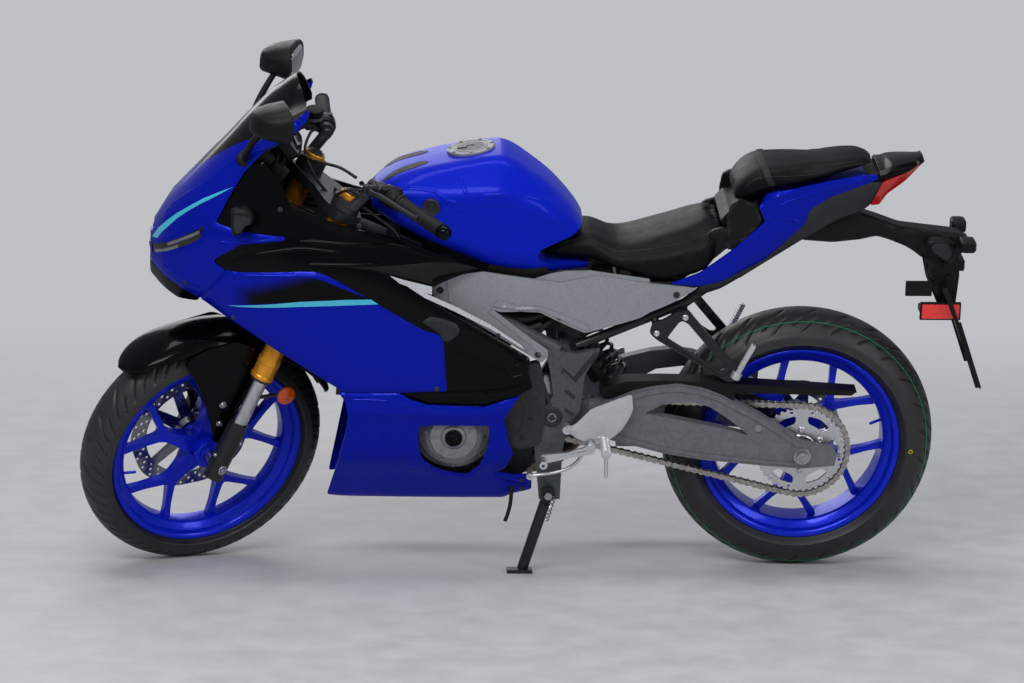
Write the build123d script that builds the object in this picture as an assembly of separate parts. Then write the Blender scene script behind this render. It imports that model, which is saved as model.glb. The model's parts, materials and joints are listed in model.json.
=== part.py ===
from build123d import *
import math
import os

# A sport bike with a faired body, parked on its side stand. Millimetres.
# Every piece is drawn in the bike frame: the bike upright with its steering straight, x to the rear,
# y to the bike's right, z up, and the origin on the ground under the rear axle. The steered pieces
# then turn to the left stop, and the whole bike leans onto its stand.

# ---- chassis geometry -------------------------------------------------------------------------
WHEELBASE = 1380
RAKE = 25.0
TRAIL = 95.0
STEER_STOP = 27.7          # to either side
LEAN = 12.0                # onto the stand, to the left
NOSE_RISE = -0.296         # pitch of the parked bike
REAR_RADIUS = 314.0
FRONT_RADIUS = 293.0
REAR_CROWN = 72.0          # radius of the tread across the tyre
FRONT_CROWN = 56.0
RIM_FLANGE = 232.0         # radius of a 17 inch rim's flange
REAR_FLANGE_HALF = 57.0
FRONT_FLANGE_HALF = 41.0
CARCASS = 9.0              # tyre wall
RUN_GAP = 5.0              # between a moving piece and a fixed one
SEAT_GAP = 0.3             # between two pieces that sit on each other
SHAFT_GAP = 0.3            # round an axle

REAR_AXLE = Vector(0, 0, REAR_RADIUS)
FRONT_AXLE = Vector(-WHEELBASE, 0, FRONT_RADIUS)
SIN_RAKE, COS_RAKE = math.sin(math.radians(RAKE)), math.cos(math.radians(RAKE))
STEER_DIR = Vector(SIN_RAKE, 0, COS_RAKE)
FORK_OFFSET = FRONT_RADIUS * SIN_RAKE - TRAIL * COS_RAKE
STEER_POINT = FRONT_AXLE + Vector(COS_RAKE, 0, -SIN_RAKE) * FORK_OFFSET

AXLE_R = 8.5
FORK_HALF_SPAN = 100.0
OUTER_R, COLLAR_R, INNER_R = 24.5, 27.0, 18.5
FORK_FOOT_R = 23.0

nodes = {}                 # node name -> list of solids
bodies = {"root": [], "steering": [], "front_wheel": [], "rear_wheel": [], "side_stand": []}


# ---- small helpers ----------------------------------------------------------------------------
def keep(body, name, *solids):
    """File solids under a node of a body."""
    kept = []
    for piece in solids:
        kept.extend(piece.solids())
    nodes[name] = kept
    bodies[body].append(name)


def mirrored(shape):
    return mirror(shape, about=Plane.XZ)


def prism(outline, y_from, y_to):
    """A side-view outline of (x, z) corners, carried from one y to another."""
    wire = Wire.make_polygon([Vector(x, y_from, z) for x, z in outline], close=True)
    return Solid.extrude(Face(wire), Vector(0, y_to - y_from, 0))


def block(x_range, y_range, z_range):
    (x0, x1), (y0, y1), (z0, z1) = x_range, y_range, z_range
    return Pos((x0 + x1) / 2, (y0 + y1) / 2, (z0 + z1) / 2) * Box(x1 - x0, y1 - y0, z1 - z0)


def rod(start, end, radius):
    """A round bar from one point to another."""
    start, end = Vector(start), Vector(end)
    return Plane(origin=start, z_dir=end - start) * Cylinder(
        radius, (end - start).length, align=(Align.CENTER, Align.CENTER, Align.MIN))


def cross_rod(x, z, y_from, y_to, radius):
    return rod((x, y_from, z), (x, y_to, z), radius)


def pipe(points, radius, bend):
    """A round tube along straight runs joined by arcs."""
    path = FilletPolyline(*[Vector(*p) for p in points], radius=bend)
    return sweep(Plane(origin=path @ 0, z_dir=path % 0) * Circle(radius), path=path)


def turned(profile, centre):
    """A profile of (radius, y) corners, revolved about the cross axis through a centre."""
    face = make_face(Polyline(*[(r, y) for r, y in profile], close=True))
    return Pos(centre) * revolve(face, axis=Axis.Y)


def hull(stations, inset=0.0, stretch=0.0, ends=(0.0, 0.0)):
    """A closed form lofted through cross sections: rows of x and a half outline of (half width, z)
    from the top down. inset pulls its sides in, stretch carries its sides straight up and down past
    the ends of the outline, and ends moves its first and last sections along x."""
    wires = []
    last = len(stations) - 1
    for index, (x, outline) in enumerate(stations):
        x += ends[0] if index == 0 else ends[1] if index == last else 0
        half = [(max(width - inset, 2.0), z) for width, z in outline]
        if stretch:
            half = [(half[0][0], half[0][1] + stretch)] + half + [(half[-1][0], half[-1][1] - stretch)]
        corners = [Vector(x, -width, z) for width, z in half]
        corners += [Vector(x, width, z) for width, z in reversed(half)]
        wires.append(Wire.make_polygon(corners, close=True))
    return Solid.make_loft(wires, ruled=True)


def skin(stations, outside, wall, ends=(0.0, 0.0)):
    """The side walls of a hull, from an inset of outside to outside + wall."""
    return hull(stations, outside) - hull(stations, outside + wall, stretch=60, ends=ends)


def left(shape):
    return shape & block((-1700, 600), (-500, -1), (-100, 1400))


def right(shape):
    return shape & block((-1700, 600), (1, 500), (-100, 1400))


def fork_point(z, y=0.0, ahead=0.0):
    """A point on the fork legs' line at a height, moved ahead square to it."""
    x = FRONT_AXLE.X + (z - FRONT_RADIUS) * SIN_RAKE / COS_RAKE
    return Vector(x - ahead * COS_RAKE, y, z + ahead * SIN_RAKE)


def stem_point(z, y=0.0):
    return Vector(STEER_POINT.X + (z - STEER_POINT.Z) * SIN_RAKE / COS_RAKE, y, z)


# ---- wheels -----------------------------------------------------------------------------------
def tyre(radius, crown, flange_half, centre):
    """Tread arc as flats between points on the crown, sidewalls down to the rim, and the cavity."""
    crown_angles = (0, 14, 30, 48, 66)
    half = [(radius - crown + crown * math.cos(math.radians(a)), crown * math.sin(math.radians(a)))
            for a in crown_angles]
    bead = (RIM_FLANGE - 4, flange_half - 6)
    sidewall = (radius - crown + crown * 0.1, crown * 0.955)
    flange = RIM_FLANGE + SEAT_GAP
    outer = half + [sidewall, (flange, flange_half - 1), (flange, flange_half - 6), bead]
    inner = [(bead[0], bead[1] - CARCASS), (sidewall[0], sidewall[1] - CARCASS),
             (half[2][0] - CARCASS, half[2][1])]
    profile = [(r, -y) for r, y in reversed(outer)] + outer[1:]
    profile += inner + [(r, -y) for r, y in reversed(inner)]
    return turned(profile, centre)


def rim(flange_half, centre, hub_half, hub_radius, spoke_tips):
    """Barrel with flanges, stepped lip and well, hub with its bore, and spokes in pairs."""
    f = flange_half
    bed = RIM_FLANGE - 4 - SEAT_GAP
    barrel = turned([(RIM_FLANGE, f), (RIM_FLANGE, f - 5), (bed, f - 5.5), (bed, f - 16), (205, f - 22),
                     (205, -f + 22), (bed, -f + 16), (bed, -f + 5.5), (RIM_FLANGE, -f + 5),
                     (RIM_FLANGE, -f), (222, -f), (216, -f + 8), (196, -f + 20), (196, f - 20),
                     (216, f - 8), (222, f)], centre)
    hub = turned([(AXLE_R + SHAFT_GAP, -hub_half), (hub_radius, -hub_half), (hub_radius + 8, 0),
                  (hub_radius, hub_half), (AXLE_R + SHAFT_GAP, hub_half)], centre)
    spokes = []
    for angle in spoke_tips:
        spoke = Wire.make_polygon([Vector(30, -13, 0), Vector(198, -7, 0), Vector(198, 7, 0),
                                   Vector(30, 13, 0)], close=True)
        bar = Solid.extrude(Face(spoke), Vector(0, 0, 24)).moved(Location((0, 0, -12)))
        bar = Rot(0, 0, angle) * bar
        spokes.append(Pos(centre) * (Rot(90, 0, 0) * bar))
    solid = barrel + hub
    for bar in spokes:
        solid = solid + bar
    bore = Pos(centre) * (Rot(90, 0, 0) * Cylinder(AXLE_R + SHAFT_GAP, 400))
    return solid - bore


SPOKE_COUNT = 5
SPOKE_SPREAD = 13.0        # half the angle between the two arms of a pair
spoke_angles = [i * 360 / SPOKE_COUNT + side * SPOKE_SPREAD
                for i in range(SPOKE_COUNT) for side in (-1, 1)]
FRONT_HUB_HALF, REAR_HUB_HALF = 52.0, 66.0
FRONT_HUB_R, REAR_HUB_R = 34.0, 44.0

keep("front_wheel", "front_tyre", tyre(FRONT_RADIUS, FRONT_CROWN, FRONT_FLANGE_HALF, FRONT_AXLE))
keep("front_wheel", "front_rim", rim(FRONT_FLANGE_HALF, FRONT_AXLE, FRONT_HUB_HALF, FRONT_HUB_R,
                                     spoke_angles))
keep("rear_wheel", "rear_tyre", tyre(REAR_RADIUS, REAR_CROWN, REAR_FLANGE_HALF, REAR_AXLE))
keep("rear_wheel", "rear_rim", rim(REAR_FLANGE_HALF, REAR_AXLE, REAR_HUB_HALF, REAR_HUB_R,
                                   spoke_angles))

DISC_WALL = 4.5
FRONT_DISC_R, FRONT_DISC_IN, FRONT_DISC_Y = 149.0, 112.0, 62.0
REAR_DISC_R, REAR_DISC_IN, REAR_DISC_Y = 110.0, 78.0, 76.0


def disc(centre, outer, inner, y, hub_radius, hub_face):
    """Brake ring with a dished carrier down to the hub's end."""
    ring = turned([(inner, y), (outer, y), (outer, y + DISC_WALL), (inner, y + DISC_WALL)], centre)
    carrier = turned([(AXLE_R + 6, hub_face + SEAT_GAP), (hub_radius, hub_face + SEAT_GAP),
                      (hub_radius + 8, y), (inner + 1, y), (inner + 1, y + DISC_WALL),
                      (hub_radius, y + DISC_WALL), (AXLE_R + 6, hub_face + 6)], centre)
    return ring + carrier


keep("front_wheel", "front_disc", disc(FRONT_AXLE, FRONT_DISC_R, FRONT_DISC_IN, FRONT_DISC_Y,
                                       FRONT_HUB_R, FRONT_HUB_HALF))
keep("rear_wheel", "rear_disc", disc(REAR_AXLE, REAR_DISC_R, REAR_DISC_IN, REAR_DISC_Y,
                                     REAR_HUB_R, REAR_HUB_HALF))

# ---- chain drive ------------------------------------------------------------------------------
CHAIN_PITCH = 15.875
REAR_TEETH, FRONT_TEETH = 43, 14
CHAIN_Y = -90.0
ROLLER_R = 5.08
PLATE_HALF = 7.4
CHAIN_HALF = 8.0           # across the outer plates
SPROCKET_WALL = 5.8
FRONT_SPROCKET = Vector(-650, 0, 405)


def pitch_radius(teeth):
    return CHAIN_PITCH / 2 / math.sin(math.pi / teeth)


REAR_PITCH_R, FRONT_PITCH_R = pitch_radius(REAR_TEETH), pitch_radius(FRONT_TEETH)


def sprocket_face(teeth):
    """Toothed outline, its tips just inside the rollers so that it turns within the fixed loop."""
    tip = pitch_radius(teeth) - ROLLER_R - 0.8
    root = tip - 4.5
    corners = []
    for tooth in range(teeth):
        for radius, share in ((tip, -0.16), (tip, 0.16), (root, 0.42), (root, 0.58)):
            a = 2 * math.pi * (tooth + share) / teeth
            corners.append((radius * math.cos(a), radius * math.sin(a)))
    return make_face(Polyline(*corners, close=True))


def sprocket(teeth, centre, bore, y_mid):
    solid = extrude(sprocket_face(teeth), amount=SPROCKET_WALL) - Pos(0, 0, -1) * Cylinder(bore, 40)
    return Pos(centre.X, y_mid + SPROCKET_WALL / 2, centre.Z) * (Rot(90, 0, 0) * solid)


carrier = turned([(AXLE_R + 8, -REAR_HUB_HALF - SEAT_GAP), (44, -REAR_HUB_HALF - SEAT_GAP),
                  (74, CHAIN_Y + SPROCKET_WALL / 2), (74, CHAIN_Y - SPROCKET_WALL / 2),
                  (40, CHAIN_Y - SPROCKET_WALL / 2), (AXLE_R + 8, CHAIN_Y + 6)], REAR_AXLE)
keep("rear_wheel", "rear_sprocket", sprocket(REAR_TEETH, REAR_AXLE, 72, CHAIN_Y) + carrier)


def chain_outline(offset):
    """Loop round both sprockets at a distance from the pitch line: two arcs and two runs."""
    dx, dz = REAR_AXLE.X - FRONT_SPROCKET.X, REAR_AXLE.Z - FRONT_SPROCKET.Z
    slope = math.atan2(dz, dx)
    lift = math.asin((REAR_PITCH_R - FRONT_PITCH_R) / math.hypot(dx, dz))

    def on(centre, radius, angle):
        return Vector(centre.X + radius * math.cos(angle), 0, centre.Z + radius * math.sin(angle))

    rear_r, front_r = REAR_PITCH_R + offset, FRONT_PITCH_R + offset
    up, down = slope + math.pi / 2 + lift, slope - math.pi / 2 - lift
    return Wire([
        ThreePointArc(on(REAR_AXLE, rear_r, down), on(REAR_AXLE, rear_r, slope),
                      on(REAR_AXLE, rear_r, up)).edge(),
        Line(on(REAR_AXLE, rear_r, up), on(FRONT_SPROCKET, front_r, up)).edge(),
        ThreePointArc(on(FRONT_SPROCKET, front_r, up), on(FRONT_SPROCKET, front_r, slope + math.pi),
                      on(FRONT_SPROCKET, front_r, down)).edge(),
        Line(on(FRONT_SPROCKET, front_r, down), on(REAR_AXLE, rear_r, down)).edge()])


def chain_band(half_height, half_width):
    face = Face(chain_outline(half_height)) - Face(chain_outline(-half_height))
    return Pos(0, CHAIN_Y - half_width, 0) * extrude(face, amount=2 * half_width, dir=(0, 1, 0))


plates = chain_band(PLATE_HALF, CHAIN_HALF) - chain_band(PLATE_HALF + 3, SPROCKET_WALL / 2 + 0.6)
keep("root", "drive_chain", plates + chain_band(ROLLER_R, SPROCKET_WALL / 2 + 0.6))
front_sprocket = sprocket(FRONT_TEETH, FRONT_SPROCKET, 10, CHAIN_Y)

# ---- axles, swingarm and shock ----------------------------------------------------------------
PIVOT_X, PIVOT_Z = -574.0, 408.0
ARM_OUT, ARM_IN = 130.0, 104.0          # the arms' faces behind the pivot
NECK_OUT, NECK_IN = 112.0, 99.0         # and at the pivot
AXLE_NUT_R, AXLE_END = 14.0, 148.0
rear_axle = cross_rod(0, REAR_RADIUS, -AXLE_END, AXLE_END, AXLE_R)
axle_nut = cross_rod(0, REAR_RADIUS, ARM_OUT + SEAT_GAP, AXLE_END, AXLE_NUT_R)
keep("root", "rear_axle", rear_axle + axle_nut + mirrored(axle_nut))

arm_outline = [(-490, 442), (-457, 442), (-397, 467), (-340, 482), (-291, 488), (-238, 480), (-192, 463),
               (-99, 413), (-29, 367), (2, 345), (72, 330), (80, 314), (74, 290), (-2, 283), (-94, 290),
               (-232, 304), (-324, 320), (-416, 345), (-490, 362)]
arm_window = [(-362, 416), (-323, 438), (-260, 446), (-214, 432), (-167, 400), (-125, 364), (-189, 381),
              (-281, 400)]
arm_neck = [(-592, 424), (-560, 428), (-485, 442), (-440, 446), (-440, 352), (-485, 362), (-560, 388),
            (-592, 392)]
arm = prism(arm_outline, -ARM_OUT, -ARM_IN) - prism(arm_window, -ARM_OUT - 5, -ARM_IN + 5)
arm = arm + prism(arm_neck, -NECK_OUT, -NECK_IN) + block((-485, -440), (-NECK_OUT - 1, -NECK_IN - 4),
                                                         (362, 440))
arm = arm - cross_rod(0, REAR_RADIUS, -200, -50, AXLE_R + SHAFT_GAP)
cross_member = block((-425, -352), (-ARM_IN - 1, ARM_IN + 1), (326, 412))
pivot_tube = cross_rod(PIVOT_X, PIVOT_Z, -NECK_OUT + 1, NECK_OUT - 1, 18)
swingarm = arm + mirrored(arm) + cross_member + pivot_tube
swingarm = swingarm - cross_rod(PIVOT_X, PIVOT_Z, -200, 200, AXLE_R + SHAFT_GAP)
keep("root", "swingarm", swingarm)

SHOCK_LOW, SHOCK_HIGH = Vector(-440, 0, 434), Vector(-534, 0, 604)
SHOCK_DIR = (SHOCK_HIGH - SHOCK_LOW).normalized()
SHOCK_LENGTH = (SHOCK_HIGH - SHOCK_LOW).length
shock = rod(SHOCK_LOW, SHOCK_HIGH, 12)
shock = shock + rod(SHOCK_LOW + SHOCK_DIR * 30, SHOCK_HIGH - SHOCK_DIR * 75, 30)
shock = shock + cross_rod(SHOCK_LOW.X, SHOCK_LOW.Z, -17, 17, 20)
shock = shock + cross_rod(SHOCK_HIGH.X, SHOCK_HIGH.Z, -17, 17, 18)
shock = shock - block((-600, -300), (-60, 60), (300, 412 + SEAT_GAP))
keep("root", "rear_shock", shock)

# ---- tables of the tank and rider's seat: x, then (half width, z) from the top down --------------
TANK = [(-984, [(40, 922), (72, 905), (76, 888), (60, 880)]),
        (-920, [(78, 962), (126, 935), (122, 862), (100, 848)]),
        (-800, [(92, 992), (146, 932), (142, 825), (118, 795)]),
        (-700, [(88, 1006), (148, 938), (142, 795), (118, 758)]),
        (-610, [(78, 958), (138, 910), (132, 782), (112, 746)]),
        (-530, [(60, 880), (110, 850), (106, 790), (95, 742)]),
        (-497, [(48, 824), (88, 815), (88, 775), (78, 745)])]
RIDER_SEAT = [(-604, [(84, 812), (94, 806), (94, 790), (80, 768)]),
              (-500, [(78, 824), (100, 810), (104, 775), (88, 758)]),
              (-430, [(80, 803), (128, 788), (136, 758), (120, 747)]),
              (-330, [(92, 826), (148, 800), (150, 740), (120, 726)]),
              (-245, [(92, 856), (148, 828), (148, 765), (120, 742)]),
              (-196, [(84, 876), (126, 862), (130, 830), (110, 795)])]

# ---- frame ------------------------------------------------------------------------------------
SPAR_R = 15.0
DOWN_R = 13.0
HEAD_LOW, HEAD_HIGH = stem_point(762), stem_point(876)
HEAD_BORE = 16.0
PLATE_OUT, PLATE_IN = 132.0, 114.0
head_tube = rod(HEAD_LOW, HEAD_HIGH, 32)
pivot_plate = [(-592, 572), (-524, 560), (-468, 569), (-501, 508), (-506, 460), (-510, 424), (-535, 385),
               (-548, 330), (-552, 206), (-600, 206), (-612, 330), (-600, 400), (-590, 428), (-572, 460),
               (-578, 508)]
down_route = [(-1004, -93, 789), (-985, -100, 690), (-960, -104, 585)]
spar = pipe([(-1092, -16, 822), (-1010, -92, 792), (-800, -114, 690), (-560, -116, 565)], SPAR_R, 60)
side_frame = spar + pipe(down_route, DOWN_R, 50) + prism(pivot_plate, -PLATE_OUT, -PLATE_IN)
main_frame = side_frame + mirrored(side_frame) + head_tube
for x, z, radius in ((-548, 560, 14), (-935, 757, 12)):
    main_frame = main_frame + cross_rod(x, z, -PLATE_IN + 2, PLATE_IN - 2, radius)
shock_ear = block((-560, -508), (-26, -18), (560, 624))
main_frame = main_frame + shock_ear + mirrored(shock_ear)
tank_post = block((-950, -920), (-16, 16), (757, 900)) - Pos(0, 0, -SEAT_GAP) * hull(TANK)
main_frame = main_frame + min(tank_post.solids(), key=lambda s: s.center().Z)
main_frame = main_frame - rod(HEAD_LOW - STEER_DIR * 30, HEAD_HIGH + STEER_DIR * 30, HEAD_BORE)
main_frame = main_frame - cross_rod(PIVOT_X, PIVOT_Z, -200, 200, AXLE_R + SHAFT_GAP)

# Stand: a leg that folds back about a bolt through a boss under the left pivot plate.
STAND_PIVOT = Vector(-580, -148, 226)
STAND_FOOT = Vector(-638.5, -153.6, 34.3)
STAND_FOLDED = Vector(0.98, 0.02, 0.17)
STAND_AXIS = (STAND_FOOT - STAND_PIVOT).cross(STAND_FOLDED).normalized()
STAND_SWING = 100.0
STAND_LEG_R = 12.5
stand_bolt = rod(STAND_PIVOT - STAND_AXIS * 20, STAND_PIVOT + STAND_AXIS * 9, 6)
stand_boss = rod(STAND_PIVOT - STAND_AXIS * 20, STAND_PIVOT - STAND_AXIS * (5 + SHAFT_GAP), 16)
main_frame = main_frame + stand_boss + stand_bolt
keep("root", "main_frame", main_frame)

FLOOR_UP = Vector(0, math.sin(math.radians(LEAN)), math.cos(math.radians(LEAN)))
leg_dir = (STAND_FOOT - STAND_PIVOT).normalized()
stand = rod(STAND_PIVOT - STAND_AXIS * 5, STAND_PIVOT + STAND_AXIS * 5, 17)
tongue = Plane(origin=STAND_PIVOT, x_dir=leg_dir, z_dir=STAND_AXIS) * Pos(18, 0, 0) * Box(36, 24, 10)
stand = stand + tongue + rod(STAND_PIVOT + leg_dir * 24, STAND_FOOT - leg_dir * 8, STAND_LEG_R)
pad_plane = Plane(origin=STAND_FOOT, x_dir=(1, 0, 0), z_dir=FLOOR_UP)
pad = pad_plane * Pos(-4, -4, 4) * Box(58, 40, 8)
stand = stand + pad
stand = stand - pad_plane * Pos(0, 0, -50) * Box(200, 200, 100)
stand = stand - rod(STAND_PIVOT - STAND_AXIS * 30, STAND_PIVOT + STAND_AXIS * 30, 6 + SHAFT_GAP)
keep("side_stand", "side_stand", stand)

# Subframe: two lower rails from the pivot plates up into the tail, two upper rails under the seat.
RAIL_R = 11.0
LOWER_ROUTE = [(-520, -112, 572), (-280, -107, 674), (-180, -91, 745), (-25, -72, 836), (70, -44, 891)]
lower_rail = pipe(LOWER_ROUTE, RAIL_R, 40)
upper_rail = pipe([(-640, -100, 700), (-430, -104, 716), (-250, -100, 720), (-150, -90, 775)], RAIL_R, 40)

# ---- engine -----------------------------------------------------------------------------------
CASE_HALF, GEARBOX_HALF, HEAD_HALF = 110.0, 78.0, 90.7
crankcase = prism([(-975, 262), (-940, 240), (-700, 236), (-700, 470), (-790, 500), (-960, 440)],
                  -CASE_HALF, CASE_HALF)
gearbox = prism([(-710, 240), (-640, 244), (-604, 280), (-604, 440), (-650, 475), (-710, 480)],
                -GEARBOX_HALF, GEARBOX_HALF)
cylinders = prism([(-955, 430), (-790, 490), (-838, 680), (-1000, 640)], -HEAD_HALF, HEAD_HALF)
rear_mount = cross_rod(-598, 300, -PLATE_IN + SEAT_GAP, PLATE_IN - SEAT_GAP, 16)
engine = crankcase + gearbox + cylinders + rear_mount
down_room = pipe(down_route, DOWN_R + SEAT_GAP, 50)
engine = engine - down_room - mirrored(down_room)
keep("root", "engine_block", engine)

COVER_X, COVER_Z = -797.0, 376.0
cover_steps = ((96, CASE_HALF + SEAT_GAP, 128), (82, 127, 142), (69, 141, 186), (20, 185, 191))
cover = None
for radius, y_from, y_to in cover_steps:
    step = cross_rod(COVER_X, COVER_Z, -y_to, -y_from, radius)
    cover = step if cover is None else cover + step
sprocket_cover = prism([(-735, 352), (-640, 346), (-618, 380), (-612, 430), (-628, 480), (-700, 500),
                        (-735, 480)], -138, -CASE_HALF - SEAT_GAP)
cover = cover + sprocket_cover
clutch_cover = None
for radius, y_from, y_to in cover_steps[:3]:
    step = cross_rod(COVER_X, COVER_Z, y_from, y_to, radius)
    clutch_cover = step if clutch_cover is None else clutch_cover + step
keep("root", "engine_covers", cover, clutch_cover)
keep("root", "front_sprocket", front_sprocket
     + cross_rod(FRONT_SPROCKET.X, FRONT_SPROCKET.Z, CHAIN_Y - 8, -GEARBOX_HALF - SEAT_GAP, 11))

radiator = block((-1064, -1036), (-150, 150), (430, 640))
radiator_hanger = rod((-1050, -92, 630), (-980, -100, 668), 7) - down_room
radiator_hanger = min(radiator_hanger.solids(), key=lambda s: s.center().X)
keep("root", "radiator", radiator + radiator_hanger + mirrored(radiator_hanger))

# Exhaust: header down the front of the engine, pipe under it, and the silencer on the right.
header = pipe([(-960, 40, 560), (-1006, 40, 500), (-1006, 40, 216), (-760, 50, 214), (-572, 60, 220),
               (-470, 152, 282)], 20, 45)
header = header - engine
silencer_axis = [Vector(-500, 168, 268), Vector(-420, 186, 290), Vector(-110, 196, 356),
                 Vector(-84, 196, 362)]
wires = []
for point, rad in zip(silencer_axis, (24, 54, 58, 46)):
    ring = []
    for k in range(12):
        a = 2 * math.pi * k / 12
        ring.append(point + Vector(0, rad * 0.9 * math.cos(a), rad * 1.08 * math.sin(a)))
    wires.append(Wire.make_polygon(ring, close=True))
silencer = Solid.make_loft(wires, ruled=True)
TAIL_PIPE_R, TAIL_PIPE_DEPTH = 20.0, 45.0
outlet = silencer_axis[-1]
outlet_dir = (silencer_axis[-1] - silencer_axis[-2]).normalized()
exhaust = header + silencer + rod(outlet - outlet_dir * 5, outlet + outlet_dir * 12, TAIL_PIPE_R + 3)
exhaust = exhaust - rod(outlet - outlet_dir * (TAIL_PIPE_DEPTH - 12), outlet + outlet_dir * 20, TAIL_PIPE_R)
keep("root", "exhaust", exhaust)

# ---- fuel tank and seats -----------------------------------------------------------------------
PILLION_SEAT = [(-181, [(66, 908), (84, 900), (84, 892), (70, 886)]),
                (-170, [(74, 944), (100, 930), (104, 900), (84, 893)]),
                (-110, [(78, 981), (106, 966), (108, 932), (90, 921)]),
                (0, [(72, 988), (96, 974), (98, 955), (84, 946)]),
                (110, [(58, 1000), (74, 992), (74, 982), (64, 974)]),
                (166, [(34, 990), (44, 988), (44, 984), (38, 981)])]


TANK_WALL, TANK_CROWN, NECK_R = 5.0, 16.0, 22.0      # the crown is thick enough to hold the cap's recess
tank_room = []
for x, outline in TANK[1:5]:
    x += TANK_WALL if x == TANK[1][0] else -2 * TANK_WALL if x == TANK[4][0] else 0
    (w_top, z_top), (w_side, z_side), (w_low, z_low), (w_foot, z_foot) = outline
    tank_room.append((x, [(w_top - TANK_WALL, z_top - TANK_CROWN), (w_side - TANK_WALL, z_side - TANK_WALL),
                          (w_low - TANK_WALL, z_low + TANK_WALL), (w_foot - TANK_WALL, z_foot + TANK_WALL)]))
seat_room = prism([(-612, 792), (-603, 806), (-537, 832), (-499, 856), (-470, 900), (-470, 757), (-513, 757),
                   (-589, 764), (-607, 778)], -200, 200)
tank = hull(TANK) - seat_room - hull(tank_room)
tank = max(tank.solids(), key=lambda s: s.volume)
CAP_X, CAP_R = -762.0, 55.0
cap_plane = Plane(origin=(CAP_X, 0, 1003), z_dir=(-0.14, 0, 1))
CAP_TOP, CAP_FOOT = 5.5, -9.5
tank = tank - cap_plane * Pos(0, 0, CAP_FOOT - SEAT_GAP) * Cylinder(
    CAP_R + SEAT_GAP, 40, align=(Align.CENTER, Align.CENTER, Align.MIN))
tank = tank - cap_plane * Pos(0, 0, CAP_FOOT - TANK_CROWN) * Cylinder(NECK_R, 40)
keep("root", "fuel_tank", tank)
keep("root", "fuel_cap", cap_plane * Pos(0, 0, CAP_FOOT) * Cylinder(
    CAP_R, CAP_TOP - CAP_FOOT, align=(Align.CENTER, Align.CENTER, Align.MIN)))

nose_room = prism([(-611, 792.4), (-602.6, 805.6), (-536.8, 831.6), (-498.6, 855.6), (-469, 901),
                   (-100, 901), (-100, 700), (-512.6, 700), (-512.6, 757.4), (-588.8, 764.4),
                   (-606.6, 778.2)], -200, 200)
rider_seat = hull(RIDER_SEAT) & nose_room
keep("root", "rider_seat", max(rider_seat.solids(), key=lambda s: s.volume))

# ---- body panels --------------------------------------------------------------------------------
# Cross sections of the upper fairing, belly and tail, as hulls of (half width, z) from the top down.
FAIRING = [(-1492, [(14, 806), (22, 790), (30, 762), (30, 740), (24, 722), (14, 714)]),
           (-1440, [(58, 893), (88, 850), (110, 800), (108, 750), (86, 690), (56, 668)]),
           (-1360, [(98, 955), (130, 900), (152, 830), (154, 740), (132, 672), (104, 636)]),
           (-1270, [(116, 1022), (148, 930), (178, 840), (188, 740), (172, 640), (145, 585)]),
           (-1180, [(124, 1070), (160, 930), (186, 840), (202, 740), (196, 620), (168, 500)]),
           (-1040, [(110, 990), (158, 890), (184, 832), (206, 720), (208, 560), (196, 440)]),
           (-820, [(100, 900), (140, 830), (166, 770), (202, 640), (206, 520), (200, 440)]),
           (-600, [(90, 850), (118, 780), (140, 700), (166, 600), (190, 500), (190, 440)])]
BELLY = [(-1110, [(180, 500), (186, 450), (180, 420), (150, 330), (112, 262), (70, 188)]),
         (-1040, [(196, 500), (204, 448), (198, 420), (176, 330), (134, 262), (86, 188)]),
         (-820, [(200, 500), (208, 448), (200, 420), (180, 330), (138, 262), (90, 188)]),
         (-640, [(190, 500), (200, 448), (194, 420), (172, 330), (134, 262), (88, 188)]),
         (-540, [(165, 500), (170, 448), (165, 420), (150, 330), (120, 262), (86, 200)])]
TAIL = [(-320, [(120, 742), (146, 736), (146, 724), (124, 690)]),
        (-205, [(112, 802), (136, 790), (136, 745), (118, 705)]),
        (-125, [(100, 912), (125, 900), (122, 800), (104, 745)]),
        (-60, [(98, 952), (117, 938), (116, 850), (92, 785)]),
        (50, [(86, 975), (100, 962), (97, 905), (68, 850)]),
        (150, [(62, 992), (75, 980), (73, 935), (52, 888)]),
        (210, [(46, 1004), (56, 992), (53, 962), (38, 938)]),
        (256, [(30, 1000), (40, 997), (38, 990), (28, 986)])]
PANEL, BELLY_WALL = 4.0, 5.0
fairing_skin = skin(FAIRING, 0, PANEL, ends=(14, 0))
inner_skin = hull(FAIRING, PANEL + SEAT_GAP, ends=(14 + SEAT_GAP, 0))
inner_skin = inner_skin - hull(FAIRING, 2 * PANEL + SEAT_GAP, stretch=60, ends=(20, 0))
belly_skin = skin(BELLY, 0, BELLY_WALL)
tail_skin = skin(TAIL, 0, PANEL, ends=(0, -8))

cowl_outline = [(-1500, 808), (-1478, 811), (-1468, 834), (-1434, 886), (-1399, 917), (-1364, 943),
                (-1305, 987), (-1252, 1026), (-1196, 1052), (-1225, 1023), (-1263, 983), (-1296, 931),
                (-1327, 872), (-1273, 857), (-1174, 848), (-1174, 841), (-1273, 828), (-1327, 793),
                (-1332, 783), (-1307, 768), (-1366, 688), (-1401, 701), (-1478, 745), (-1500, 752)]
slit = [(-1484, 786), (-1354, 859), (-1363, 834), (-1386, 823), (-1444, 795), (-1476, 771)]
chin_outline = [(-1500, 751.7), (-1478.2, 744.7), (-1401.2, 700.7), (-1366.4, 687.7), (-1379, 645),
                (-1419, 659), (-1482, 702), (-1500, 714)]
front_cowl = (fairing_skin & prism(cowl_outline, -300, 300)) - prism(slit, -300, 300)
keep("root", "front_cowl", front_cowl)
keep("root", "nose_duct", fairing_skin & prism(chin_outline, -300, 300))
lens_outline = [(-1488, 788), (-1350, 866), (-1352, 832), (-1384, 817), (-1444, 788), (-1480, 764)]
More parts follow.
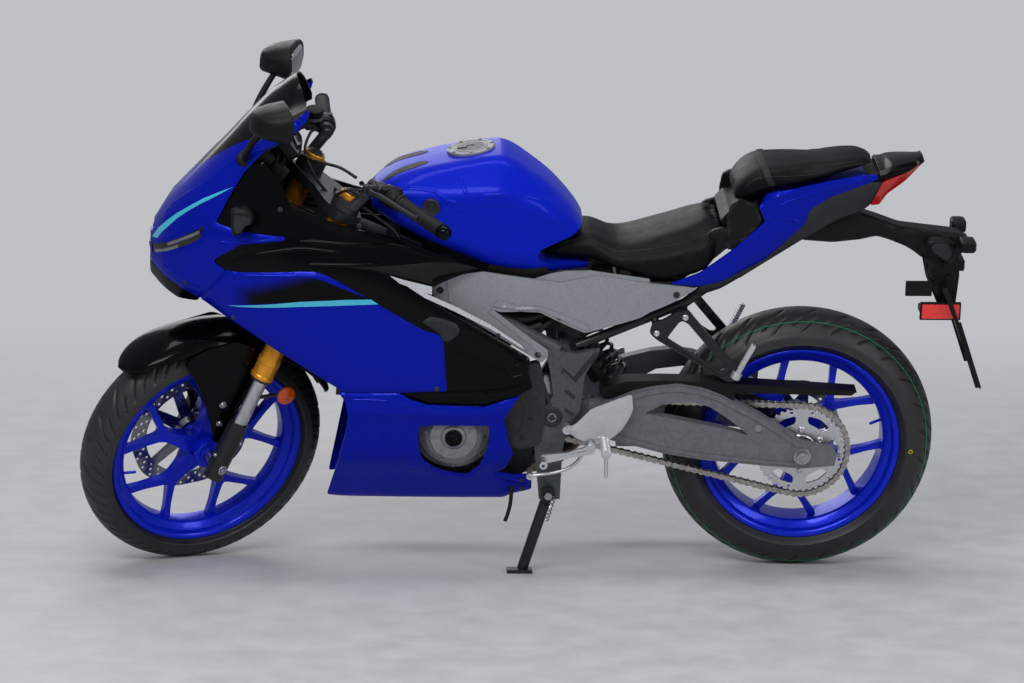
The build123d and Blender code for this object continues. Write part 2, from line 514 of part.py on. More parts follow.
keep("root", "headlamps", left(inner_skin & prism(lens_outline, -300, 300)),
     right(inner_skin & prism(lens_outline, -300, 300)))

side_outline = [(-1306.6, 767.6), (-1273, 766), (-1140, 773), (-1107, 773), (-1085, 766), (-1030, 737),
                (-963, 696), (-863, 636), (-830, 628), (-821, 605), (-813, 493), (-918, 489.5),
                (-1041, 488.5), (-1303, 649), (-1365.6, 687.6)]
upper_outline = [(-1331, 781), (-1331, 872), (-1292, 930), (-1256, 991), (-1225, 1008), (-1196, 985),
                 (-1185, 964), (-1163, 915), (-1097, 886), (-1030, 864), (-920, 838), (-849, 806),
                 (-746, 767), (-822, 742), (-850, 730), (-850, 705), (-823, 684), (-695, 608), (-627, 564), (-631, 533), (-620, 497), (-649, 481), (-727, 457), (-857, 462), (-893, 473),
                 (-918, 489), (-1030, 500), (-1290, 662), (-1330, 700)]
belly_outline = [(-1057, 488), (-918, 488), (-893, 472.5), (-857, 461.5), (-727, 456.5), (-649, 480.5),
                 (-674, 445), (-688, 411), (-674, 371), (-662, 330), (-679, 289), (-697, 277), (-662, 267),
                 (-571, 268), (-569, 232), (-660, 205), (-681, 192), (-1086, 193), (-1058, 309),
                 (-1039, 396), (-1035, 436), (-1041, 467)]
belly_window = [(-875, 403), (-850, 409), (-718, 408), (-715, 371), (-737, 299), (-765, 260), (-818, 280),
                (-865, 312), (-879, 358)]
keep("root", "side_fairings", fairing_skin & prism(side_outline, -300, 300))
keep("root", "inner_panels", inner_skin & prism(upper_outline, -300, 300))
belly_sides = (belly_skin & prism(belly_outline, -300, 300)) - prism(belly_window, -300, 300)
belly_sides = belly_sides - cross_rod(COVER_X, COVER_Z, -300, 300, 69 + 3)
belly_sides = belly_sides - block((-612 - SEAT_GAP, -500), (-200, 200), (180, 300))
keep("root", "belly_cowl", belly_sides)

COVER_OUT, COVER_IN = 137.0, 132.5
frame_cover = prism([(-848, 723), (-823, 737), (-763, 752), (-732, 755), (-651, 743), (-562, 731), (-472, 746),
                     (-383, 732), (-293, 725), (-254, 719), (-309, 684), (-358, 662), (-380, 648), (-503, 611),
                     (-560, 637), (-605, 660), (-650, 662), (-695, 660), (-718, 669), (-586, 570),
                     (-585, 555), (-599, 539), (-819, 680), (-843, 692)], -COVER_OUT, -COVER_IN)
keep("root", "frame_covers", frame_cover, mirrored(frame_cover))

# Windscreen: a thin crowned shell, lofted through strips whose edges lap inside the cowl.
SCREEN_WALL = 4.0
SCREEN_LAP = 16.0          # how far its edge reaches down inside the cowl
screen_rows = [(-1474, 30, 820, 14), (-1434, 66, 880, 14), (-1386, 100, 923, 22), (-1305, 120, 987, 44),
               (-1252, 126, 1026, 63), (-1196, 126, 1052, 90), (-1160, 116, 1076, 92)]
SCREEN_SHARES = (-1, -0.85, -0.6, -0.3, 0, 0.3, 0.6, 0.85, 1)


def screen_loft(inset, drop, skirt, shift):
    """Loft through the screen's cross sections, pulled in and lowered, with a skirt below its edges."""
    wires = []
    for index, (x, half_width, edge, crown) in enumerate(screen_rows):
        width = half_width - inset
        corners = [Vector(x, s * width, edge + crown * (1 - abs(s) ** 2.4) - drop) for s in SCREEN_SHARES]
        corners += [Vector(x, width, edge - skirt), Vector(x, -width, edge - skirt)]
        if index == len(screen_rows) - 1:
            corners = [c + Vector(shift, 0, 0) for c in corners]
        wires.append(Wire.make_polygon(corners, close=True))
    return Solid.make_loft(wires, ruled=True)


screen = screen_loft(0, 0, SCREEN_LAP, 0) - screen_loft(SCREEN_WALL, SCREEN_WALL * 1.4, 90, 2)
screen = screen & hull(FAIRING, PANEL + SEAT_GAP, stretch=200, ends=(14 + SEAT_GAP, 0))
keep("root", "windscreen", max(screen.solids(), key=lambda s: s.volume))

# Tail: blue side covers with the deck that the rear seat sits on, grey underside, top, and lamp.
tail_blue = [(-316, 732), (-249, 757), (-176, 809), (-150, 831), (-106, 872), (-121, 905), (-102, 935),
             (-80, 944), (37, 969), (151, 985), (148, 957), (39, 923), (-5, 896), (-15, 862), (-48, 828),
             (-103, 778), (-203, 732), (-248, 724)]
tail_grey = [(-248, 723.7), (-203, 731.7), (-102.8, 777.7), (-47.8, 827.7), (-14.7, 861.7), (-4.7, 895.7),
             (39, 922.7), (133, 951.9), (159.5, 949.5), (149.5, 930), (134.9, 893), (124, 884), (65, 865),
             (-25, 815), (-158, 737), (-203, 712), (-254, 694)]
tail_floor = [(-158, 737), (-25, 815), (65, 865), (124, 884), (128, 889), (64, 870), (-26, 820), (-159, 742)]
tail_deck = [(-95, 928), (-80, 934), (0, 945), (110, 973), (150, 979), (150, 974), (110, 967), (0, 939),
             (-80, 928), (-95, 922)]
tail_hull = hull(TAIL)
tail_sides = (tail_skin & prism(tail_blue, -200, 200)) - hull(PILLION_SEAT, -SEAT_GAP)
tail_cowl = tail_sides + (tail_hull & prism(tail_deck, -200, 200)) - hull(RIDER_SEAT, -SEAT_GAP)
tail_cowl = max(tail_cowl.solids(), key=lambda s: s.volume)
keep("root", "tail_cowl", tail_cowl)
tail_underside = (tail_skin & prism(tail_grey, -200, 200)) + (tail_hull & prism(tail_floor, -200, 200))
tail_underside = max(tail_underside.solids(), key=lambda s: s.volume)
top_outline = [(151.5, 985), (150, 1020), (260, 1020), (256, 993), (212, 966), (148.5, 957.3)]
keep("root", "tail_trim", tail_underside, tail_hull & prism(top_outline, -200, 200))
lamp_outline = [(256.5, 992.6), (212, 965.6), (160.4, 950), (150, 930), (135.4, 893), (157, 892), (173, 919),
                (214, 944), (262, 990)]
keep("root", "tail_lamp", hull(TAIL) & prism(lamp_outline, -200, 200))
hump = prism([(-186, 885), (-204, 864), (-196, 846), (-150, 824), (-125, 846), (-112, 872), (-122, 912),
              (-172, 888)], -92, 92) - hull(RIDER_SEAT, -SEAT_GAP)
keep("root", "seat_hump", hump)
pillion = hull(PILLION_SEAT) - prism([(x, z + SEAT_GAP) for x, z in tail_deck], -300, 300) - hump
pillion = pillion - prism([(148.1, 957), (151.1, 985), (149.7, 1020), (300, 1020), (300, 957)], -300, 300)
keep("root", "pillion_seat", max(pillion.solids(), key=lambda s: s.volume))

subframe = lower_rail + upper_rail
subframe = subframe + mirrored(subframe)
subframe = subframe + cross_rod(-160, 768, -96, 96, 9) + cross_rod(-430, 716, -104, 104, 9)
seat_rest = block((-395, -375), (-108, 108), (708, 770)) - Pos(0, 0, -SEAT_GAP) * hull(RIDER_SEAT)
subframe = subframe + min(seat_rest.solids(), key=lambda s: s.center().Z)
TAIL_POST_X = 40.0
tail_post = block((TAIL_POST_X - 6, TAIL_POST_X + 6), (-20, 20), (868, 990))
tail_post = tail_post - prism([(x, z - SEAT_GAP) for x, z in tail_deck], -60, 60)
subframe = subframe + min(tail_post.solids(), key=lambda s: s.center().Z)
subframe = subframe + cross_rod(TAIL_POST_X, 868, -52, 52, 9)
subframe = subframe - block((-640, -500), (-140, 140), (560, 573))
subframe = subframe - hull(RIDER_SEAT, -SEAT_GAP) - hull(TANK, -SEAT_GAP)
keep("root", "subframe", subframe)

# ---- steering -----------------------------------------------------------------------------------
FORWARD = Vector(-COS_RAKE, 0, SIN_RAKE)


def clamp(base, wall):
    """A fork clamp: a plate square to the steering axis, with bores for both legs."""
    plane = Plane(origin=base, x_dir=FORWARD, z_dir=STEER_DIR)
    edge = FORK_HALF_SPAN + 33
    outline = [(-30, -36), (6, -edge), (70, -edge), (78, -edge + 60), (70, 0), (78, edge - 60), (70, edge),
               (6, edge), (-30, 36)]
    plate = extrude(make_face(Polyline(*outline, close=True)), amount=wall)
    for side in (-1, 1):
        plate = plate - Pos(FORK_OFFSET, side * FORK_HALF_SPAN, wall / 2) * Cylinder(OUTER_R + 0.2, wall * 2)
    return plane * plate


lower_clamp = clamp(HEAD_LOW - STEER_DIR * 35, 34)
upper_clamp = clamp(HEAD_HIGH + STEER_DIR * 1, 22)
stem = rod(HEAD_LOW - STEER_DIR * 30, HEAD_HIGH + STEER_DIR * 30, HEAD_BORE - 1)
keep("steering", "fork_clamps", lower_clamp + upper_clamp + stem)
GOLD_LOW, GOLD_HIGH, CAST_HIGH, CAST_LOW = 512.0, 950.0, 402.0, 268.0
outers, inners, feet = [], [], []
for side in (-1, 1):
    y = side * FORK_HALF_SPAN
    gold = rod(fork_point(GOLD_LOW, y), fork_point(GOLD_HIGH, y), OUTER_R)
    gold = gold + rod(fork_point(GOLD_LOW, y), fork_point(GOLD_LOW + 46, y), COLLAR_R)
    gold = gold - rod(fork_point(GOLD_LOW - 5, y), fork_point(GOLD_LOW + 60, y), INNER_R + 0.2)
    outers.append(gold)
    inners.append(rod(fork_point(CAST_HIGH - 40, y), fork_point(GOLD_LOW + 58, y), INNER_R))
    foot = rod(fork_point(CAST_LOW, y), fork_point(CAST_HIGH, y), FORK_FOOT_R)
    foot = foot - rod(fork_point(CAST_HIGH - 40.5, y), fork_point(CAST_HIGH + 10, y), INNER_R + 0.2)
    foot = foot - cross_rod(FRONT_AXLE.X, FRONT_AXLE.Z, y - 60, y + 60, AXLE_R + 0.2)
    feet.append(foot)
keep("steering", "fork_outer_tubes", *outers)
keep("steering", "fork_inner_tubes", *inners)
keep("steering", "fork_feet", *feet)
front_axle = cross_rod(FRONT_AXLE.X, FRONT_AXLE.Z, -124, 124, AXLE_R)
for side in (-1, 1):
    a, b = side * (FRONT_HUB_HALF + SHAFT_GAP), side * (FORK_HALF_SPAN - FORK_FOOT_R - 0.2)
    if side > 0:
        a = FRONT_DISC_Y + DISC_WALL + 5
    front_axle = front_axle + cross_rod(FRONT_AXLE.X, FRONT_AXLE.Z, min(a, b), max(a, b), 14)
keep("steering", "front_axle", front_axle)

# Fender: a curved guard over the tyre, with legs down to the fork feet.
FENDER_IN, FENDER_TOP, FENDER_SIDE, FENDER_WALL = 306.0, 326.0, 72.0, 3.5
guard = [(FENDER_IN - 6, -FENDER_SIDE), (FENDER_IN + 8, -FENDER_SIDE + 3), (FENDER_TOP, -30),
         (FENDER_TOP, 30), (FENDER_IN + 8, FENDER_SIDE - 3), (FENDER_IN - 6, FENDER_SIDE)]
guard += [(r - (FENDER_WALL if i in (1, 2, 3, 4) else 0), y * (1 - FENDER_WALL / FENDER_SIDE))
          for i, (r, y) in reversed(list(enumerate(guard)))]
guard_face = make_face(Polyline(*guard, close=True))
FENDER_AHEAD, FENDER_BEHIND = 41.0, 66.0
arc = revolve(guard_face, axis=Axis.Y, revolution_arc=FENDER_AHEAD + FENDER_BEHIND)
legs_outline = [(-1440, 588), (-1330, 612), (-1262, 560), (-1272, 520), (-1336, 400), (-1376, 372),
                (-1404, 430), (-1420, 520)]
fender = Pos(FRONT_AXLE) * (Rot(0, -90 - FENDER_AHEAD, 0) * arc)
fender_leg = prism(legs_outline, -FORK_HALF_SPAN + FORK_FOOT_R + 0.3, -FENDER_SIDE + 0.5)
fender_leg = fender_leg - rod(fork_point(500, -FORK_HALF_SPAN), fork_point(760, -FORK_HALF_SPAN),
                              COLLAR_R + SEAT_GAP)
fender = fender + fender_leg + mirrored(fender_leg)
keep("steering", "front_fender", fender)

# Clip-ons: a ring round each fork tube over the upper clamp, a riser, and the bar with its grip.
RING_LOW, RING_HIGH = 914.0, 938.0
BAR_IN, BAR_OUT = Vector(-1036, -128, 978), Vector(-955, -340, 950)
BAR_R, GRIP_R = 11.0, 16.5
bar_dir = (BAR_OUT - BAR_IN).normalized()


def on_bar(distance):
    return BAR_IN + bar_dir * distance


ring = rod(fork_point(RING_LOW, -FORK_HALF_SPAN), fork_point(RING_HIGH, -FORK_HALF_SPAN), OUTER_R + 9)
riser = rod(fork_point(RING_HIGH - 12, -FORK_HALF_SPAN - 28), on_bar(6), 13)
clip_on = ring + riser + rod(on_bar(-8), on_bar(222), BAR_R)
clip_on = clip_on - rod(fork_point(860, -FORK_HALF_SPAN), fork_point(980, -FORK_HALF_SPAN), OUTER_R + 0.2)
grip = rod(on_bar(88), on_bar(212), GRIP_R) + rod(on_bar(90), on_bar(84), GRIP_R + 4)
weight = rod(on_bar(212.3), on_bar(238), GRIP_R - 1)
hollow = rod(on_bar(-20), on_bar(222.3), BAR_R + 0.2)
grip, weight = grip - hollow, weight - hollow
clip_on = max(clip_on.solids(), key=lambda s: s.volume)
keep("steering", "clip_ons", clip_on, mirrored(clip_on))
keep("steering", "grips", grip, mirrored(grip), weight, mirrored(weight))
switch = rod(on_bar(36), on_bar(82), 24) - hollow
perch = rod(on_bar(14), on_bar(34), 18) + rod(on_bar(24), on_bar(24) + Vector(-44, -12, 16), 10)
perch = perch - hollow - rod(fork_point(RING_HIGH - 12, -FORK_HALF_SPAN - 28), on_bar(6), 13 + SEAT_GAP)
perch = perch - rod(on_bar(-20), on_bar(6) + bar_dir * 14, 13 + 3)
lever_root = on_bar(24) + Vector(-40, -11, 14)
lever = pipe([lever_root, lever_root + bar_dir * 60 + Vector(-8, 0, 0), on_bar(205) + Vector(-52, 0, 8)],
             6, 60)
reservoir = rod(on_bar(30) + Vector(-30, 0, 22), on_bar(30) + Vector(-30, 0, 56), 20)
brake_side = mirrored(perch) + mirrored(reservoir)
keep("steering", "bar_controls", perch + lever, brake_side + mirrored(lever), switch, mirrored(switch))

FRONT_CALIPER = Vector(-1270, 0, 330)
slot = turned([(60, FRONT_DISC_Y - RUN_GAP), (FRONT_DISC_R + RUN_GAP, FRONT_DISC_Y - RUN_GAP),
               (FRONT_DISC_R + RUN_GAP, FRONT_DISC_Y + DISC_WALL + RUN_GAP),
               (60, FRONT_DISC_Y + DISC_WALL + RUN_GAP)], FRONT_AXLE)
caliper = block((-1310, -1222), (46, 96), (296, 384)) - slot
for z in (306, 366):
    caliper = caliper + block((-1350, -1300), (84, 96), (z, z + 14))
caliper = caliper - rod(fork_point(200, FORK_HALF_SPAN), fork_point(460, FORK_HALF_SPAN), FORK_FOOT_R + 0.2)
caliper = caliper - cross_rod(FRONT_AXLE.X, FRONT_AXLE.Z, 0, 200, 86)
keep("steering", "front_caliper", max(caliper.solids(), key=lambda s: s.volume))

# ---- fixed pieces of the front end --------------------------------------------------------------
inner_room = hull(FAIRING, 2 * PANEL + 2 * SEAT_GAP, ends=(30, 0))
nose_stay = pipe([(-1096, 0, 830), (-1200, 0, 872), (-1310, 0, 900)], 11, 60) - head_tube
nose_bar = rod((-1300, -250, 896), (-1300, 250, 896), 8) & inner_room
dash_plane = Plane(origin=(-1178, 0, 1030), x_dir=(0, 1, 0), z_dir=(0.8, 0, 0.6))
dash_post = rod((-1215, 0, 872), (-1172, 0, 1010), 9) - dash_plane * Box(
    170 + 2 * SEAT_GAP, 92 + 2 * SEAT_GAP, 34 + 2 * SEAT_GAP)
dash_post = min(dash_post.solids(), key=lambda s: s.center().Z)
fairing_stay = nose_stay + nose_bar + dash_post
fairing_stay = fairing_stay - rod(HEAD_LOW, HEAD_HIGH, 32 + 0.2)
keep("root", "instrument_panel", dash_plane * Box(170, 92, 34))

keep("root", "fairing_stay", max(fairing_stay.solids(), key=lambda s: s.volume))

belly_room = hull(BELLY, BELLY_WALL + SEAT_GAP)
brackets = []
for x, z, y_from, space in ((-900, 600, HEAD_HALF, inner_room), (-912, 292, CASE_HALF, belly_room),
                            (-745, 280, CASE_HALF, belly_room)):
    bar = cross_rod(x, z, -300, -y_from - SEAT_GAP, 7) & space
    brackets += [bar, mirrored(bar)]
keep("root", "panel_brackets", *brackets)

MIRROR = Vector(-1205, -292, 1142)
mirror_rows = [(-74, 22, 18), (-50, 40, 32), (0, 44, 38), (45, 38, 34), (72, 20, 18)]
wires = []
for offset, half_x, half_z in mirror_rows:            # y from the middle, half sizes along x and z
    ring = []
    for k in range(10):
        a = 2 * math.pi * k / 10
        x, z = half_x * math.cos(a), half_z * math.sin(a)
        ring.append(MIRROR + Vector(min(x, half_x * 0.45), offset, z - x * 0.25))
    wires.append(Wire.make_polygon(ring, close=True))
mirror_head = Solid.make_loft(wires, ruled=True)
mirror_arm = pipe([(-1262, -120, 1010), (-1250, -160, 1040), (-1210, -250, 1128)], 9, 30)
mirror_arm = mirror_arm - hull(FAIRING, -SEAT_GAP)
mirror_one = mirror_head + max(mirror_arm.solids(), key=lambda s: s.volume)
keep("root", "mirrors", mirror_one, mirrored(mirror_one))

TURN_X, TURN_Z = -1264.0, 896.0
front_turn = cross_rod(TURN_X, TURN_Z + 6, -200, -100, 8) - hull(FAIRING, PANEL)
front_turn = min(front_turn.solids(), key=lambda s: s.center().Y)
turn_outline = [(-26, -32), (-24, 16), (-8, 30), (18, 30), (27, 12), (14, -18)]
front_turn = front_turn + prism([(TURN_X + x, TURN_Z + z) for x, z in turn_outline], -228, -192)

# ---- tail pieces --------------------------------------------------------------------------------
hanger_outline = [(-12, 821.8), (65, 864.6), (112, 879.7), (120, 863), (164, 849), (210, 832), (278, 826),
                  (340, 817), (372, 800), (366, 790), (360, 770), (345, 690), (306, 654), (282, 682),
                  (264, 757), (247, 771), (224, 785), (189, 799), (159, 808), (121, 797), (30, 795),
                  (-12, 790)]
hanger = prism(hanger_outline, -30, 30)
PLATE_TOP, PLATE_LOW, NUMBER_WALL = (318, 704), (407, 465), 2.5
plate = prism([PLATE_TOP, PLATE_LOW, (PLATE_LOW[0] + NUMBER_WALL, PLATE_LOW[1]),
               (PLATE_TOP[0] + NUMBER_WALL, PLATE_TOP[1])], -90, 90)
hanger = hanger - prism([(PLATE_TOP[0] - 1.2, PLATE_TOP[1] + 2), (PLATE_LOW[0] - 1.2, PLATE_LOW[1]),
                         (500, PLATE_LOW[1]), (500, PLATE_TOP[1] + 2)], -90, 90)
keep("root", "plate_hanger", max(hanger.solids(), key=lambda s: s.volume))
keep("root", "number_plate", plate)
rear_turn = cross_rod(352, 793, -64, -30 - SEAT_GAP, 8) + Pos(358, -78, 806) * Box(34, 50, 28)
keep("root", "indicators", front_turn, mirrored(front_turn), rear_turn, mirrored(rear_turn))

hugger_top = [(-466, 462), (-459, 476), (-407, 492), (-328, 494), (-236, 492), (-145, 486), (-8, 478),
              (118, 470)]
hugger_low = [(107, 460), (-7, 462), (-155, 466), (-195, 468), (-238, 481), (-291, 489), (-340, 483),
              (-397, 468), (-440, 450)]
chain_guard = prism(hugger_top + hugger_low, -126, -123)
chain_guard = chain_guard + prism(hugger_top + [(x, z - 3) for x, z in reversed(hugger_top)], -126, -78)
chain_guard = chain_guard + block((-200, -160), (-126, -114), (440, 480))
chain_guard = chain_guard - prism([(x, z + SEAT_GAP) for x, z in arm_outline], -ARM_OUT - 1, -ARM_IN + 1)
keep("root", "chain_guard", chain_guard)

# Footrests: a hanger plate off each pivot plate, a heel guard, and a peg.
heel_outline = [(-552, 392), (-536, 400), (-520, 400), (-487, 436), (-462, 447), (-392, 478), (-390, 436),
                (-400, 411), (-417, 384), (-455, 350), (-480, 346), (-520, 366), (-546, 372)]
PEG_X, PEG_Z = -455.0, 362.0
footrest = prism(heel_outline, -160, -155) + cross_rod(-540, 384, -156, -PLATE_OUT - SEAT_GAP, 10)
footrest = footrest + cross_rod(PEG_X, PEG_Z, -250, -156, 12)
keep("root", "rider_footrests", footrest, mirrored(footrest))
shift = rod((-480, -168, 350), (-590, -172, 322), 6) + cross_rod(-594, 320, -215, -168, 9)
shift = shift + cross_rod(-486, 349, -175, -160 - SEAT_GAP, 9)
keep("root", "foot_controls", shift, mirrored(shift))
pillion_outline = [(-296, 664), (-272, 668), (-258, 650), (-150, 522), (-152, 500), (-178, 496), (-340, 596),
                   (-358, 612), (-350, 640), (-330, 642)]
pillion_hole = [(-290, 640), (-276, 640), (-182, 528), (-196, 522), (-318, 600)]
bracket = prism(pillion_outline, -136, -129) - prism(pillion_hole, -140, -120)
bracket = bracket + rod((-281, -129, 655), (-281, -110, 667), 9) + rod((-340, -129, 618), (-346, -110, 642), 9)
bracket = bracket - pipe(LOWER_ROUTE, RAIL_R + SEAT_GAP, 40)
bracket = max(bracket.solids(), key=lambda s: s.volume)
peg = rod((-160, -136, 510), (-122, -142, 586), 10)
bracket = bracket + peg
keep("root", "pillion_footrests", bracket, mirrored(bracket))

rear_slot = turned([(50, REAR_DISC_Y - RUN_GAP), (REAR_DISC_R + RUN_GAP, REAR_DISC_Y - RUN_GAP),
                    (REAR_DISC_R + RUN_GAP, REAR_DISC_Y + DISC_WALL + RUN_GAP),
                    (50, REAR_DISC_Y + DISC_WALL + RUN_GAP)], REAR_AXLE)
rear_caliper = block((-130, -60), (60, ARM_IN - SEAT_GAP), (318, 392)) - rear_slot
rear_caliper = rear_caliper - cross_rod(0, REAR_RADIUS, 0, 200, 60)
keep("root", "rear_caliper", max(rear_caliper.solids(), key=lambda s: s.volume))

# ---- parking and writing ------------------------------------------------------------------------
steer = Pos(STEER_POINT) * Rot(0, RAKE, 0) * Rot(0, 0, STEER_STOP) * Rot(0, -RAKE, 0) * Pos(
    STEER_POINT).inverse()
pitch, lean = math.radians(NOSE_RISE), math.radians(LEAN)
park = Pos(0, 0, REAR_CROWN * (1 - math.cos(lean))) * Rot(LEAN, 0, 0) * Rot(0, NOSE_RISE, 0)
placed = {}
for body, names in bodies.items():
    place = park * steer if body in ("steering", "front_wheel") else park
    for name in names:
        placed[name] = [place * solid for solid in nodes[name]]
box = Compound([solid for solids in placed.values() for solid in solids]).bounding_box()
origin = Vector((box.min.X + box.max.X) / 2, (box.min.Y + box.max.Y) / 2, box.min.Z)
to_origin = Pos(-origin.X, -origin.Y, -origin.Z)
os.makedirs("parts", exist_ok=True)
for name, solids in placed.items():
    moved = [to_origin * solid for solid in solids]
    export_step(Compound(moved) if len(moved) > 1 else moved[0], "parts/" + name + ".step")
print("nodes", len(placed), "box", box.size, "origin", origin)
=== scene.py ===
"""Looks of the parked sport bike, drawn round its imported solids, each piece riding on a body."""
import bisect
import json
import math

import bmesh
import bpy
from mathutils import Matrix, Vector
from mathutils.bvhtree import BVHTree
from mathutils.geometry import delaunay_2d_cdt

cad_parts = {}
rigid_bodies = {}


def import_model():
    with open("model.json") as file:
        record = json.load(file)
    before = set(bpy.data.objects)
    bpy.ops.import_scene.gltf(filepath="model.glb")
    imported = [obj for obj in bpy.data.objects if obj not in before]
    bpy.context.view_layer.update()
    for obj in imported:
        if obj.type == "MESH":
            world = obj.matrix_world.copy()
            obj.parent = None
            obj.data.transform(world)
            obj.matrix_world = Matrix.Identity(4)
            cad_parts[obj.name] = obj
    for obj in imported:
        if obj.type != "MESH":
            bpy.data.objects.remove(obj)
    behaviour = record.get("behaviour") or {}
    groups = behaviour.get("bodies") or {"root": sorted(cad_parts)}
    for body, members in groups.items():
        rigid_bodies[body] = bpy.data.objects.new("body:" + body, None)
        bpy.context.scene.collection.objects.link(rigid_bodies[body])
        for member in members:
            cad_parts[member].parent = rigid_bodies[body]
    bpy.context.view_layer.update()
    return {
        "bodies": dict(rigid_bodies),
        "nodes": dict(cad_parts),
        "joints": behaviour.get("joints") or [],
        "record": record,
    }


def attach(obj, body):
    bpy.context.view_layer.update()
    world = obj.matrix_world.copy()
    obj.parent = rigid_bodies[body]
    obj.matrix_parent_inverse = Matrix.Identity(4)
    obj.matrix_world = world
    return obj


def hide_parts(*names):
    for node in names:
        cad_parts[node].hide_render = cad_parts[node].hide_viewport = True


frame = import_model()

# Pieces are drawn in the bike frame, as the solids are: millimetres, the bike upright with its
# steering straight, x to the rear, y to its right, z up, origin on the ground under the rear axle.
MM = 0.001
# Angles are degrees: the steering axis, its turn to the left stop, the lean on the stand, the pitch.
RAKE, STEER_STOP, LEAN, NOSE_RISE = 25.0, 27.7, 12.0, -0.296
TRAIL = 95.0
REAR_R, FRONT_R = 314.0, 293.0
REAR_AXLE, FRONT_AXLE = Vector((0, 0, REAR_R)), Vector((-1380, 0, FRONT_R))
SIN_RAKE, COS_RAKE = math.sin(math.radians(RAKE)), math.cos(math.radians(RAKE))
STEER_DIR = Vector((SIN_RAKE, 0, COS_RAKE))
FORK_OFFSET = FRONT_R * SIN_RAKE - TRAIL * COS_RAKE
STEER_POINT = FRONT_AXLE + Vector((COS_RAKE, 0, -SIN_RAKE)) * FORK_OFFSET
FORK_Y = 100.0
STEERED = ("steering", "front_wheel")

joints = {j["name"]: j for j in frame["record"]["behaviour"]["joints"]}
tilt = Matrix.Rotation(math.radians(LEAN), 4, "X") @ Matrix.Rotation(math.radians(NOSE_RISE), 4, "Y")
axle_place = Vector(joints["rear_wheel_spin"]["pos_m"])
PARK = Matrix.Translation(axle_place - tilt @ (REAR_AXLE * MM)) @ tilt @ Matrix.Scale(MM, 4)
STEER = (Matrix.Translation(STEER_POINT) @ Matrix.Rotation(math.radians(STEER_STOP), 4, STEER_DIR)
         @ Matrix.Translation(-STEER_POINT))
UPRIGHT = PARK.inverted()
DOWN = (PARK.to_3x3() @ Vector((0, 0, -1))).normalized()
# Radius that stands for none, where a turned form meets its own axis
CORE = 0.01
# Places over a width, from -1 on the left to 1 on the right
ACROSS = [i / 6 - 1 for i in range(13)]


# ---- shape helpers ------------------------------------------------------------------------------
def lerp(a, b, t):
    return a + (b - a) * t


def track(knots, t):
    """Smooth curve without overshoot through knots of (t, value), t rising."""
    ts = [k[0] for k in knots]
    if t <= ts[0]:
        return knots[0][1]
    if t >= ts[-1]:
        return knots[-1][1]
    i = bisect.bisect_right(ts, t) - 1
    slopes = [(b[1] - a[1]) / (b[0] - a[0]) for a, b in zip(knots, knots[1:])]

    def tangent(j):
        if j == 0:
            return slopes[0]
        if j == len(knots) - 1:
            return slopes[-1]
        a, b = slopes[j - 1], slopes[j]
        return 0.0 if a * b <= 0 else 2 * a * b / (a + b)

    h = ts[i + 1] - ts[i]
    u = (t - ts[i]) / h
    return ((2 * u ** 3 - 3 * u ** 2 + 1) * knots[i][1] + (u ** 3 - 2 * u ** 2 + u) * h * tangent(i)
            + (3 * u ** 2 - 2 * u ** 3) * knots[i + 1][1] + (u ** 3 - u ** 2) * h * tangent(i + 1))


def section(stations, x):
    """Half outline (half width, z), top down, of a hull at x, smooth along x."""
    rows = len(stations[0][1])
    return [(track([(sx, half[k][0]) for sx, half in stations], x),
             track([(sx, half[k][1]) for sx, half in stations], x)) for k in range(rows)]


def width_of(stations):
    """Half width of a hull at (x, z), smooth both ways."""
    cache = {}

    def width(x, z):
        key = round(x, 1)
        if key not in cache:
            cache[key] = [(pz, w) for w, pz in reversed(section(stations, key))]
        return track(cache[key], z)

    return width


def rounded(outline, radius, steps=3):
    """Corners of an outline cut by arcs, which take at most a little under half of either side."""
    pts = [Vector(p[:2]) for p in outline]
    most = 0.45
    out = []
    for i, p in enumerate(pts):
        a, b = pts[i - 1] - p, pts[(i + 1) % len(pts)] - p
        cut = min(radius, a.length * most, b.length * most)
        start, end = p + a.normalized() * cut, p + b.normalized() * cut
        for k in range(steps + 1):
            t = k / steps
            q = start.lerp(p, t).lerp(p.lerp(end, t), t)
            out.append(tuple(q))
    return out


def inside(poly, x, y):
    """Whether a point lies in an outline, by counting the sides to its right."""
    hit = False
    j = len(poly) - 1
    for i in range(len(poly)):
        xi, yi = poly[i][0], poly[i][1]
        xj, yj = poly[j][0], poly[j][1]
        if (yi > y) != (yj > y) and x < (xj - xi) * (y - yi) / (yj - yi) + xi:
            hit = not hit
        j = i
    return hit


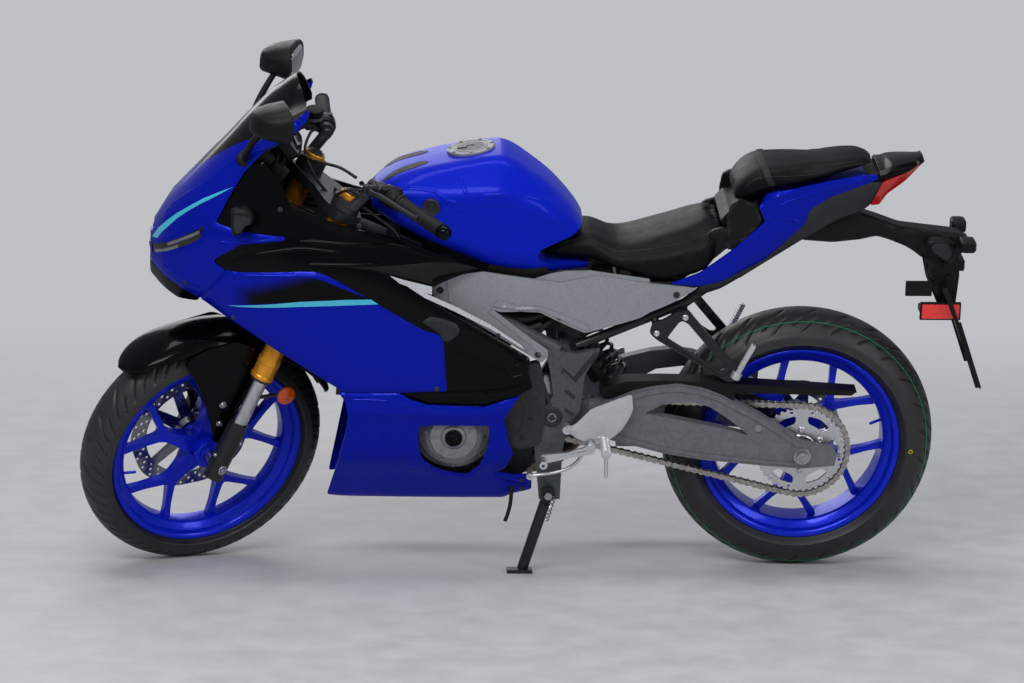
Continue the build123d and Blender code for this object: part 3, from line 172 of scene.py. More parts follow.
def fill(outline, holes=(), step=18.0, dense=None, rim=0.0):
    """Triangles over an outline with holes, with a grid of inner points: points and faces in 2D."""
    dense = dense or step
    verts, edges = [], []
    for loop in [outline] + list(holes):
        pts = []
        for a, b in zip(loop, loop[1:] + loop[:1]):
            a, b = Vector(a[:2]), Vector(b[:2])
            parts = max(1, math.ceil((b - a).length / dense))
            pts += [a.lerp(b, k / parts) for k in range(parts)]
        first = len(verts)
        verts += pts
        edges += [(first + k, first + (k + 1) % len(pts)) for k in range(len(pts))]
    if rim:
        border = verts[:]
        for (i, j) in edges:
            a, b = border[i], border[j]
            along = (b - a).normalized() * rim
            for side in (-1, 1):
                q = (a + b) / 2 + Vector((-along.y, along.x)) * side
                if inside(outline, q.x, q.y) and not any(inside(h, q.x, q.y) for h in holes):
                    if all((q - v).length_squared > (rim * 0.7) ** 2 for v in verts):
                        verts.append(q)
    xs, ys = [p[0] for p in outline], [p[1] for p in outline]
    y = min(ys) + step / 2
    row = 0
    while y < max(ys):
        x = min(xs) + (step / 2 if row % 2 else 0)
        while x < max(xs):
            if inside(outline, x, y) and not any(inside(h, x, y) for h in holes):
                q = Vector((x, y))
                if all((q - v).length_squared > (step * 0.35) ** 2 for v in verts):
                    verts.append(q)
            x += step
        y += step * 0.87
        row += 1
    pts, _, faces, *_ = delaunay_2d_cdt(verts, edges, [], 0, 1e-4)
    keep = []
    for f in faces:
        cx = sum(pts[k].x for k in f) / 3
        cy = sum(pts[k].y for k in f) / 3
        if inside(outline, cx, cy) and not any(inside(h, cx, cy) for h in holes):
            keep.append(list(f))
    return pts, keep


def mirror_y(bm):
    """The same again on the bike's other side."""
    copied = bmesh.ops.duplicate(bm, geom=bm.verts[:] + bm.edges[:] + bm.faces[:])["geom"]
    for v in copied:
        if isinstance(v, bmesh.types.BMVert):
            v.co.y = -v.co.y
    bmesh.ops.reverse_faces(bm, faces=[f for f in copied if isinstance(f, bmesh.types.BMFace)])


def frame_at(point, direction):
    """Matrix whose z runs along a direction, at a point."""
    z = Vector(direction).normalized()
    up = Vector((1, 0, 0)) if abs(z.z) > 0.99 else Vector((0, 0, 1))
    x = up.cross(z).normalized()
    m = Matrix((x, z.cross(x), z)).transposed().to_4x4()
    m.translation = Vector(point)
    return m


def lathe(bm, profile, origin=(0, 0, 0), axis=(0, 1, 0), segments=48, closed=True):
    """A profile of (radius, height) revolved about an axis, each ring's first point up or ahead.
    A profile that isn't closed starts and ends at CORE, which is next to nothing."""
    m = frame_at(origin, axis)
    rings = []
    for k in range(segments):
        a = math.radians(360 * (k / segments))
        c, s = math.cos(a), math.sin(a)
        rings.append([bm.verts.new(m @ Vector((r * s, r * c, h))) for r, h in profile])
    n = len(profile)
    for k in range(segments):
        a, b = rings[k], rings[(k + 1) % segments]
        for i in range(n if closed else n - 1):
            j = (i + 1) % n
            bm.faces.new((a[i], b[i], b[j], a[j]))
    return rings


def bar(bm, a, b, radius, radius_b=None, segments=16, cap=0.0):
    """A round bar, its ends flat or eased by cap."""
    a, b = Vector(a), Vector(b)
    length = (b - a).length
    rb = radius if radius_b is None else radius_b
    profile = [(CORE, 0), (radius - cap, 0), (radius, cap), (rb, length - cap), (rb - cap, length),
               (CORE, length)]
    if cap == 0:
        profile = [(CORE, 0), (radius, 0), (rb, length), (CORE, length)]
    lathe(bm, profile, a, b - a, segments, closed=False)


def curve_points(points, count):
    """Evenly spread points on a smooth curve through the given ones."""
    pts = [Vector(p) for p in points]
    dist = [0.0]
    for a, b in zip(pts, pts[1:]):
        dist.append(dist[-1] + (b - a).length)
    out = []
    for k in range(count):
        t = dist[-1] * k / (count - 1)
        i = min(bisect.bisect_right(dist, t), len(pts) - 1) - 1
        i = max(i, 0)
        u = (t - dist[i]) / max(dist[i + 1] - dist[i], 1e-6)
        p0 = pts[i - 1] if i > 0 else pts[i] * 2 - pts[i + 1]
        p3 = pts[i + 2] if i + 2 < len(pts) else pts[i + 1] * 2 - pts[i]
        p1, p2 = pts[i], pts[i + 1]
        out.append(0.5 * ((2 * p1) + (p2 - p0) * u + (2 * p0 - 5 * p1 + 4 * p2 - p3) * u * u
                          + (3 * p1 - p0 - 3 * p2 + p3) * u ** 3))
    return out


def tube(bm, points, radius, segments=10, count=None, flat=1.0):
    """A tube along a smooth curve; radius may be a function of the share along it."""
    path = curve_points(points, count or max(8, 6 * len(points)))
    rings = []
    up = Vector((0.13, 0.31, 1)).normalized()
    for i, p in enumerate(path):
        d = (path[min(i + 1, len(path) - 1)] - path[max(i - 1, 0)]).normalized()
        x = (up - d * up.dot(d)).normalized()
        up = x
        y = d.cross(x)
        r = radius(i / (len(path) - 1)) if callable(radius) else radius
        turns = [2 * math.pi * k / segments for k in range(segments)]
        rings.append([p + x * (r * math.cos(a)) + y * (r * flat * math.sin(a)) for a in turns])
    loft(bm, rings)


def slab(bm, outline, y_from, y_to, holes=(), step=60.0, round_by=0.0):
    """A side-view outline of (x, z), as a plate between two planes of y."""
    if round_by:
        outline = rounded(outline, round_by)
        holes = [rounded(h, round_by * 0.8) for h in holes]
    pts, faces = fill(outline, holes, step)
    solid_between(bm, [Vector((p.x, y_from, p.y)) for p in pts], [Vector((p.x, y_to, p.y)) for p in pts],
                  faces)


def solid_between(bm, low, high, faces):
    """Two matching sheets of triangles joined round their open edges."""
    a, b = [bm.verts.new(v) for v in low], [bm.verts.new(v) for v in high]
    count = {}
    for f in faces:
        bm.faces.new([a[k] for k in f])
        bm.faces.new([b[k] for k in reversed(f)])
        for i, j in zip(f, f[1:] + f[:1]):
            count[(i, j)] = count.get((i, j), 0) + 1
    for (i, j) in list(count):
        if (j, i) not in count:
            bm.faces.new((a[j], a[i], b[i], b[j]))
    loose = [v for v in a + b if not v.link_faces]
    bmesh.ops.delete(bm, geom=loose, context="VERTS")


def loft(bm, rings, closed_ends=True):
    """Rings of the same number of points, joined in order."""
    made = [[bm.verts.new(p) for p in ring] for ring in rings]
    n = len(rings[0])
    for a, b in zip(made, made[1:]):
        for k in range(n):
            j = (k + 1) % n
            bm.faces.new((a[k], a[j], b[j], b[k]))
    if closed_ends:
        bm.faces.new(list(reversed(made[0])))
        bm.faces.new(made[-1])


def scaled_loft(bm, outline, middle, steps):
    """An outline of (x, z) carried along y, scaled about its middle: steps of (y, share)."""
    mx, mz = middle
    loft(bm, [[Vector((mx + (x - mx) * s, y, mz + (z - mz) * s)) for x, z in outline]
              for y, s in steps])


def box_at(bm, m, size):
    """A block of a size, centred in a matrix's frame."""
    made = bmesh.ops.create_cube(bm, size=1.0)["verts"]
    for v in made:
        v.co = m @ Vector((v.co.x * size[0], v.co.y * size[1], v.co.z * size[2]))


def block(bm, x, y, z):
    """A block between two values of each of x, y and z."""
    box_at(bm, Matrix.Translation(((x[0] + x[1]) / 2, (y[0] + y[1]) / 2, (z[0] + z[1]) / 2)),
           (x[1] - x[0], y[1] - y[0], z[1] - z[0]))


def hex_bolt(bm, point, direction, size=7.0, height=5.0):
    """Flanged bolt head with a hollow."""
    lathe(bm, [(CORE, height * 0.55), (size * 0.42, height * 0.55), (size * 0.48, height),
               (size * 0.8, height), (size * 0.88, height * 0.8), (size * 0.88, height * 0.3),
               (size * 1.15, height * 0.2), (size * 1.15, 0)], point, direction, 12, closed=False)


def place(name, bm, body, material, replaces=(), bevel=0.0, sharp=38.0, segments=2):
    """Turns drawn geometry into a piece of the bike, riding on a body."""
    bmesh.ops.recalc_face_normals(bm, faces=bm.faces[:])
    limit = math.radians(sharp)
    for f in bm.faces:
        f.smooth = True
    if not bevel:
        for e in bm.edges:
            if len(e.link_faces) == 2 and e.calc_face_angle(0) > limit:
                e.smooth = False
    mesh = bpy.data.meshes.new(name)
    bm.to_mesh(mesh)
    bm.free()
    mesh.transform(PARK @ STEER if body in STEERED else PARK)
    mesh.materials.append(material)
    obj = bpy.data.objects.new(name, mesh)
    bpy.context.collection.objects.link(obj)
    if bevel:
        mod = obj.modifiers.new("edges", "BEVEL")
        mod.width = bevel * MM
        mod.segments = segments
        mod.limit_method = "ANGLE"
        mod.angle_limit = limit
        mod = obj.modifiers.new("normals", "WEIGHTED_NORMAL")
        mod.keep_sharp = True
    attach(obj, body)
    if replaces:
        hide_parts(*replaces)
    return obj


# ---- materials ----------------------------------------------------------------------------------
def rgb(code):
    """Linear colour from a written sRGB one."""
    parts = [int(code[i:i + 2], 16) / 255 for i in (0, 2, 4)]
    return tuple(p / 12.92 if p <= 0.04045 else ((p + 0.055) / 1.055) ** 2.4 for p in parts) + (1.0,)


def shader(name, light, dark, rough=(0.3, 0.45), metal=0.0, scale=14.0, detail=5.0, bump=0.0,
           bump_scale=900.0, bump_kind="noise", bump_dist=0.0004, stretch=None, spread=(0.35, 0.65),
           **sockets):
    """Two tones and two roughnesses led by one noise, with a finer grain as relief."""
    mat = bpy.data.materials.new(name)
    mat.use_nodes = True
    nodes, links = mat.node_tree.nodes, mat.node_tree.links
    bsdf = nodes["Principled BSDF"]
    bsdf.inputs["Metallic"].default_value = metal
    for key, value in sockets.items():
        bsdf.inputs[key.replace("_", " ")].default_value = value
    coord = nodes.new("ShaderNodeTexCoord")
    source = coord.outputs["Object"]
    if stretch:
        mapping = nodes.new("ShaderNodeMapping")
        mapping.inputs["Scale"].default_value = stretch
        links.new(source, mapping.inputs["Vector"])
        source = mapping.outputs["Vector"]
    noise = nodes.new("ShaderNodeTexNoise")
    noise.inputs["Scale"].default_value = scale
    noise.inputs["Detail"].default_value = detail
    noise.inputs["Roughness"].default_value = 0.6
    links.new(source, noise.inputs["Vector"])
    ramp = nodes.new("ShaderNodeValToRGB")
    ramp.color_ramp.elements[0].position = spread[0]
    ramp.color_ramp.elements[1].position = spread[1]
    ramp.color_ramp.elements[0].color = rgb(dark)
    ramp.color_ramp.elements[1].color = rgb(light)
    links.new(noise.outputs["Fac"], ramp.inputs["Fac"])
    links.new(ramp.outputs["Color"], bsdf.inputs["Base Color"])
    gloss = nodes.new("ShaderNodeMapRange")
    gloss.inputs["From Min"].default_value = 0.3
    gloss.inputs["From Max"].default_value = 0.7
    gloss.inputs["To Min"].default_value = rough[0]
    gloss.inputs["To Max"].default_value = rough[1]
    links.new(noise.outputs["Fac"], gloss.inputs["Value"])
    links.new(gloss.outputs["Result"], bsdf.inputs["Roughness"])
    if bump:
        if bump_kind == "cells":
            grain = nodes.new("ShaderNodeTexVoronoi")
            grain.feature = "DISTANCE_TO_EDGE"
            out = grain.outputs["Distance"]
        else:
            grain = nodes.new("ShaderNodeTexNoise")
            grain.inputs["Detail"].default_value = 3.0
            out = grain.outputs["Fac"]
        grain.inputs["Scale"].default_value = bump_scale
        links.new(source, grain.inputs["Vector"])
        relief = nodes.new("ShaderNodeBump")
        relief.inputs["Strength"].default_value = bump
        relief.inputs["Distance"].default_value = bump_dist
        links.new(out, relief.inputs["Height"])
        links.new(relief.outputs["Normal"], bsdf.inputs["Normal"])
    return mat


def body_paint(name):
    """The panels' blue, as a material with a name of its own."""
    return shader(name, "0419AE", "031496", rough=(0.28, 0.36), metal=0.3, scale=420, detail=3,
                  Coat_Weight=0.22, Coat_Roughness=0.05, Coat_IOR=1.34, Specular_IOR_Level=0.06)


BLUE = body_paint("blue_paint")
TANK_BLUE = shader("tank_paint", "0620C2", "051BAC", rough=(0.34, 0.42), metal=0.12, scale=420, detail=3,
                   Coat_Weight=0.16, Coat_Roughness=0.05, Coat_IOR=1.3, Specular_IOR_Level=0.05)
CYAN = shader("cyan_stripe", "3FB9D8", "36A9C8", rough=(0.25, 0.32), scale=380, detail=3, Coat_Weight=0.4,
              Coat_Roughness=0.06)
# Light grey painted highlight: bright streaks of light on the gloss black inner panels, drawn as paint
PAINTED_HIGHLIGHT = shader("painted_highlight_streak", "C9CBD0", "B7BAC1", rough=(0.25, 0.34), metal=0.2, scale=300, detail=3,
               Coat_Weight=0.4, Coat_Roughness=0.06)
BLACK = shader("gloss_black", "050507", "020203", rough=(0.16, 0.24), scale=320, detail=4, Coat_Weight=0.22,
               Coat_Roughness=0.04, Coat_IOR=1.36, Specular_IOR_Level=0.06)
PLASTIC = shader("matt_plastic", "101012", "0A0A0B", rough=(0.42, 0.56), scale=60, bump=0.3, bump_scale=2600,
                 bump_dist=0.0002, Specular_IOR_Level=0.2)
FRAME = shader("frame_paint", "1A1A1D", "101012", rough=(0.32, 0.45), scale=90, bump=0.1, bump_scale=1500,
               bump_dist=0.0002, Specular_IOR_Level=0.4)
CAST = shader("cast_black", "303236", "26282B", rough=(0.36, 0.48), metal=0.4, scale=75, bump=0.25,
              bump_scale=1900, bump_dist=0.0002)
COVER = shader("silver_cover", "95979E", "8A8C93", rough=(0.38, 0.48), metal=0.25, scale=160, bump=0.08,
               bump_scale=3000, bump_dist=0.0001, Specular_IOR_Level=0.4)
WHEEL = shader("wheel_blue", "0824CC", "061EB8", rough=(0.26, 0.34), metal=0.35, scale=90, detail=3,
               Coat_Weight=0.35, Coat_Roughness=0.08, Coat_IOR=1.36, Specular_IOR_Level=0.15,
               spread=(0.2, 0.8))
STEEL = shader("steel", "B4B6B8", "97999C", rough=(0.2, 0.36), metal=1.0, scale=130, bump=0.06,
               bump_scale=2400, bump_dist=0.0001, spread=(0.2, 0.8))
CHAIN = shader("chain_steel", "B9B6B0", "908C85", rough=(0.24, 0.4), metal=0.95, scale=120)
SPROCKET = shader("sprocket_steel", "D3D5D8", "C2C4C8", rough=(0.24, 0.36), metal=0.9, scale=60,
                  spread=(0.2, 0.8))
HEADER = shader("header_steel", "7E7365", "544A40", rough=(0.35, 0.5), metal=0.9, scale=30)
GOLD = shader("gold_anodised", "E9A02C", "DB9122", rough=(0.24, 0.32), metal=0.55, scale=60,
              stretch=(1, 1, 0.2))
CHROME = shader("chrome", "C9CBCE", "AEB0B4", rough=(0.06, 0.14), metal=1.0, scale=60, stretch=(1, 1, 0.2))
ENGINE = shader("engine_grey", "313236", "222327", rough=(0.42, 0.55), metal=0.3, scale=70, bump=0.4,
                bump_scale=1500, bump_dist=0.0003)
ALLOY = shader("alloy", "D6D8DB", "C4C6CA", rough=(0.28, 0.4), metal=0.85, scale=110, bump=0.1,
               bump_scale=1800, bump_dist=0.0002, spread=(0.2, 0.8))
LEATHER = shader("seat_vinyl", "0D0D0F", "070708", rough=(0.42, 0.54), scale=45, bump=0.45, bump_scale=620,
                 bump_kind="cells", bump_dist=0.0004, Specular_IOR_Level=0.12)
RUBBER = shader("rubber", "121214", "0A0A0C", rough=(0.5, 0.65), scale=80, bump=0.3, bump_scale=1300,
                bump_dist=0.0003, Specular_IOR_Level=0.35)
SMOKE = shader("smoke_screen", "101116", "0A0B0E", rough=(0.14, 0.2), scale=12, Transmission_Weight=0.3,
               Specular_IOR_Level=0.06)
RED_LENS = shader("red_lens", "C8141A", "A00C10", rough=(0.1, 0.2), scale=240, bump=0.3, bump_scale=260,
                  bump_kind="cells", bump_dist=0.0006, Coat_Weight=0.5, Coat_Roughness=0.03)
CLEAR_LENS = shader("clear_lens", "6C7278", "565C62", rough=(0.08, 0.15), scale=120, bump=0.3, bump_scale=220,
                    bump_kind="cells", bump_dist=0.0005, Coat_Weight=0.6, Coat_Roughness=0.02)
AMBER = shader("amber_reflector", "E8590C", "C04408", rough=(0.15, 0.25), scale=300, bump=0.5, bump_scale=500,
               bump_kind="cells", bump_dist=0.0005, Coat_Weight=0.5, Coat_Roughness=0.03)
PLATE = shader("plate_white", "E6E4DC", "D3D1C8", rough=(0.38, 0.5), scale=90, bump=0.05, bump_scale=700)
DARK_GLASS = shader("dark_glass", "06070A", "030305", rough=(0.03, 0.08), scale=40, Coat_Weight=0.3,
                    Coat_Roughness=0.02)
MIRROR = shader("mirror_glass", "C4C8CC", "B0B4B8", rough=(0.01, 0.03), metal=1.0, scale=30)
SWINGARM = shader("swingarm_grey", "717379", "64666C", rough=(0.4, 0.52), metal=0.3, scale=80, bump=0.2,
                  bump_scale=2000, bump_dist=0.0002, Specular_IOR_Level=0.3)
CASTING = shader("casting_silver", "84868B", "76787D", rough=(0.36, 0.48), metal=0.35, scale=80, bump=0.25,
                 bump_scale=1900, bump_dist=0.0002, Specular_IOR_Level=0.4)
GREY_PLASTIC = shader("grey_plastic", "54565B", "484A4F", rough=(0.36, 0.48), metal=0.2, scale=90, bump=0.15,
                      bump_scale=2200, bump_dist=0.0002)
DARK_PLASTIC = shader("dark_plastic", "25262A", "1C1D20", rough=(0.38, 0.5), metal=0.15, scale=90, bump=0.15,
                      bump_scale=2200, bump_dist=0.0002, Specular_IOR_Level=0.4)
PIVOT = shader("pivot_grey", "54565A", "484A4E", rough=(0.36, 0.48), metal=0.3, scale=90, bump=0.2,
               bump_scale=1800, bump_dist=0.0002, Specular_IOR_Level=0.35)
SMOKED_AMBER = shader("smoked_amber", "6A2E0C", "542408", rough=(0.1, 0.2), scale=260, bump=0.3,
                      bump_scale=400, bump_kind="cells", bump_dist=0.0005, Coat_Weight=0.5,
                      Coat_Roughness=0.03)
BRIGHT_REFLECTOR = shader("bright_reflector", "F0342A", "DA2620", rough=(0.15, 0.25), scale=300, bump=0.4,
                          bump_scale=420, bump_kind="cells", bump_dist=0.0005, Coat_Weight=0.5,
                          Coat_Roughness=0.03)
GREEN = shader("green_line", "1F9A63", "167A4D", rough=(0.5, 0.6), scale=260)
YELLOW = shader("yellow_mark", "C9A81E", "A98C14", rough=(0.5, 0.6), scale=260)
DISC = shader("disc_steel", "9EA0A3", "84868A", rough=(0.16, 0.3), metal=1.0, scale=90, detail=6)


def tyre_material():
    """Rubber, dusty in patches scattered by noise, with a fine grain as relief."""
    mat = shader("tyre_rubber", "222224", "1A1A1C", rough=(0.42, 0.56), scale=26, bump=0.3, bump_scale=1100,
                 bump_dist=0.0003)
    nodes, links = mat.node_tree.nodes, mat.node_tree.links
    ramp = next(n for n in nodes if n.type == "VALTORGB")
    ramp.color_ramp.elements[0].position = 0.3
    dust = ramp.color_ramp.elements.new(0.8)
    dust.color = rgb("343331")
    return mat


TYRE = tyre_material()


# ---- wheels -------------------------------------------------------------------------------------
RIM_FLANGE = 232.0
SHOULDER, TREAD_STEP = 66, 3.1


def circle(radius, count, centre=(0, 0)):
    """A circle as an outline."""
    turns = [2 * math.pi * k / count for k in range(count)]
    return [(centre[0] + radius * math.cos(a), centre[1] + radius * math.sin(a)) for a in turns]


def ring_points(count, radius, centre, y, start=0.0):
    """Points spread evenly round a centre in the bike's side view, at a y of their own."""
    turns = [2 * math.pi * (k + start) / count for k in range(count)]
    return [Vector((centre[0] + radius * math.cos(a), y, centre[2] + radius * math.sin(a)))
            for a in turns]


def pierced_plate(bm, outline, holes, centre, y, thick, step, dense):
    """A flat plate with holes, its outlines drawn about a wheel's centre."""
    pts, faces = fill(outline, holes, step=step, dense=dense)
    near = [Vector((centre[0] + p.x, y, centre[2] + p.y)) for p in pts]
    solid_between(bm, near, [v + Vector((0, thick, 0)) for v in near], faces)


def tread_depth(along, y, pitch):
    """Curved slash grooves, long ones and short ones, staggered between the two sides. Each kind
    has a start and an end across the tyre, a shift in pitches and half a width."""
    across = abs(y)
    depth = 0.0
    for start, end, shift, width in ((9, 50, 0.0, 3.3), (34, 61, 0.5, 2.7)):
        if not start - 3 < across < end + 3:
            continue
        line = across * 0.95 + 0.006 * across * across
        off = (along - line + (pitch * 0.5 if y > 0 else 0) + shift * pitch) % pitch - pitch / 2
        side = max(0.0, min(1.0, (width - abs(off) / 1.5) / 1.3))
        ends = max(0.0, min(1.0, (across - start + 3) / 4, (end + 3 - across) / 4))
        depth = max(depth, 4.2 * side * ends)
    return depth


def make_tyre(name, body, radius, crown, flange, centre, segments, slashes):
    """A tyre revolved from its tread's arc and its walls, with the grooves pressed in."""
    half = []
    steps = int(crown * math.radians(SHOULDER) / TREAD_STEP)
    for k in range(steps + 1):
        a = math.radians(SHOULDER * k / steps)
        half.append((radius - 0.6 - crown + crown * math.cos(a), crown * math.sin(a)))
    side = half[-1]
    low = radius - crown + crown * 0.1
    half += [(side[0] - 1.6, side[1] + 1.4), (lerp(side[0], low, 0.5), crown * 0.968), (low, crown * 0.972),
             (low - 2.2, crown * 0.985), (low - 4.2, crown * 0.965),
             (lerp(low, RIM_FLANGE, 0.62), flange + 5), (RIM_FLANGE + 4, flange + 1.5),
             (RIM_FLANGE + 0.4, flange - 2), (RIM_FLANGE - 3, flange - 6)]
    outer = [(r, -y) for r, y in reversed(half[1:])] + half
    inner = [(RIM_FLANGE - 3, flange - 13), (low, crown * 0.86), (radius - 12, crown * 0.5),
             (radius - 12, -crown * 0.5), (low, -crown * 0.86), (RIM_FLANGE - 3, -flange + 13)]
    bm = bmesh.new()
    length = 2 * math.pi * radius
    rings = lathe(bm, outer + inner, centre, segments=segments)
    for k, ring in enumerate(rings):
        for i, v in enumerate(ring[:len(outer)]):
            y = outer[i][1]
            if abs(y) < crown * 0.92 and outer[i][0] > side[0] - 1:
                cut = tread_depth(k / segments * length, y, length / slashes)
                if cut:
                    flat = Vector((v.co.x - centre.x, 0, v.co.z - centre.z))
                    v.co -= flat.normalized() * cut * math.cos(math.asin(min(0.99, abs(y) / crown)))
                    v.co.y -= math.copysign(cut * abs(y) / crown * 0.8, y)
    place(name, bm, body, TYRE, [body.replace("_wheel", "_tyre")], sharp=50)


make_tyre("front_tyre_tread", "front_wheel", FRONT_R, 56.0, 41.0, FRONT_AXLE, 560, 28)
make_tyre("rear_tyre_tread", "rear_wheel", REAR_R, 72.0, 57.0, REAR_AXLE, 600, 26)

SPOKES = 5
spoke_half = [(28, -25), (48, -20), (70, -14.5), (98, -13), (112, -17), (150, -46), (183, -76), (196, -62),
              (162, -37), (128, -8)]
spoke_outline = rounded(spoke_half + [(122, 0)] + [(x, -y) for x, y in reversed(spoke_half)], 9, 3)


def make_rim(name, body, flange, centre, hub_half, hub_r, replaced, turned, stem):
    """Barrel, hub, forked spokes and valve stem; turned and stem are angles of the first spoke and
    of the stem."""
    bm = bmesh.new()
    f = flange
    barrel = [(RIM_FLANGE, f), (RIM_FLANGE, f - 4), (RIM_FLANGE - 4.6, f - 5.5), (RIM_FLANGE - 5, f - 15),
              (206, f - 22), (206, -f + 22), (RIM_FLANGE - 5, -f + 15), (RIM_FLANGE - 4.6, -f + 5.5),
              (RIM_FLANGE, -f + 4), (RIM_FLANGE, -f), (RIM_FLANGE - 2, -f - 1.4), (RIM_FLANGE - 6, -f - 1.2),
              (221, -f + 1), (217, -f + 5), (214, -f + 12), (200, -f + 20), (196, -f + 26), (196, f - 26),
              (200, f - 20), (214, f - 12), (217, f - 5), (221, f - 1), (RIM_FLANGE - 6, f + 1.2),
              (RIM_FLANGE - 2, f + 1.4)]
    lathe(bm, barrel, centre, segments=120)
    h = hub_half
    hub = [(9.2, -h), (18, -h), (20, -h + 2), (hub_r - 5, -h + 2), (hub_r, -h + 5), (hub_r, -h + 14),
           (hub_r - 6, -h + 20), (hub_r - 4, -14), (hub_r + 7, -8), (hub_r + 7, 8), (hub_r - 4, 14),
           (hub_r - 6, h - 20), (hub_r, h - 14), (hub_r, h - 5), (hub_r - 5, h - 2), (20, h - 2), (18, h),
           (9.2, h)]
    lathe(bm, hub, centre, segments=64)
    pts, faces = fill(spoke_outline, step=16)
    for k in range(SPOKES):
        a = 2 * math.pi * k / SPOKES + math.radians(turned)
        sheets = []
        for sign in (-1, 1):
            sheet = []
            for p in pts:
                half = lerp(18, 7.5, min(1, max(0, (p.x - 40) / 120)))
                edge = min(1.0, max(0.0, abs(p.y) / 12)) if p.x < 110 else 0.8
                x, z = p.x * math.cos(a) - p.y * math.sin(a), p.x * math.sin(a) + p.y * math.cos(a)
                sheet.append(Vector((centre[0] + x, sign * (half + 1.5 * edge), centre[2] + z)))
            sheets.append(sheet)
        solid_between(bm, sheets[0], sheets[1], faces)
    va = math.radians(stem)
    bar(bm, (centre[0] + 198 * math.cos(va), -10, centre[2] + 198 * math.sin(va)),
        (centre[0] + 170 * math.cos(va), -22, centre[2] + 170 * math.sin(va)), 3.4, cap=0.8)
    place(name, bm, body, WHEEL, [replaced], bevel=2.2, sharp=34)


make_rim("front_wheel_casting", "front_wheel", 41.0, FRONT_AXLE, 52.0, 34.0, "front_rim", 8, 188)
make_rim("rear_wheel_casting", "rear_wheel", 57.0, REAR_AXLE, 66.0, 44.0, "rear_rim", 47, 13)


def make_disc(name, body, centre, outer, inner, y, hub_r, hub_face, replaced, rows):
    """Drilled ring, and a dished carrier with arms held by round bobbins."""
    bm = bmesh.new()
    holes = [circle(inner, 72)]
    for share, count, turn in rows:
        r = lerp(inner, outer, share)
        for k in range(count):
            a = 2 * math.pi * (k + turn) / count
            holes.append(circle(3.6, 10, (r * math.cos(a), r * math.sin(a))))
    wavy = []
    for k in range(120):
        a = 2 * math.pi * k / 120
        r = outer - 1.8 * (1 - math.cos(20 * math.pi * k / 120))
        wavy.append((r * math.cos(a), r * math.sin(a)))
    pierced_plate(bm, wavy, holes, centre, y, 4.5, 14, 12)
    arms = []
    for k in range(10):
        a = 2 * math.pi * k / 10
        for r, da in ((hub_r + 14, -0.3), (inner + 5, -0.1), (inner + 5, 0.1), (hub_r + 14, 0.3)):
            arms.append((r * math.cos(a + da), r * math.sin(a + da)))
    pierced_plate(bm, rounded(arms, 6), [circle(hub_r - 6, 40)], centre, y + 1, 4.2, 20, 20)
    for p in ring_points(10, inner + 1, centre, y + 1):
        lathe(bm, [(2.5, -1.5), (7, -1.5), (7, 6), (4, 6.4), (2.5, 6.4)], p, segments=16)
    lathe(bm, [(14, hub_face + 0.5), (hub_r, hub_face + 0.5), (hub_r + 10, y), (hub_r + 16, y + 1),
               (hub_r + 16, y + 4), (hub_r, y + 4.5), (14, hub_face + 6)], centre, segments=48)
    for p in ring_points(5, hub_r - 8, centre, y + 4.2, 0.5):
        hex_bolt(bm, p, (0, 1, 0), 6, 4)
    place(name, bm, body, DISC, [replaced], sharp=30)


make_disc("front_brake_disc", "front_wheel", FRONT_AXLE, 149.0, 112.0, 62.0, 34.0, 52.0, "front_disc",
          ((0.22, 30, 0.0), (0.5, 30, 0.34), (0.78, 30, 0.68)))
make_disc("rear_brake_disc", "rear_wheel", REAR_AXLE, 110.0, 78.0, 76.0, 44.0, 66.0, "rear_disc",
          ((0.27, 24, 0.0), (0.72, 24, 0.5)))

# ---- chain drive --------------------------------------------------------------------------------
PITCH, CHAIN_Y = 15.875, -90.0
SMALL = Vector((-650, 0, 405))
REAR_TEETH, FRONT_TEETH = 43, 14
REAR_PR, FRONT_PR = (PITCH / 2 / math.sin(math.pi / teeth) for teeth in (REAR_TEETH, FRONT_TEETH))
SPROCKET_HALF = 2.9
LINK_R, LINK_WAIST = 6.9, 4.9


def sprocket_line(teeth):
    """Outline of a sprocket, each tooth with its eased tip and the hollow behind it."""
    tip = PITCH / 2 / math.sin(math.pi / teeth) - 5.08 - 0.8
    out = []
    for tooth in range(teeth):
        for r, share in ((tip - 1.2, -0.24), (tip, -0.1), (tip, 0.1), (tip - 1.2, 0.24), (tip - 4.3, 0.4),
                         (tip - 5, 0.5), (tip - 4.3, 0.6)):
            a = 2 * math.pi * (tooth + share) / teeth
            out.append((r * math.cos(a), r * math.sin(a)))
    return out


bm = bmesh.new()
slots = []
for k in range(6):
    a = 2 * math.pi * k / 6
    slots.append(rounded([(r * math.cos(a + da), r * math.sin(a + da))
                          for r, da in ((66, -0.3), (84, -0.36), (86, 0), (84, 0.36), (66, 0.3), (64, 0))],
                         7))
for k in range(12):
    a = 2 * math.pi * (k + 0.5) / 12
    slots.append(circle(3.4, 10, (93 * math.cos(a), 93 * math.sin(a))))
pierced_plate(bm, sprocket_line(REAR_TEETH), slots + [circle(40, 48)], REAR_AXLE, CHAIN_Y - SPROCKET_HALF,
              2 * SPROCKET_HALF, 16, 14)
lathe(bm, [(17, -66.5), (43, -66.5), (60, -84), (62, -87.2), (40, -87.2), (34, -92.6), (17, -84)], REAR_AXLE,
      segments=48)
for p in ring_points(6, 50, REAR_AXLE, CHAIN_Y - SPROCKET_HALF, 0.5):
    hex_bolt(bm, p, (0, -1, 0), 7, 5)
place("rear_sprocket_teeth", bm, "rear_wheel", SPROCKET, ["rear_sprocket"], bevel=0.5, sharp=40,
      segments=1)

slope = math.atan2(REAR_R - SMALL.z, -SMALL.x)
lift = math.asin((REAR_PR - FRONT_PR) / math.hypot(SMALL.x, REAR_R - SMALL.z))
turn_up, turn_down = slope + math.pi / 2 + lift, slope - math.pi / 2 - lift


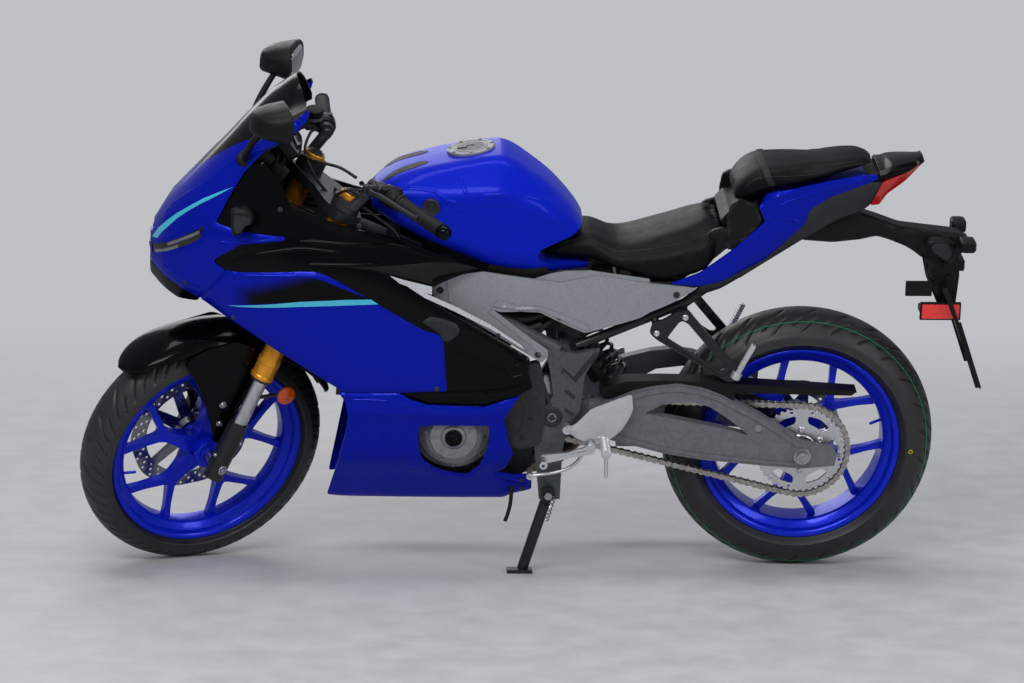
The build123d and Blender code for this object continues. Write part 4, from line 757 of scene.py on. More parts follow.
def on_round(centre, r, a):
    """Point on a circle in the chain's plane."""
    return Vector((centre.x + r * math.cos(a), 0, centre.z + r * math.sin(a)))


rear_arc = REAR_PR * (turn_up - turn_down)
front_arc = FRONT_PR * (2 * math.pi - (turn_up - turn_down))
run = (on_round(REAR_AXLE, REAR_PR, turn_up) - on_round(SMALL, FRONT_PR, turn_up)).length
loop = rear_arc + front_arc + 2 * run
LINKS = 2 * round(loop / PITCH / 2)


def chain_at(s):
    """Point of the chain's loop, s along it: round the big sprocket, the top run, round the small
    sprocket, the bottom run."""
    s %= loop
    if s < rear_arc:
        return on_round(REAR_AXLE, REAR_PR, turn_down + s / REAR_PR)
    s -= rear_arc
    if s < run:
        return on_round(REAR_AXLE, REAR_PR, turn_up).lerp(on_round(SMALL, FRONT_PR, turn_up), s / run)
    s -= run
    if s < front_arc:
        return on_round(SMALL, FRONT_PR, turn_up + s / FRONT_PR)
    s -= front_arc
    return on_round(SMALL, FRONT_PR, turn_down).lerp(on_round(REAR_AXLE, REAR_PR, turn_down), s / run)


def link_end(x, start):
    """Half round end of a link plate, about the pin at x."""
    turns = [start + math.pi * k / 6 for k in range(7)]
    return [(x + LINK_R * math.cos(t), LINK_R * math.sin(t)) for t in turns]


bm = bmesh.new()
for link in range(LINKS):
    a, b = chain_at(loop * link / LINKS), chain_at(loop * (link + 1) / LINKS)
    d = (b - a).normalized()
    n = Vector((-d.z, 0, d.x))
    span = (b - a).length
    shape = (link_end(0, math.pi / 2) + [(span / 2 - 2, -LINK_WAIST), (span / 2 + 2, -LINK_WAIST)]
             + link_end(span, -math.pi / 2) + [(span / 2 + 2, LINK_WAIST), (span / 2 - 2, LINK_WAIST)])
    for side in (-1, 1):
        near, far = (5.4, 7.1) if link % 2 else (3.5, 5.2)
        rows = [[bm.verts.new(a + d * x + n * z + Vector((0, CHAIN_Y + side * y, 0))) for x, z in shape]
                for y in (near, far)]
        bm.faces.new(rows[0])
        bm.faces.new(list(reversed(rows[1])))
        for k in range(len(shape)):
            j = (k + 1) % len(shape)
            bm.faces.new((rows[0][k], rows[1][k], rows[1][j], rows[0][j]))
    bar(bm, a + Vector((0, CHAIN_Y - 3.4, 0)), a + Vector((0, CHAIN_Y + 3.4, 0)), 5.0, segments=12)
    bar(bm, a + Vector((0, CHAIN_Y - 7.9, 0)), a + Vector((0, CHAIN_Y + 7.9, 0)), 2.5, segments=8)
place("chain_links", bm, "root", CHAIN, ["drive_chain"], sharp=35)


# ---- body panels --------------------------------------------------------------------------------
# Each hull is a list of stations: x, and the (half width, z) of points down one side.
FAIRING = [(-1492, [(14, 806), (22, 790), (30, 762), (30, 740), (24, 722), (14, 714)]),
           (-1440, [(58, 893), (88, 850), (110, 800), (108, 750), (86, 690), (56, 668)]),
           (-1360, [(98, 955), (130, 900), (152, 830), (154, 740), (132, 672), (104, 636)]),
           (-1270, [(116, 1022), (148, 930), (178, 840), (188, 740), (172, 640), (145, 585)]),
           (-1180, [(124, 1070), (160, 930), (186, 840), (202, 740), (196, 620), (168, 500)]),
           (-1040, [(110, 990), (158, 890), (184, 832), (206, 720), (208, 560), (196, 440)]),
           (-820, [(100, 900), (140, 830), (166, 770), (202, 640), (206, 520), (200, 440)]),
           (-600, [(90, 850), (118, 780), (140, 700), (166, 600), (190, 500), (190, 440)])]
BELLY = [(-1110, [(180, 500), (186, 450), (180, 420), (150, 330), (112, 262), (70, 188)]),
         (-1040, [(196, 500), (204, 448), (198, 420), (176, 330), (134, 262), (86, 188)]),
         (-820, [(200, 500), (208, 448), (200, 420), (180, 330), (138, 262), (90, 188)]),
         (-640, [(190, 500), (200, 448), (194, 420), (172, 330), (134, 262), (88, 188)]),
         (-540, [(165, 500), (170, 448), (165, 420), (150, 330), (120, 262), (86, 200)])]
TAIL = [(-320, [(120, 742), (146, 736), (146, 724), (124, 690)]),
        (-205, [(112, 802), (136, 790), (136, 745), (118, 705)]),
        (-125, [(100, 912), (125, 900), (122, 800), (104, 745)]),
        (-60, [(98, 952), (117, 938), (116, 850), (92, 785)]),
        (50, [(86, 975), (100, 962), (97, 905), (68, 850)]),
        (150, [(62, 992), (75, 980), (73, 935), (52, 888)]),
        (210, [(46, 1004), (56, 992), (53, 962), (38, 938)]),
        (256, [(30, 1000), (40, 997), (38, 990), (28, 986)])]
TANK = [(-984, [(40, 922), (72, 905), (76, 888), (60, 880)]),
        (-920, [(78, 962), (126, 935), (122, 862), (100, 848)]),
        (-800, [(92, 992), (146, 932), (142, 825), (118, 795)]),
        (-700, [(88, 1006), (148, 938), (142, 795), (118, 758)]),
        (-610, [(78, 958), (138, 910), (132, 782), (112, 746)]),
        (-530, [(60, 880), (110, 850), (106, 790), (95, 742)]),
        (-497, [(48, 824), (88, 815), (88, 775), (78, 745)])]
RIDER_SEAT = [(-604, [(84, 812), (94, 806), (94, 790), (80, 768)]),
              (-500, [(78, 824), (100, 810), (104, 775), (88, 758)]),
              (-430, [(80, 803), (128, 788), (136, 758), (120, 747)]),
              (-330, [(92, 826), (148, 800), (150, 740), (120, 726)]),
              (-245, [(92, 856), (148, 828), (148, 765), (120, 742)]),
              (-196, [(84, 876), (126, 862), (130, 830), (110, 795)])]
PILLION = [(-181, [(66, 908), (84, 900), (84, 892), (70, 886)]),
           (-170, [(74, 944), (100, 930), (104, 900), (84, 893)]),
           (-110, [(78, 981), (106, 966), (108, 932), (90, 921)]),
           (0, [(72, 988), (96, 974), (98, 955), (84, 946)]),
           (110, [(58, 1000), (74, 992), (74, 982), (64, 974)]),
           (166, [(34, 990), (44, 988), (44, 984), (38, 981)])]
fairing_w, belly_w, tail_w = width_of(FAIRING), width_of(BELLY), width_of(TAIL)
ROLL_WIDTH = 7.0
NOSE_X = -1490


def edge_distance(loops, x, y):
    """Distance from a point to the nearest side of any loop."""
    best = 1e9
    for loop in loops:
        ax, ay = loop[-1]
        for bx, by in loop:
            dx, dy = bx - ax, by - ay
            t = max(0.0, min(1.0, ((x - ax) * dx + (y - ay) * dy) / (dx * dx + dy * dy + 1e-9)))
            best = min(best, (x - ax - t * dx) ** 2 + (y - ay - t * dy) ** 2)
            ax, ay = bx, by
    return math.sqrt(best)


def side_panel(bm, outline, width, outside=0.0, wall=4.0, holes=(), step=12.0, round_by=4.0, roll=0.0):
    """A shaped sheet over the left side of a hull, set in by outside, its edges rolled in by roll."""
    line, cuts = rounded(outline, round_by), [rounded(h, round_by) for h in holes]
    pts, faces = fill(line, cuts, step, rim=ROLL_WIDTH if roll else 0.0)
    outer = []
    for p in pts:
        back = outside
        if roll:
            near = min(1.0, edge_distance([line] + cuts, p.x, p.y) / ROLL_WIDTH)
            back += roll * (1 - math.sin(near * math.pi / 2))
        outer.append(Vector((p.x, -(width(p.x, p.y) - back), p.y)))
    solid_between(bm, outer, [v + Vector((0, wall, 0)) for v in outer], faces)


def nose_face(bm, heights, x, wider, wall):
    """An upright sheet across the nose, bowed forward and a little wider than the hull."""
    rows = []
    for z in heights:
        w = fairing_w(NOSE_X, z) + wider
        rows.append([Vector((x - 4 * (1 - s * s), s * w, z)) for s in ACROSS])
    rows += [[p + Vector((wall, 0, 0)) for p in row] for row in reversed(rows)]
    loft(bm, rows + [rows[0]], closed_ends=False)


cowl_outline = [(-1481, 806), (-1477, 816), (-1468, 834), (-1434, 886), (-1399, 917), (-1364, 943),
                (-1305, 987), (-1252, 1026), (-1196, 1052), (-1225, 1023), (-1263, 983), (-1296, 931),
                (-1327, 872), (-1273, 857), (-1174, 848), (-1174, 841), (-1273, 828), (-1327, 793),
                (-1332, 783), (-1307, 768), (-1366, 688), (-1401, 701), (-1476, 745), (-1482, 749)]
slit = [(-1478, 788), (-1354, 861), (-1362, 834), (-1384, 817), (-1424, 797), (-1450, 785), (-1476, 768)]
bm = bmesh.new()
side_panel(bm, cowl_outline, fairing_w, holes=[slit], step=10, roll=2.4)
mirror_y(bm)
# The bridge over the nose: a front and a back sheet in turn, joined by their rims.
grid = []
for k in range(9):
    z = lerp(786, 808, k / 8)
    w = fairing_w(NOSE_X, z)
    for x, bow, half in ((-1480, 4, w), (-1476, 3, w - 4)):
        grid.append([bm.verts.new(Vector((x - bow * (1 - s * s), s * half, z))) for s in ACROSS])
for k in range(8):
    for i in range(12):
        for layer in (0, 1):
            a, b = grid[2 * k + layer], grid[2 * k + 2 + layer]
            bm.faces.new((a[i], a[i + 1], b[i + 1], b[i]))
for row in (0, 8):
    for i in range(12):
        bm.faces.new((grid[2 * row][i], grid[2 * row][i + 1], grid[2 * row + 1][i + 1], grid[2 * row + 1][i]))
for i in (0, 12):
    for k in range(8):
        bm.faces.new((grid[2 * k][i], grid[2 * k + 2][i], grid[2 * k + 3][i], grid[2 * k + 1][i]))
place("front_cowl_shell", bm, "root", BLUE, ["front_cowl"], bevel=0.9)

chin_outline = [(-1483, 748), (-1476, 744), (-1401.2, 703), (-1366.4, 689), (-1374, 680), (-1418, 676),
                (-1462, 702), (-1483, 718)]
bm = bmesh.new()
side_panel(bm, chin_outline, fairing_w, outside=1.0, step=10)
mirror_y(bm)
rows = []
for x, z in ((-1482, 722), (-1462, 706), (-1440, 691), (-1418, 680), (-1396, 679), (-1376, 683)):
    w = fairing_w(x, z) - 4
    rows.append([Vector((x, s * w, z - 5 * (1 - s * s))) for s in ACROSS])
loft(bm, [row + [p + Vector((0, 0, 4)) for p in reversed(row)] for row in rows])
nose_face(bm, (714, 731, 748), -1482, -1, 4)
place("nose_duct_shell", bm, "root", BLACK, ["nose_duct"], bevel=0.8)

lens_outline = [(-1486, 788), (-1350, 866), (-1352, 832), (-1384, 817), (-1444, 788), (-1480, 764)]
bm = bmesh.new()
side_panel(bm, lens_outline, fairing_w, outside=5.0, wall=3.5, step=10)
mirror_y(bm)
place("headlamp_lenses", bm, "root", DARK_GLASS, ["headlamps"], bevel=0.6)

bm = bmesh.new()
for t0, t1, low in ((0.34, 0.92, 3), (0.1, 0.54, 15)):
    strip = []
    for t, drop in ((t0, 0), (t1, 1), (t1, 8), (t0, 7)):
        strip.append((lerp(-1482, -1354, t), lerp(788, 860, t) - drop - low))
    side_panel(bm, strip, fairing_w, outside=3.4, wall=1.8, step=10, round_by=2)
mirror_y(bm)
place("headlamp_light_bars", bm, "root", CLEAR_LENS, bevel=0.4)

side_outline = [(-1306.6, 767.6), (-1273, 766), (-1140, 773), (-1107, 773), (-1085, 766), (-1030, 737),
                (-963, 696), (-863, 636), (-830, 628), (-821, 605), (-813, 493), (-918, 489.5),
                (-1041, 488.5), (-1303, 649), (-1365.6, 687.6)]
bm = bmesh.new()
side_panel(bm, side_outline, fairing_w, step=11, round_by=5, roll=3.6)
mirror_y(bm)
place("side_fairing_shells", bm, "root", BLUE, ["side_fairings"], bevel=1.0)

upper_outline = [(-1331, 781), (-1331, 872), (-1292, 930), (-1256, 991), (-1225, 1008), (-1196, 985),
                 (-1185, 964), (-1163, 915), (-1097, 886), (-1030, 864), (-920, 838), (-849, 806),
                 (-746, 767), (-822, 742), (-850, 730), (-850, 705), (-823, 684), (-695, 608), (-627, 564),
                 (-631, 533), (-620, 497), (-649, 481), (-727, 457), (-857, 462), (-893, 473), (-918, 489),
                 (-1030, 500), (-1290, 662), (-1330, 700)]
bm = bmesh.new()
side_panel(bm, upper_outline, fairing_w, outside=4.3, step=13, round_by=5, roll=2.5)
mirror_y(bm)
place("inner_panel_shells", bm, "root", BLACK, ["inner_panels"], bevel=1.0)

belly_outline = [(-1057, 488), (-918, 488), (-893, 472.5), (-857, 461.5), (-727, 456.5), (-649, 480.5),
                 (-674, 445), (-688, 411), (-674, 371), (-662, 330), (-679, 289), (-697, 277), (-662, 267),
                 (-618, 268), (-616, 219), (-660, 205), (-681, 192), (-1086, 193), (-1058, 309), (-1039, 396),
                 (-1035, 436), (-1041, 467)]
belly_window = [(-877, 372), (-875, 403), (-850, 409), (-718, 408), (-715, 371), (-725, 335), (-737, 299),
                (-765, 270), (-790, 273), (-818, 280), (-845, 295), (-868, 320), (-875, 345)]
bm = bmesh.new()
side_panel(bm, belly_outline, belly_w, wall=5.0, holes=[belly_window], step=11, round_by=6, roll=3.0)
mirror_y(bm)
place("belly_cowl_shell", bm, "root", BLUE, ["belly_cowl"], bevel=1.2)

cover_outline = [(-848, 723), (-823, 737), (-763, 752), (-732, 755), (-651, 743), (-562, 731), (-472, 746),
                 (-383, 732), (-293, 725), (-254, 719), (-309, 684), (-358, 662), (-380, 648), (-503, 611),
                 (-560, 637), (-605, 660), (-650, 662), (-695, 660), (-718, 669), (-586, 570), (-585, 555),
                 (-599, 539), (-819, 680), (-843, 692)]
bm = bmesh.new()
pts, faces = fill(rounded(cover_outline, 6), step=16)
outer = []
for p in pts:
    edge = min((Vector(p) - Vector(q)).length for q in cover_outline)
    outer.append(Vector((p.x, -(136.4 + 2.4 * min(1, edge / 40)), p.y)))
solid_between(bm, outer, [Vector((v.x, -132.7, v.z)) for v in outer], faces)
mirror_y(bm)
place("frame_cover_plates", bm, "root", COVER, ["frame_covers"], bevel=1.3)

# Rows of the windscreen: x, half width, z of its edge, height of its crown above that.
screen_rows = [(-1474, 30, 820, 14), (-1434, 66, 880, 14), (-1386, 100, 923, 22), (-1305, 120, 987, 44),
               (-1252, 126, 1026, 63), (-1196, 126, 1052, 90), (-1160, 116, 1076, 92), (-1119, 106, 1100, 78)]


def screen_point(t, s, inset=0.0, drop=0.0):
    """Point of the screen, t of the way back and s from -1 on the left to 1 on the right."""
    x = lerp(-1474, lerp(-1152, -1121, abs(s) ** 1.5), t)
    half, edge, crown = (track([(r[0], r[i]) for r in screen_rows], x) for i in (1, 2, 3))
    half = min(half, fairing_w(x, edge) - 5) if x < -1200 else half
    return Vector((x, s * (half - inset), edge + crown * (1 - abs(s) ** 2.4) - drop))


bm = bmesh.new()
sheets = ([], [])
for k in range(33):
    for layer, (inset, drop) in enumerate(((0, 0), (3.5, 4.2))):
        row = [screen_point(k / 32, -1, inset, 15)]
        row += [screen_point(k / 32, i / 16 - 1, inset, drop) for i in range(33)]
        row.append(screen_point(k / 32, 1, inset, 15))
        sheets[layer].append([bm.verts.new(p) for p in row])
for layer in (0, 1):
    for a, b in zip(sheets[layer], sheets[layer][1:]):
        for i in range(34):
            bm.faces.new((a[i], a[i + 1], b[i + 1], b[i]))
for end in (0, 32):
    for i in range(34):
        a, b = sheets[0][end], sheets[1][end]
        bm.faces.new((a[i], a[i + 1], b[i + 1], b[i]))
for i in (0, 34):
    for k in range(32):
        bm.faces.new((sheets[0][k][i], sheets[0][k + 1][i], sheets[1][k + 1][i], sheets[1][k][i]))
place("windscreen_bubble", bm, "root", SMOKE, ["windscreen"], bevel=1.0, sharp=50)

bm = bmesh.new()
rows = []
for k in range(31):
    t = k / 30 * 0.8
    x = lerp(-1474, -1152, t)
    start = track([(-1480, 0), (-1392, 0), (-1341, 0.46), (-1289, 0.75), (-1247, 0.92), (-1212, 0.985)], x)
    over = [screen_point(t, -lerp(start, 1, i / 12), -0.8, -0.8) for i in range(13)]
    over.append(screen_point(t, -1, -0.8, 12))
    under = [screen_point(t, -lerp(start, 1, i / 12), 0.6, 0.8) for i in range(13)]
    under.append(screen_point(t, -1, 0.6, 12))
    rows.append(over + list(reversed(under)))
loft(bm, rows)
slab(bm, [(-1228, 1030), (-1176, 1052), (-1150, 1074), (-1124, 1102), (-1119, 1119), (-1124, 1126),
          (-1150, 1100), (-1178, 1078), (-1228, 1054)], -130.5, -127.5, step=14, round_by=5)
mirror_y(bm)
place("nose_top_panels", bm, "root", BLUE, bevel=0.5, sharp=50)

bm = bmesh.new()
slab(bm, [(-1228, 1048), (-1178, 1072), (-1150, 1094), (-1124, 1120), (-1122, 1128), (-1150, 1114),
          (-1190, 1091), (-1228, 1066)], -129.0, -126.6, step=14, round_by=3)
mirror_y(bm)
place("screen_side_edges", bm, "root", DARK_GLASS, bevel=0.5, sharp=50)

# Tail
tail_blue = [(-316, 732), (-249, 757), (-176, 809), (-150, 831), (-106, 872), (-121, 905), (-102, 930),
             (-80, 938), (37, 961), (120, 970), (149, 968), (147, 957), (39, 923), (-5, 896), (-15, 862),
             (-48, 828), (-103, 778), (-203, 732), (-248, 724)]
tail_grey = [(-248, 723.7), (-203, 731.7), (-102.8, 777.7), (-47.8, 827.7), (-14.7, 861.7), (-4.7, 895.7),
             (39, 922.7), (133, 951.9), (159.5, 949.5), (149.5, 930), (134.9, 893), (124, 884), (65, 865),
             (-25, 815), (-158, 737), (-203, 712), (-254, 694)]
bm = bmesh.new()
side_panel(bm, tail_blue, tail_w, step=9, round_by=4, roll=2.0)
mirror_y(bm)
deck_top = [(-84, 929), (0, 939), (75, 953), (110, 961), (148, 964)]
rows = [[Vector((x, s * (tail_w(x, z) - 4.5), z)) for s in (-1, 0, 1)] for x, z in deck_top]
loft(bm, [row + [p - Vector((0, 0, 5)) for p in reversed(row)] for row in rows])
place("tail_cowl_shell", bm, "root", BLUE, ["tail_cowl"], bevel=1.0)

bm = bmesh.new()
side_panel(bm, tail_grey, tail_w, outside=1.4, step=10, round_by=4, roll=1.6)
mirror_y(bm)
floor_line = [(-158, 740), (-92, 779), (-25, 818), (20, 842), (65, 867), (124, 886)]
rows = [[Vector((x, s * (tail_w(x, z) - 4), z)) for s in (-1, -0.5, 0, 0.5, 1)] for x, z in floor_line]
loft(bm, [row + [p - Vector((0, 0, 4)) for p in reversed(row)] for row in rows])
place("tail_underside_shell", bm, "root", DARK_PLASTIC, bevel=1.0)

bm = bmesh.new()
rows = []
for k in range(15):
    x = lerp(151.5, 255.5, k / 14)
    low_z = track([(148, 958), (212, 967), (256, 992)], x)
    top = section(TAIL, x)
    w0, w1 = top[0][0], top[1][0]
    z0 = track([(151, 976), (166, 977.5), (180, 984), (210, 988.5), (240, 991.5), (256, 994)], x)
    z1 = max(low_z + 1.5, z0 - 9)
    half = [(tail_w(x, low_z), low_z), (w1, z1), (w0, z0 - 0.5), (w0 * 0.5, z0 + 2.0)]
    ring = [Vector((x, -w, z)) for w, z in half] + [Vector((x, 0, z0 + 2.6))]
    ring += [Vector((x, w, z)) for w, z in reversed(half)]
    under = [p - Vector((0, p.y * 0.08, 5 if 0 < i < 8 else 0)) for i, p in enumerate(ring)]
    rows.append(ring + under[::-1])
loft(bm, rows)
place("tail_top_shell", bm, "root", BLACK, ["tail_trim"], bevel=1.2, sharp=30)


def open_middle(bm):
    """Drops the faces in the bike's middle plane, where two halves are joined."""
    middle = [f for f in bm.faces if all(abs(v.co.y) < 0.01 for v in f.verts)]
    bmesh.ops.delete(bm, geom=middle, context="FACES_ONLY")


lamp_outline = [(255.5, 992), (212, 966.4), (160.4, 950.6), (150, 930), (135.4, 893), (157, 892), (173, 919),
                (214, 944), (256.5, 987)]
bm = bmesh.new()
line = rounded(lamp_outline, 5)
pts, faces = fill(line, step=8)
outer = [Vector((p.x, -tail_w(p.x, p.y) + 0.4, p.y)) for p in pts]
solid_between(bm, outer, [Vector((v.x, 0, v.z)) for v in outer], faces)
open_middle(bm)
mirror_y(bm)
bmesh.ops.remove_doubles(bm, verts=bm.verts[:], dist=0.02)
place("tail_lamp_lens", bm, "root", RED_LENS, ["tail_lamp"], bevel=1.2, sharp=30)


# ---- tank ---------------------------------------------------------------------------------------
def hull_ring(half, x, crown, radius, steps=4):
    """One cross section as a closed ring with eased corners and a raised middle."""
    line = [(-w, z) for w, z in half] + [(w, z) for w, z in reversed(half)]
    line = [(0.0, half[0][1] + crown)] + line[:len(half)] + [(0.0, half[-1][1])] + line[len(half):]
    ring = rounded(line, radius, steps)
    return [Vector((x, y, z)) for y, z in ring]


bm = bmesh.new()
rings = []
for k in range(61):
    x = lerp(TANK[0][0], TANK[-1][0], k / 60)
    half = section(TANK, x)
    shrink = 0.9 if k == 0 else 0.97 if k == 1 else 1.0
    mid_z = sum(z for _, z in half) / 4
    half = [(w * shrink, mid_z + (z - mid_z) * shrink) for w, z in half]
    knee = 1 - 0.035 * math.exp(-((x + 590) / 70) ** 2)
    half[2] = (half[2][0] * knee, half[2][1])
    rings.append(hull_ring(half, x, 3.0, 26))
loft(bm, rings)
tank = place("fuel_tank_shell", bm, "root", TANK_BLUE, ["fuel_tank"], bevel=1.5, sharp=50)

# Room for the seat's nose, cut out of the tank before its bevel
seat_cut = [(-612, 790), (-603, 806), (-537, 832), (-499, 856), (-470, 900), (-470, 758), (-513, 759),
            (-589, 766), (-607, 778)]
bm = bmesh.new()
slab(bm, seat_cut, -170, 170, step=80)
bmesh.ops.recalc_face_normals(bm, faces=bm.faces[:])
cutter_mesh = bpy.data.meshes.new("seat_cutter")
bm.to_mesh(cutter_mesh)
bm.free()
cutter_mesh.transform(PARK)
cutter = bpy.data.objects.new("seat_cutter", cutter_mesh)
bpy.context.collection.objects.link(cutter)
finish_mods = list(tank.modifiers)
for mod in finish_mods:
    mod.show_viewport = False
cut = tank.modifiers.new("seat room", "BOOLEAN")
cut.operation, cut.object, cut.solver = "DIFFERENCE", cutter, "EXACT"
bpy.context.view_layer.update()
cut_mesh = bpy.data.meshes.new_from_object(tank.evaluated_get(bpy.context.evaluated_depsgraph_get()))
tank.modifiers.remove(cut)
tank.data = cut_mesh
for mod in finish_mods:
    mod.show_viewport = True
for p in tank.data.polygons:
    p.use_smooth = True
bpy.data.objects.remove(cutter)


# ---- padded seats -------------------------------------------------------------------------------
VOXEL, PRESSURE, FRAMES = 0.0055, 4.0, 20
FLOOR_DROP = 1.5


def swell(obj, limit):
    """Blows a closed form up like foam under its cover, each point held to a short way."""
    mesh = obj.data
    obj.modifiers.clear()
    remesh = obj.modifiers.new("voxels", "REMESH")
    remesh.mode, remesh.voxel_size, remesh.use_smooth_shade = "VOXEL", VOXEL, True
    evaluated = obj.evaluated_get(bpy.context.evaluated_depsgraph_get())
    even = bpy.data.meshes.new_from_object(evaluated)
    obj.modifiers.clear()
    obj.data = even
    start = [v.co.copy() for v in even.vertices]
    normals = [v.normal.copy() for v in even.vertices]
    cloth = obj.modifiers.new("foam", "CLOTH")
    cloth.settings.use_pressure = True
    cloth.settings.uniform_pressure_force = PRESSURE
    cloth.settings.effector_weights.gravity = 0.0
    for number in range(1, FRAMES + 1):
        bpy.context.scene.frame_set(number)
    evaluated = obj.evaluated_get(bpy.context.evaluated_depsgraph_get())
    blown = [v.co.copy() for v in evaluated.data.vertices]
    obj.modifiers.clear()
    bpy.context.scene.frame_set(1)
    for v, a, b, n in zip(even.vertices, start, blown, normals):
        move = b - a
        if move.length > limit * MM:
            move = move.normalized() * limit * MM
        sink = move.dot(DOWN)
        if n.dot(DOWN) > 0.7 and sink > 0:
            move -= DOWN * sink * (1 - FLOOR_DROP / limit)
        v.co = a + move
    even.materials.clear()
    for m in mesh.materials:
        even.materials.append(m)
    mod = obj.modifiers.new("round", "SUBSURF")
    mod.levels = mod.render_levels = 1


def pad(name, stations, inset, x_from, x_to, keep_part, replaced, crown, limit):
    """A padded seat: its solid's hull set in, closed at both ends, then swollen."""
    bm = bmesh.new()
    rings = []
    count = 26
    for k in range(count + 1):
        x = lerp(x_from, x_to, k / count)
        half = [(max(w - inset, 4), z) for w, z in section(stations, x)]
        middle = (half[0][1] + half[-1][1]) / 2
        thick = half[0][1] - half[-1][1]
        share = max(0.3, 1 - 2 * inset / max(thick, 1))
        ease = 0.8 if k in (0, count) else 0.93 if k in (1, count - 1) else 1.0
        half = [(w * ease, middle + (z - middle) * share * ease) for w, z in half]
        rings.append([keep_part(p) for p in hull_ring(half, x, crown, 22, 3)])
    loft(bm, rings)
    obj = place(name, bm, "root", LEATHER, [replaced], sharp=180)
    swell(obj, limit)
    return obj


def under_tank(p):
    """Holds the seat's nose below the tank's overhang and above its floor."""
    top = track([(-612, 791), (-603, 803), (-537, 829), (-499, 853), (-470, 898), (-440, 990)], p.x)
    low = track([(-607, 779), (-589, 766), (-513, 759), (-480, 740)], p.x)
    return Vector((p.x, p.y, max(min(p.z, top - 6), low + 5 if p.x < -500 else p.z)))


rider_seat = pad("rider_seat_pad", RIDER_SEAT, 6.5, -597, -203, under_tank, "rider_seat", 4.0, 7.0)


def over_deck(p):
    """Holds the rear seat above the tail deck and ahead of the tail's top."""
    deck = track([(-102, 930), (-80, 935), (0, 946), (75, 964), (110, 974), (150, 980)], p.x)
    low = deck + 6 if p.x > -100 else p.z
    return Vector((min(p.x, 145), p.y, max(p.z, low)))


pillion_seat = pad("pillion_seat_pad", PILLION, 5.0, -172, 144, over_deck, "pillion_seat", 5.0, 6.0)
PIPING_R = 1.1


def seam(name, obj, stations, rise, x_from, x_to):
    """Piping along both sides of a pad, laid on its surface."""
    tree = BVHTree.FromObject(obj, bpy.context.evaluated_depsgraph_get())
    bm = bmesh.new()
    for side in (-1, 1):
        path = []
        for k in range(27):
            x = lerp(x_from, x_to, k / 26)
            half = section(stations, x)
            w, z = (lerp(half[0][i], half[1][i], rise) for i in (0, 1))
            hit = tree.find_nearest(PARK @ Vector((x, side * w, z)))[0]
            path.append(UPRIGHT @ hit)
        tube(bm, path, PIPING_R, 8, count=80)
    place(name, bm, "root", RUBBER)


seam("rider_seat_piping", rider_seat, RIDER_SEAT, 0.45, -560, -214)
seam("pillion_seat_piping", pillion_seat, PILLION, 0.8, -160, 132)

# Strap over the rear seat, laid on its surface from side to side
tree = BVHTree.FromObject(pillion_seat, bpy.context.evaluated_depsgraph_get())
STRAP_REACH = 78
bm = bmesh.new()
rows = []
for k in range(25):
    a = lerp(-STRAP_REACH, STRAP_REACH, k / 24)
    x = -112 + 24 * (abs(a) / STRAP_REACH) ** 2
    aim = PARK @ Vector((x, 125 * math.sin(math.radians(a)), 930 + 70 * math.cos(math.radians(a))))
    hit, normal, *_ = tree.find_nearest(aim)
    p, n = UPRIGHT @ hit, (UPRIGHT.to_3x3() @ normal).normalized()
    rows.append([p + n * 0.4 + Vector((-8, 0, -1)), p + n * 2.4 + Vector((-7, 0, -1)), p + n * 3,
                 p + n * 2.4 + Vector((7, 0, 1)), p + n * 0.4 + Vector((8, 0, 1)), p - n * 0.6])
loft(bm, rows)
place("pillion_grab_strap", bm, "root", RUBBER, bevel=0.4)

bm = bmesh.new()
hump_line = [(-186, 885), (-204, 864), (-196, 846), (-150, 824), (-125, 846), (-112, 872), (-122, 912),
             (-172, 888)]
slab(bm, hump_line, -91.5, 91.5, step=22, round_by=4)
for v in bm.verts:
    v.co.y *= 1 - 0.04 * ((v.co.z - 865) / 40) ** 2
place("seat_hump_trim", bm, "root", PLASTIC, ["seat_hump"], bevel=2.0)

# Fuel cap
cap_at, cap_dir = Vector((-762, 0, 1003)), Vector((-0.14, 0, 1))
cap_plane = frame_at(cap_at, cap_dir)
bm = bmesh.new()
lathe(bm, [(30, -9), (55, -9), (55, 1.5), (53, 3.2), (47, 3.8), (44, 2.6), (38, 2.6), (36, 4.2), (30, 4.2)],
      cap_at, cap_dir, 64)
for k in range(7):
    a = 2 * math.pi * k / 7
    p = cap_plane @ Vector((49.5 * math.cos(a), 49.5 * math.sin(a), 3.2))
    lathe(bm, [(CORE, 1.2), (2.0, 1.2), (2.2, 2.2), (3.6, 2.2), (4, 1.6), (4, 0)], p, cap_dir, 12,
          closed=False)
place("fuel_cap_ring", bm, "root", CASTING, ["fuel_cap"], bevel=0.4, sharp=30)

bm = bmesh.new()
lathe(bm, [(CORE, 3.2), (9, 3.2), (10, 4.4), (31, 4.4), (34, 3.4), (34.5, 0), (CORE, -2)], cap_at, cap_dir,
      48, closed=False)
tab = cap_plane @ Matrix.Translation((0, -20, 4.6))
box_at(bm, tab, (17, 22, 2.6))
place("fuel_cap_lid", bm, "root", CAST, bevel=0.7)

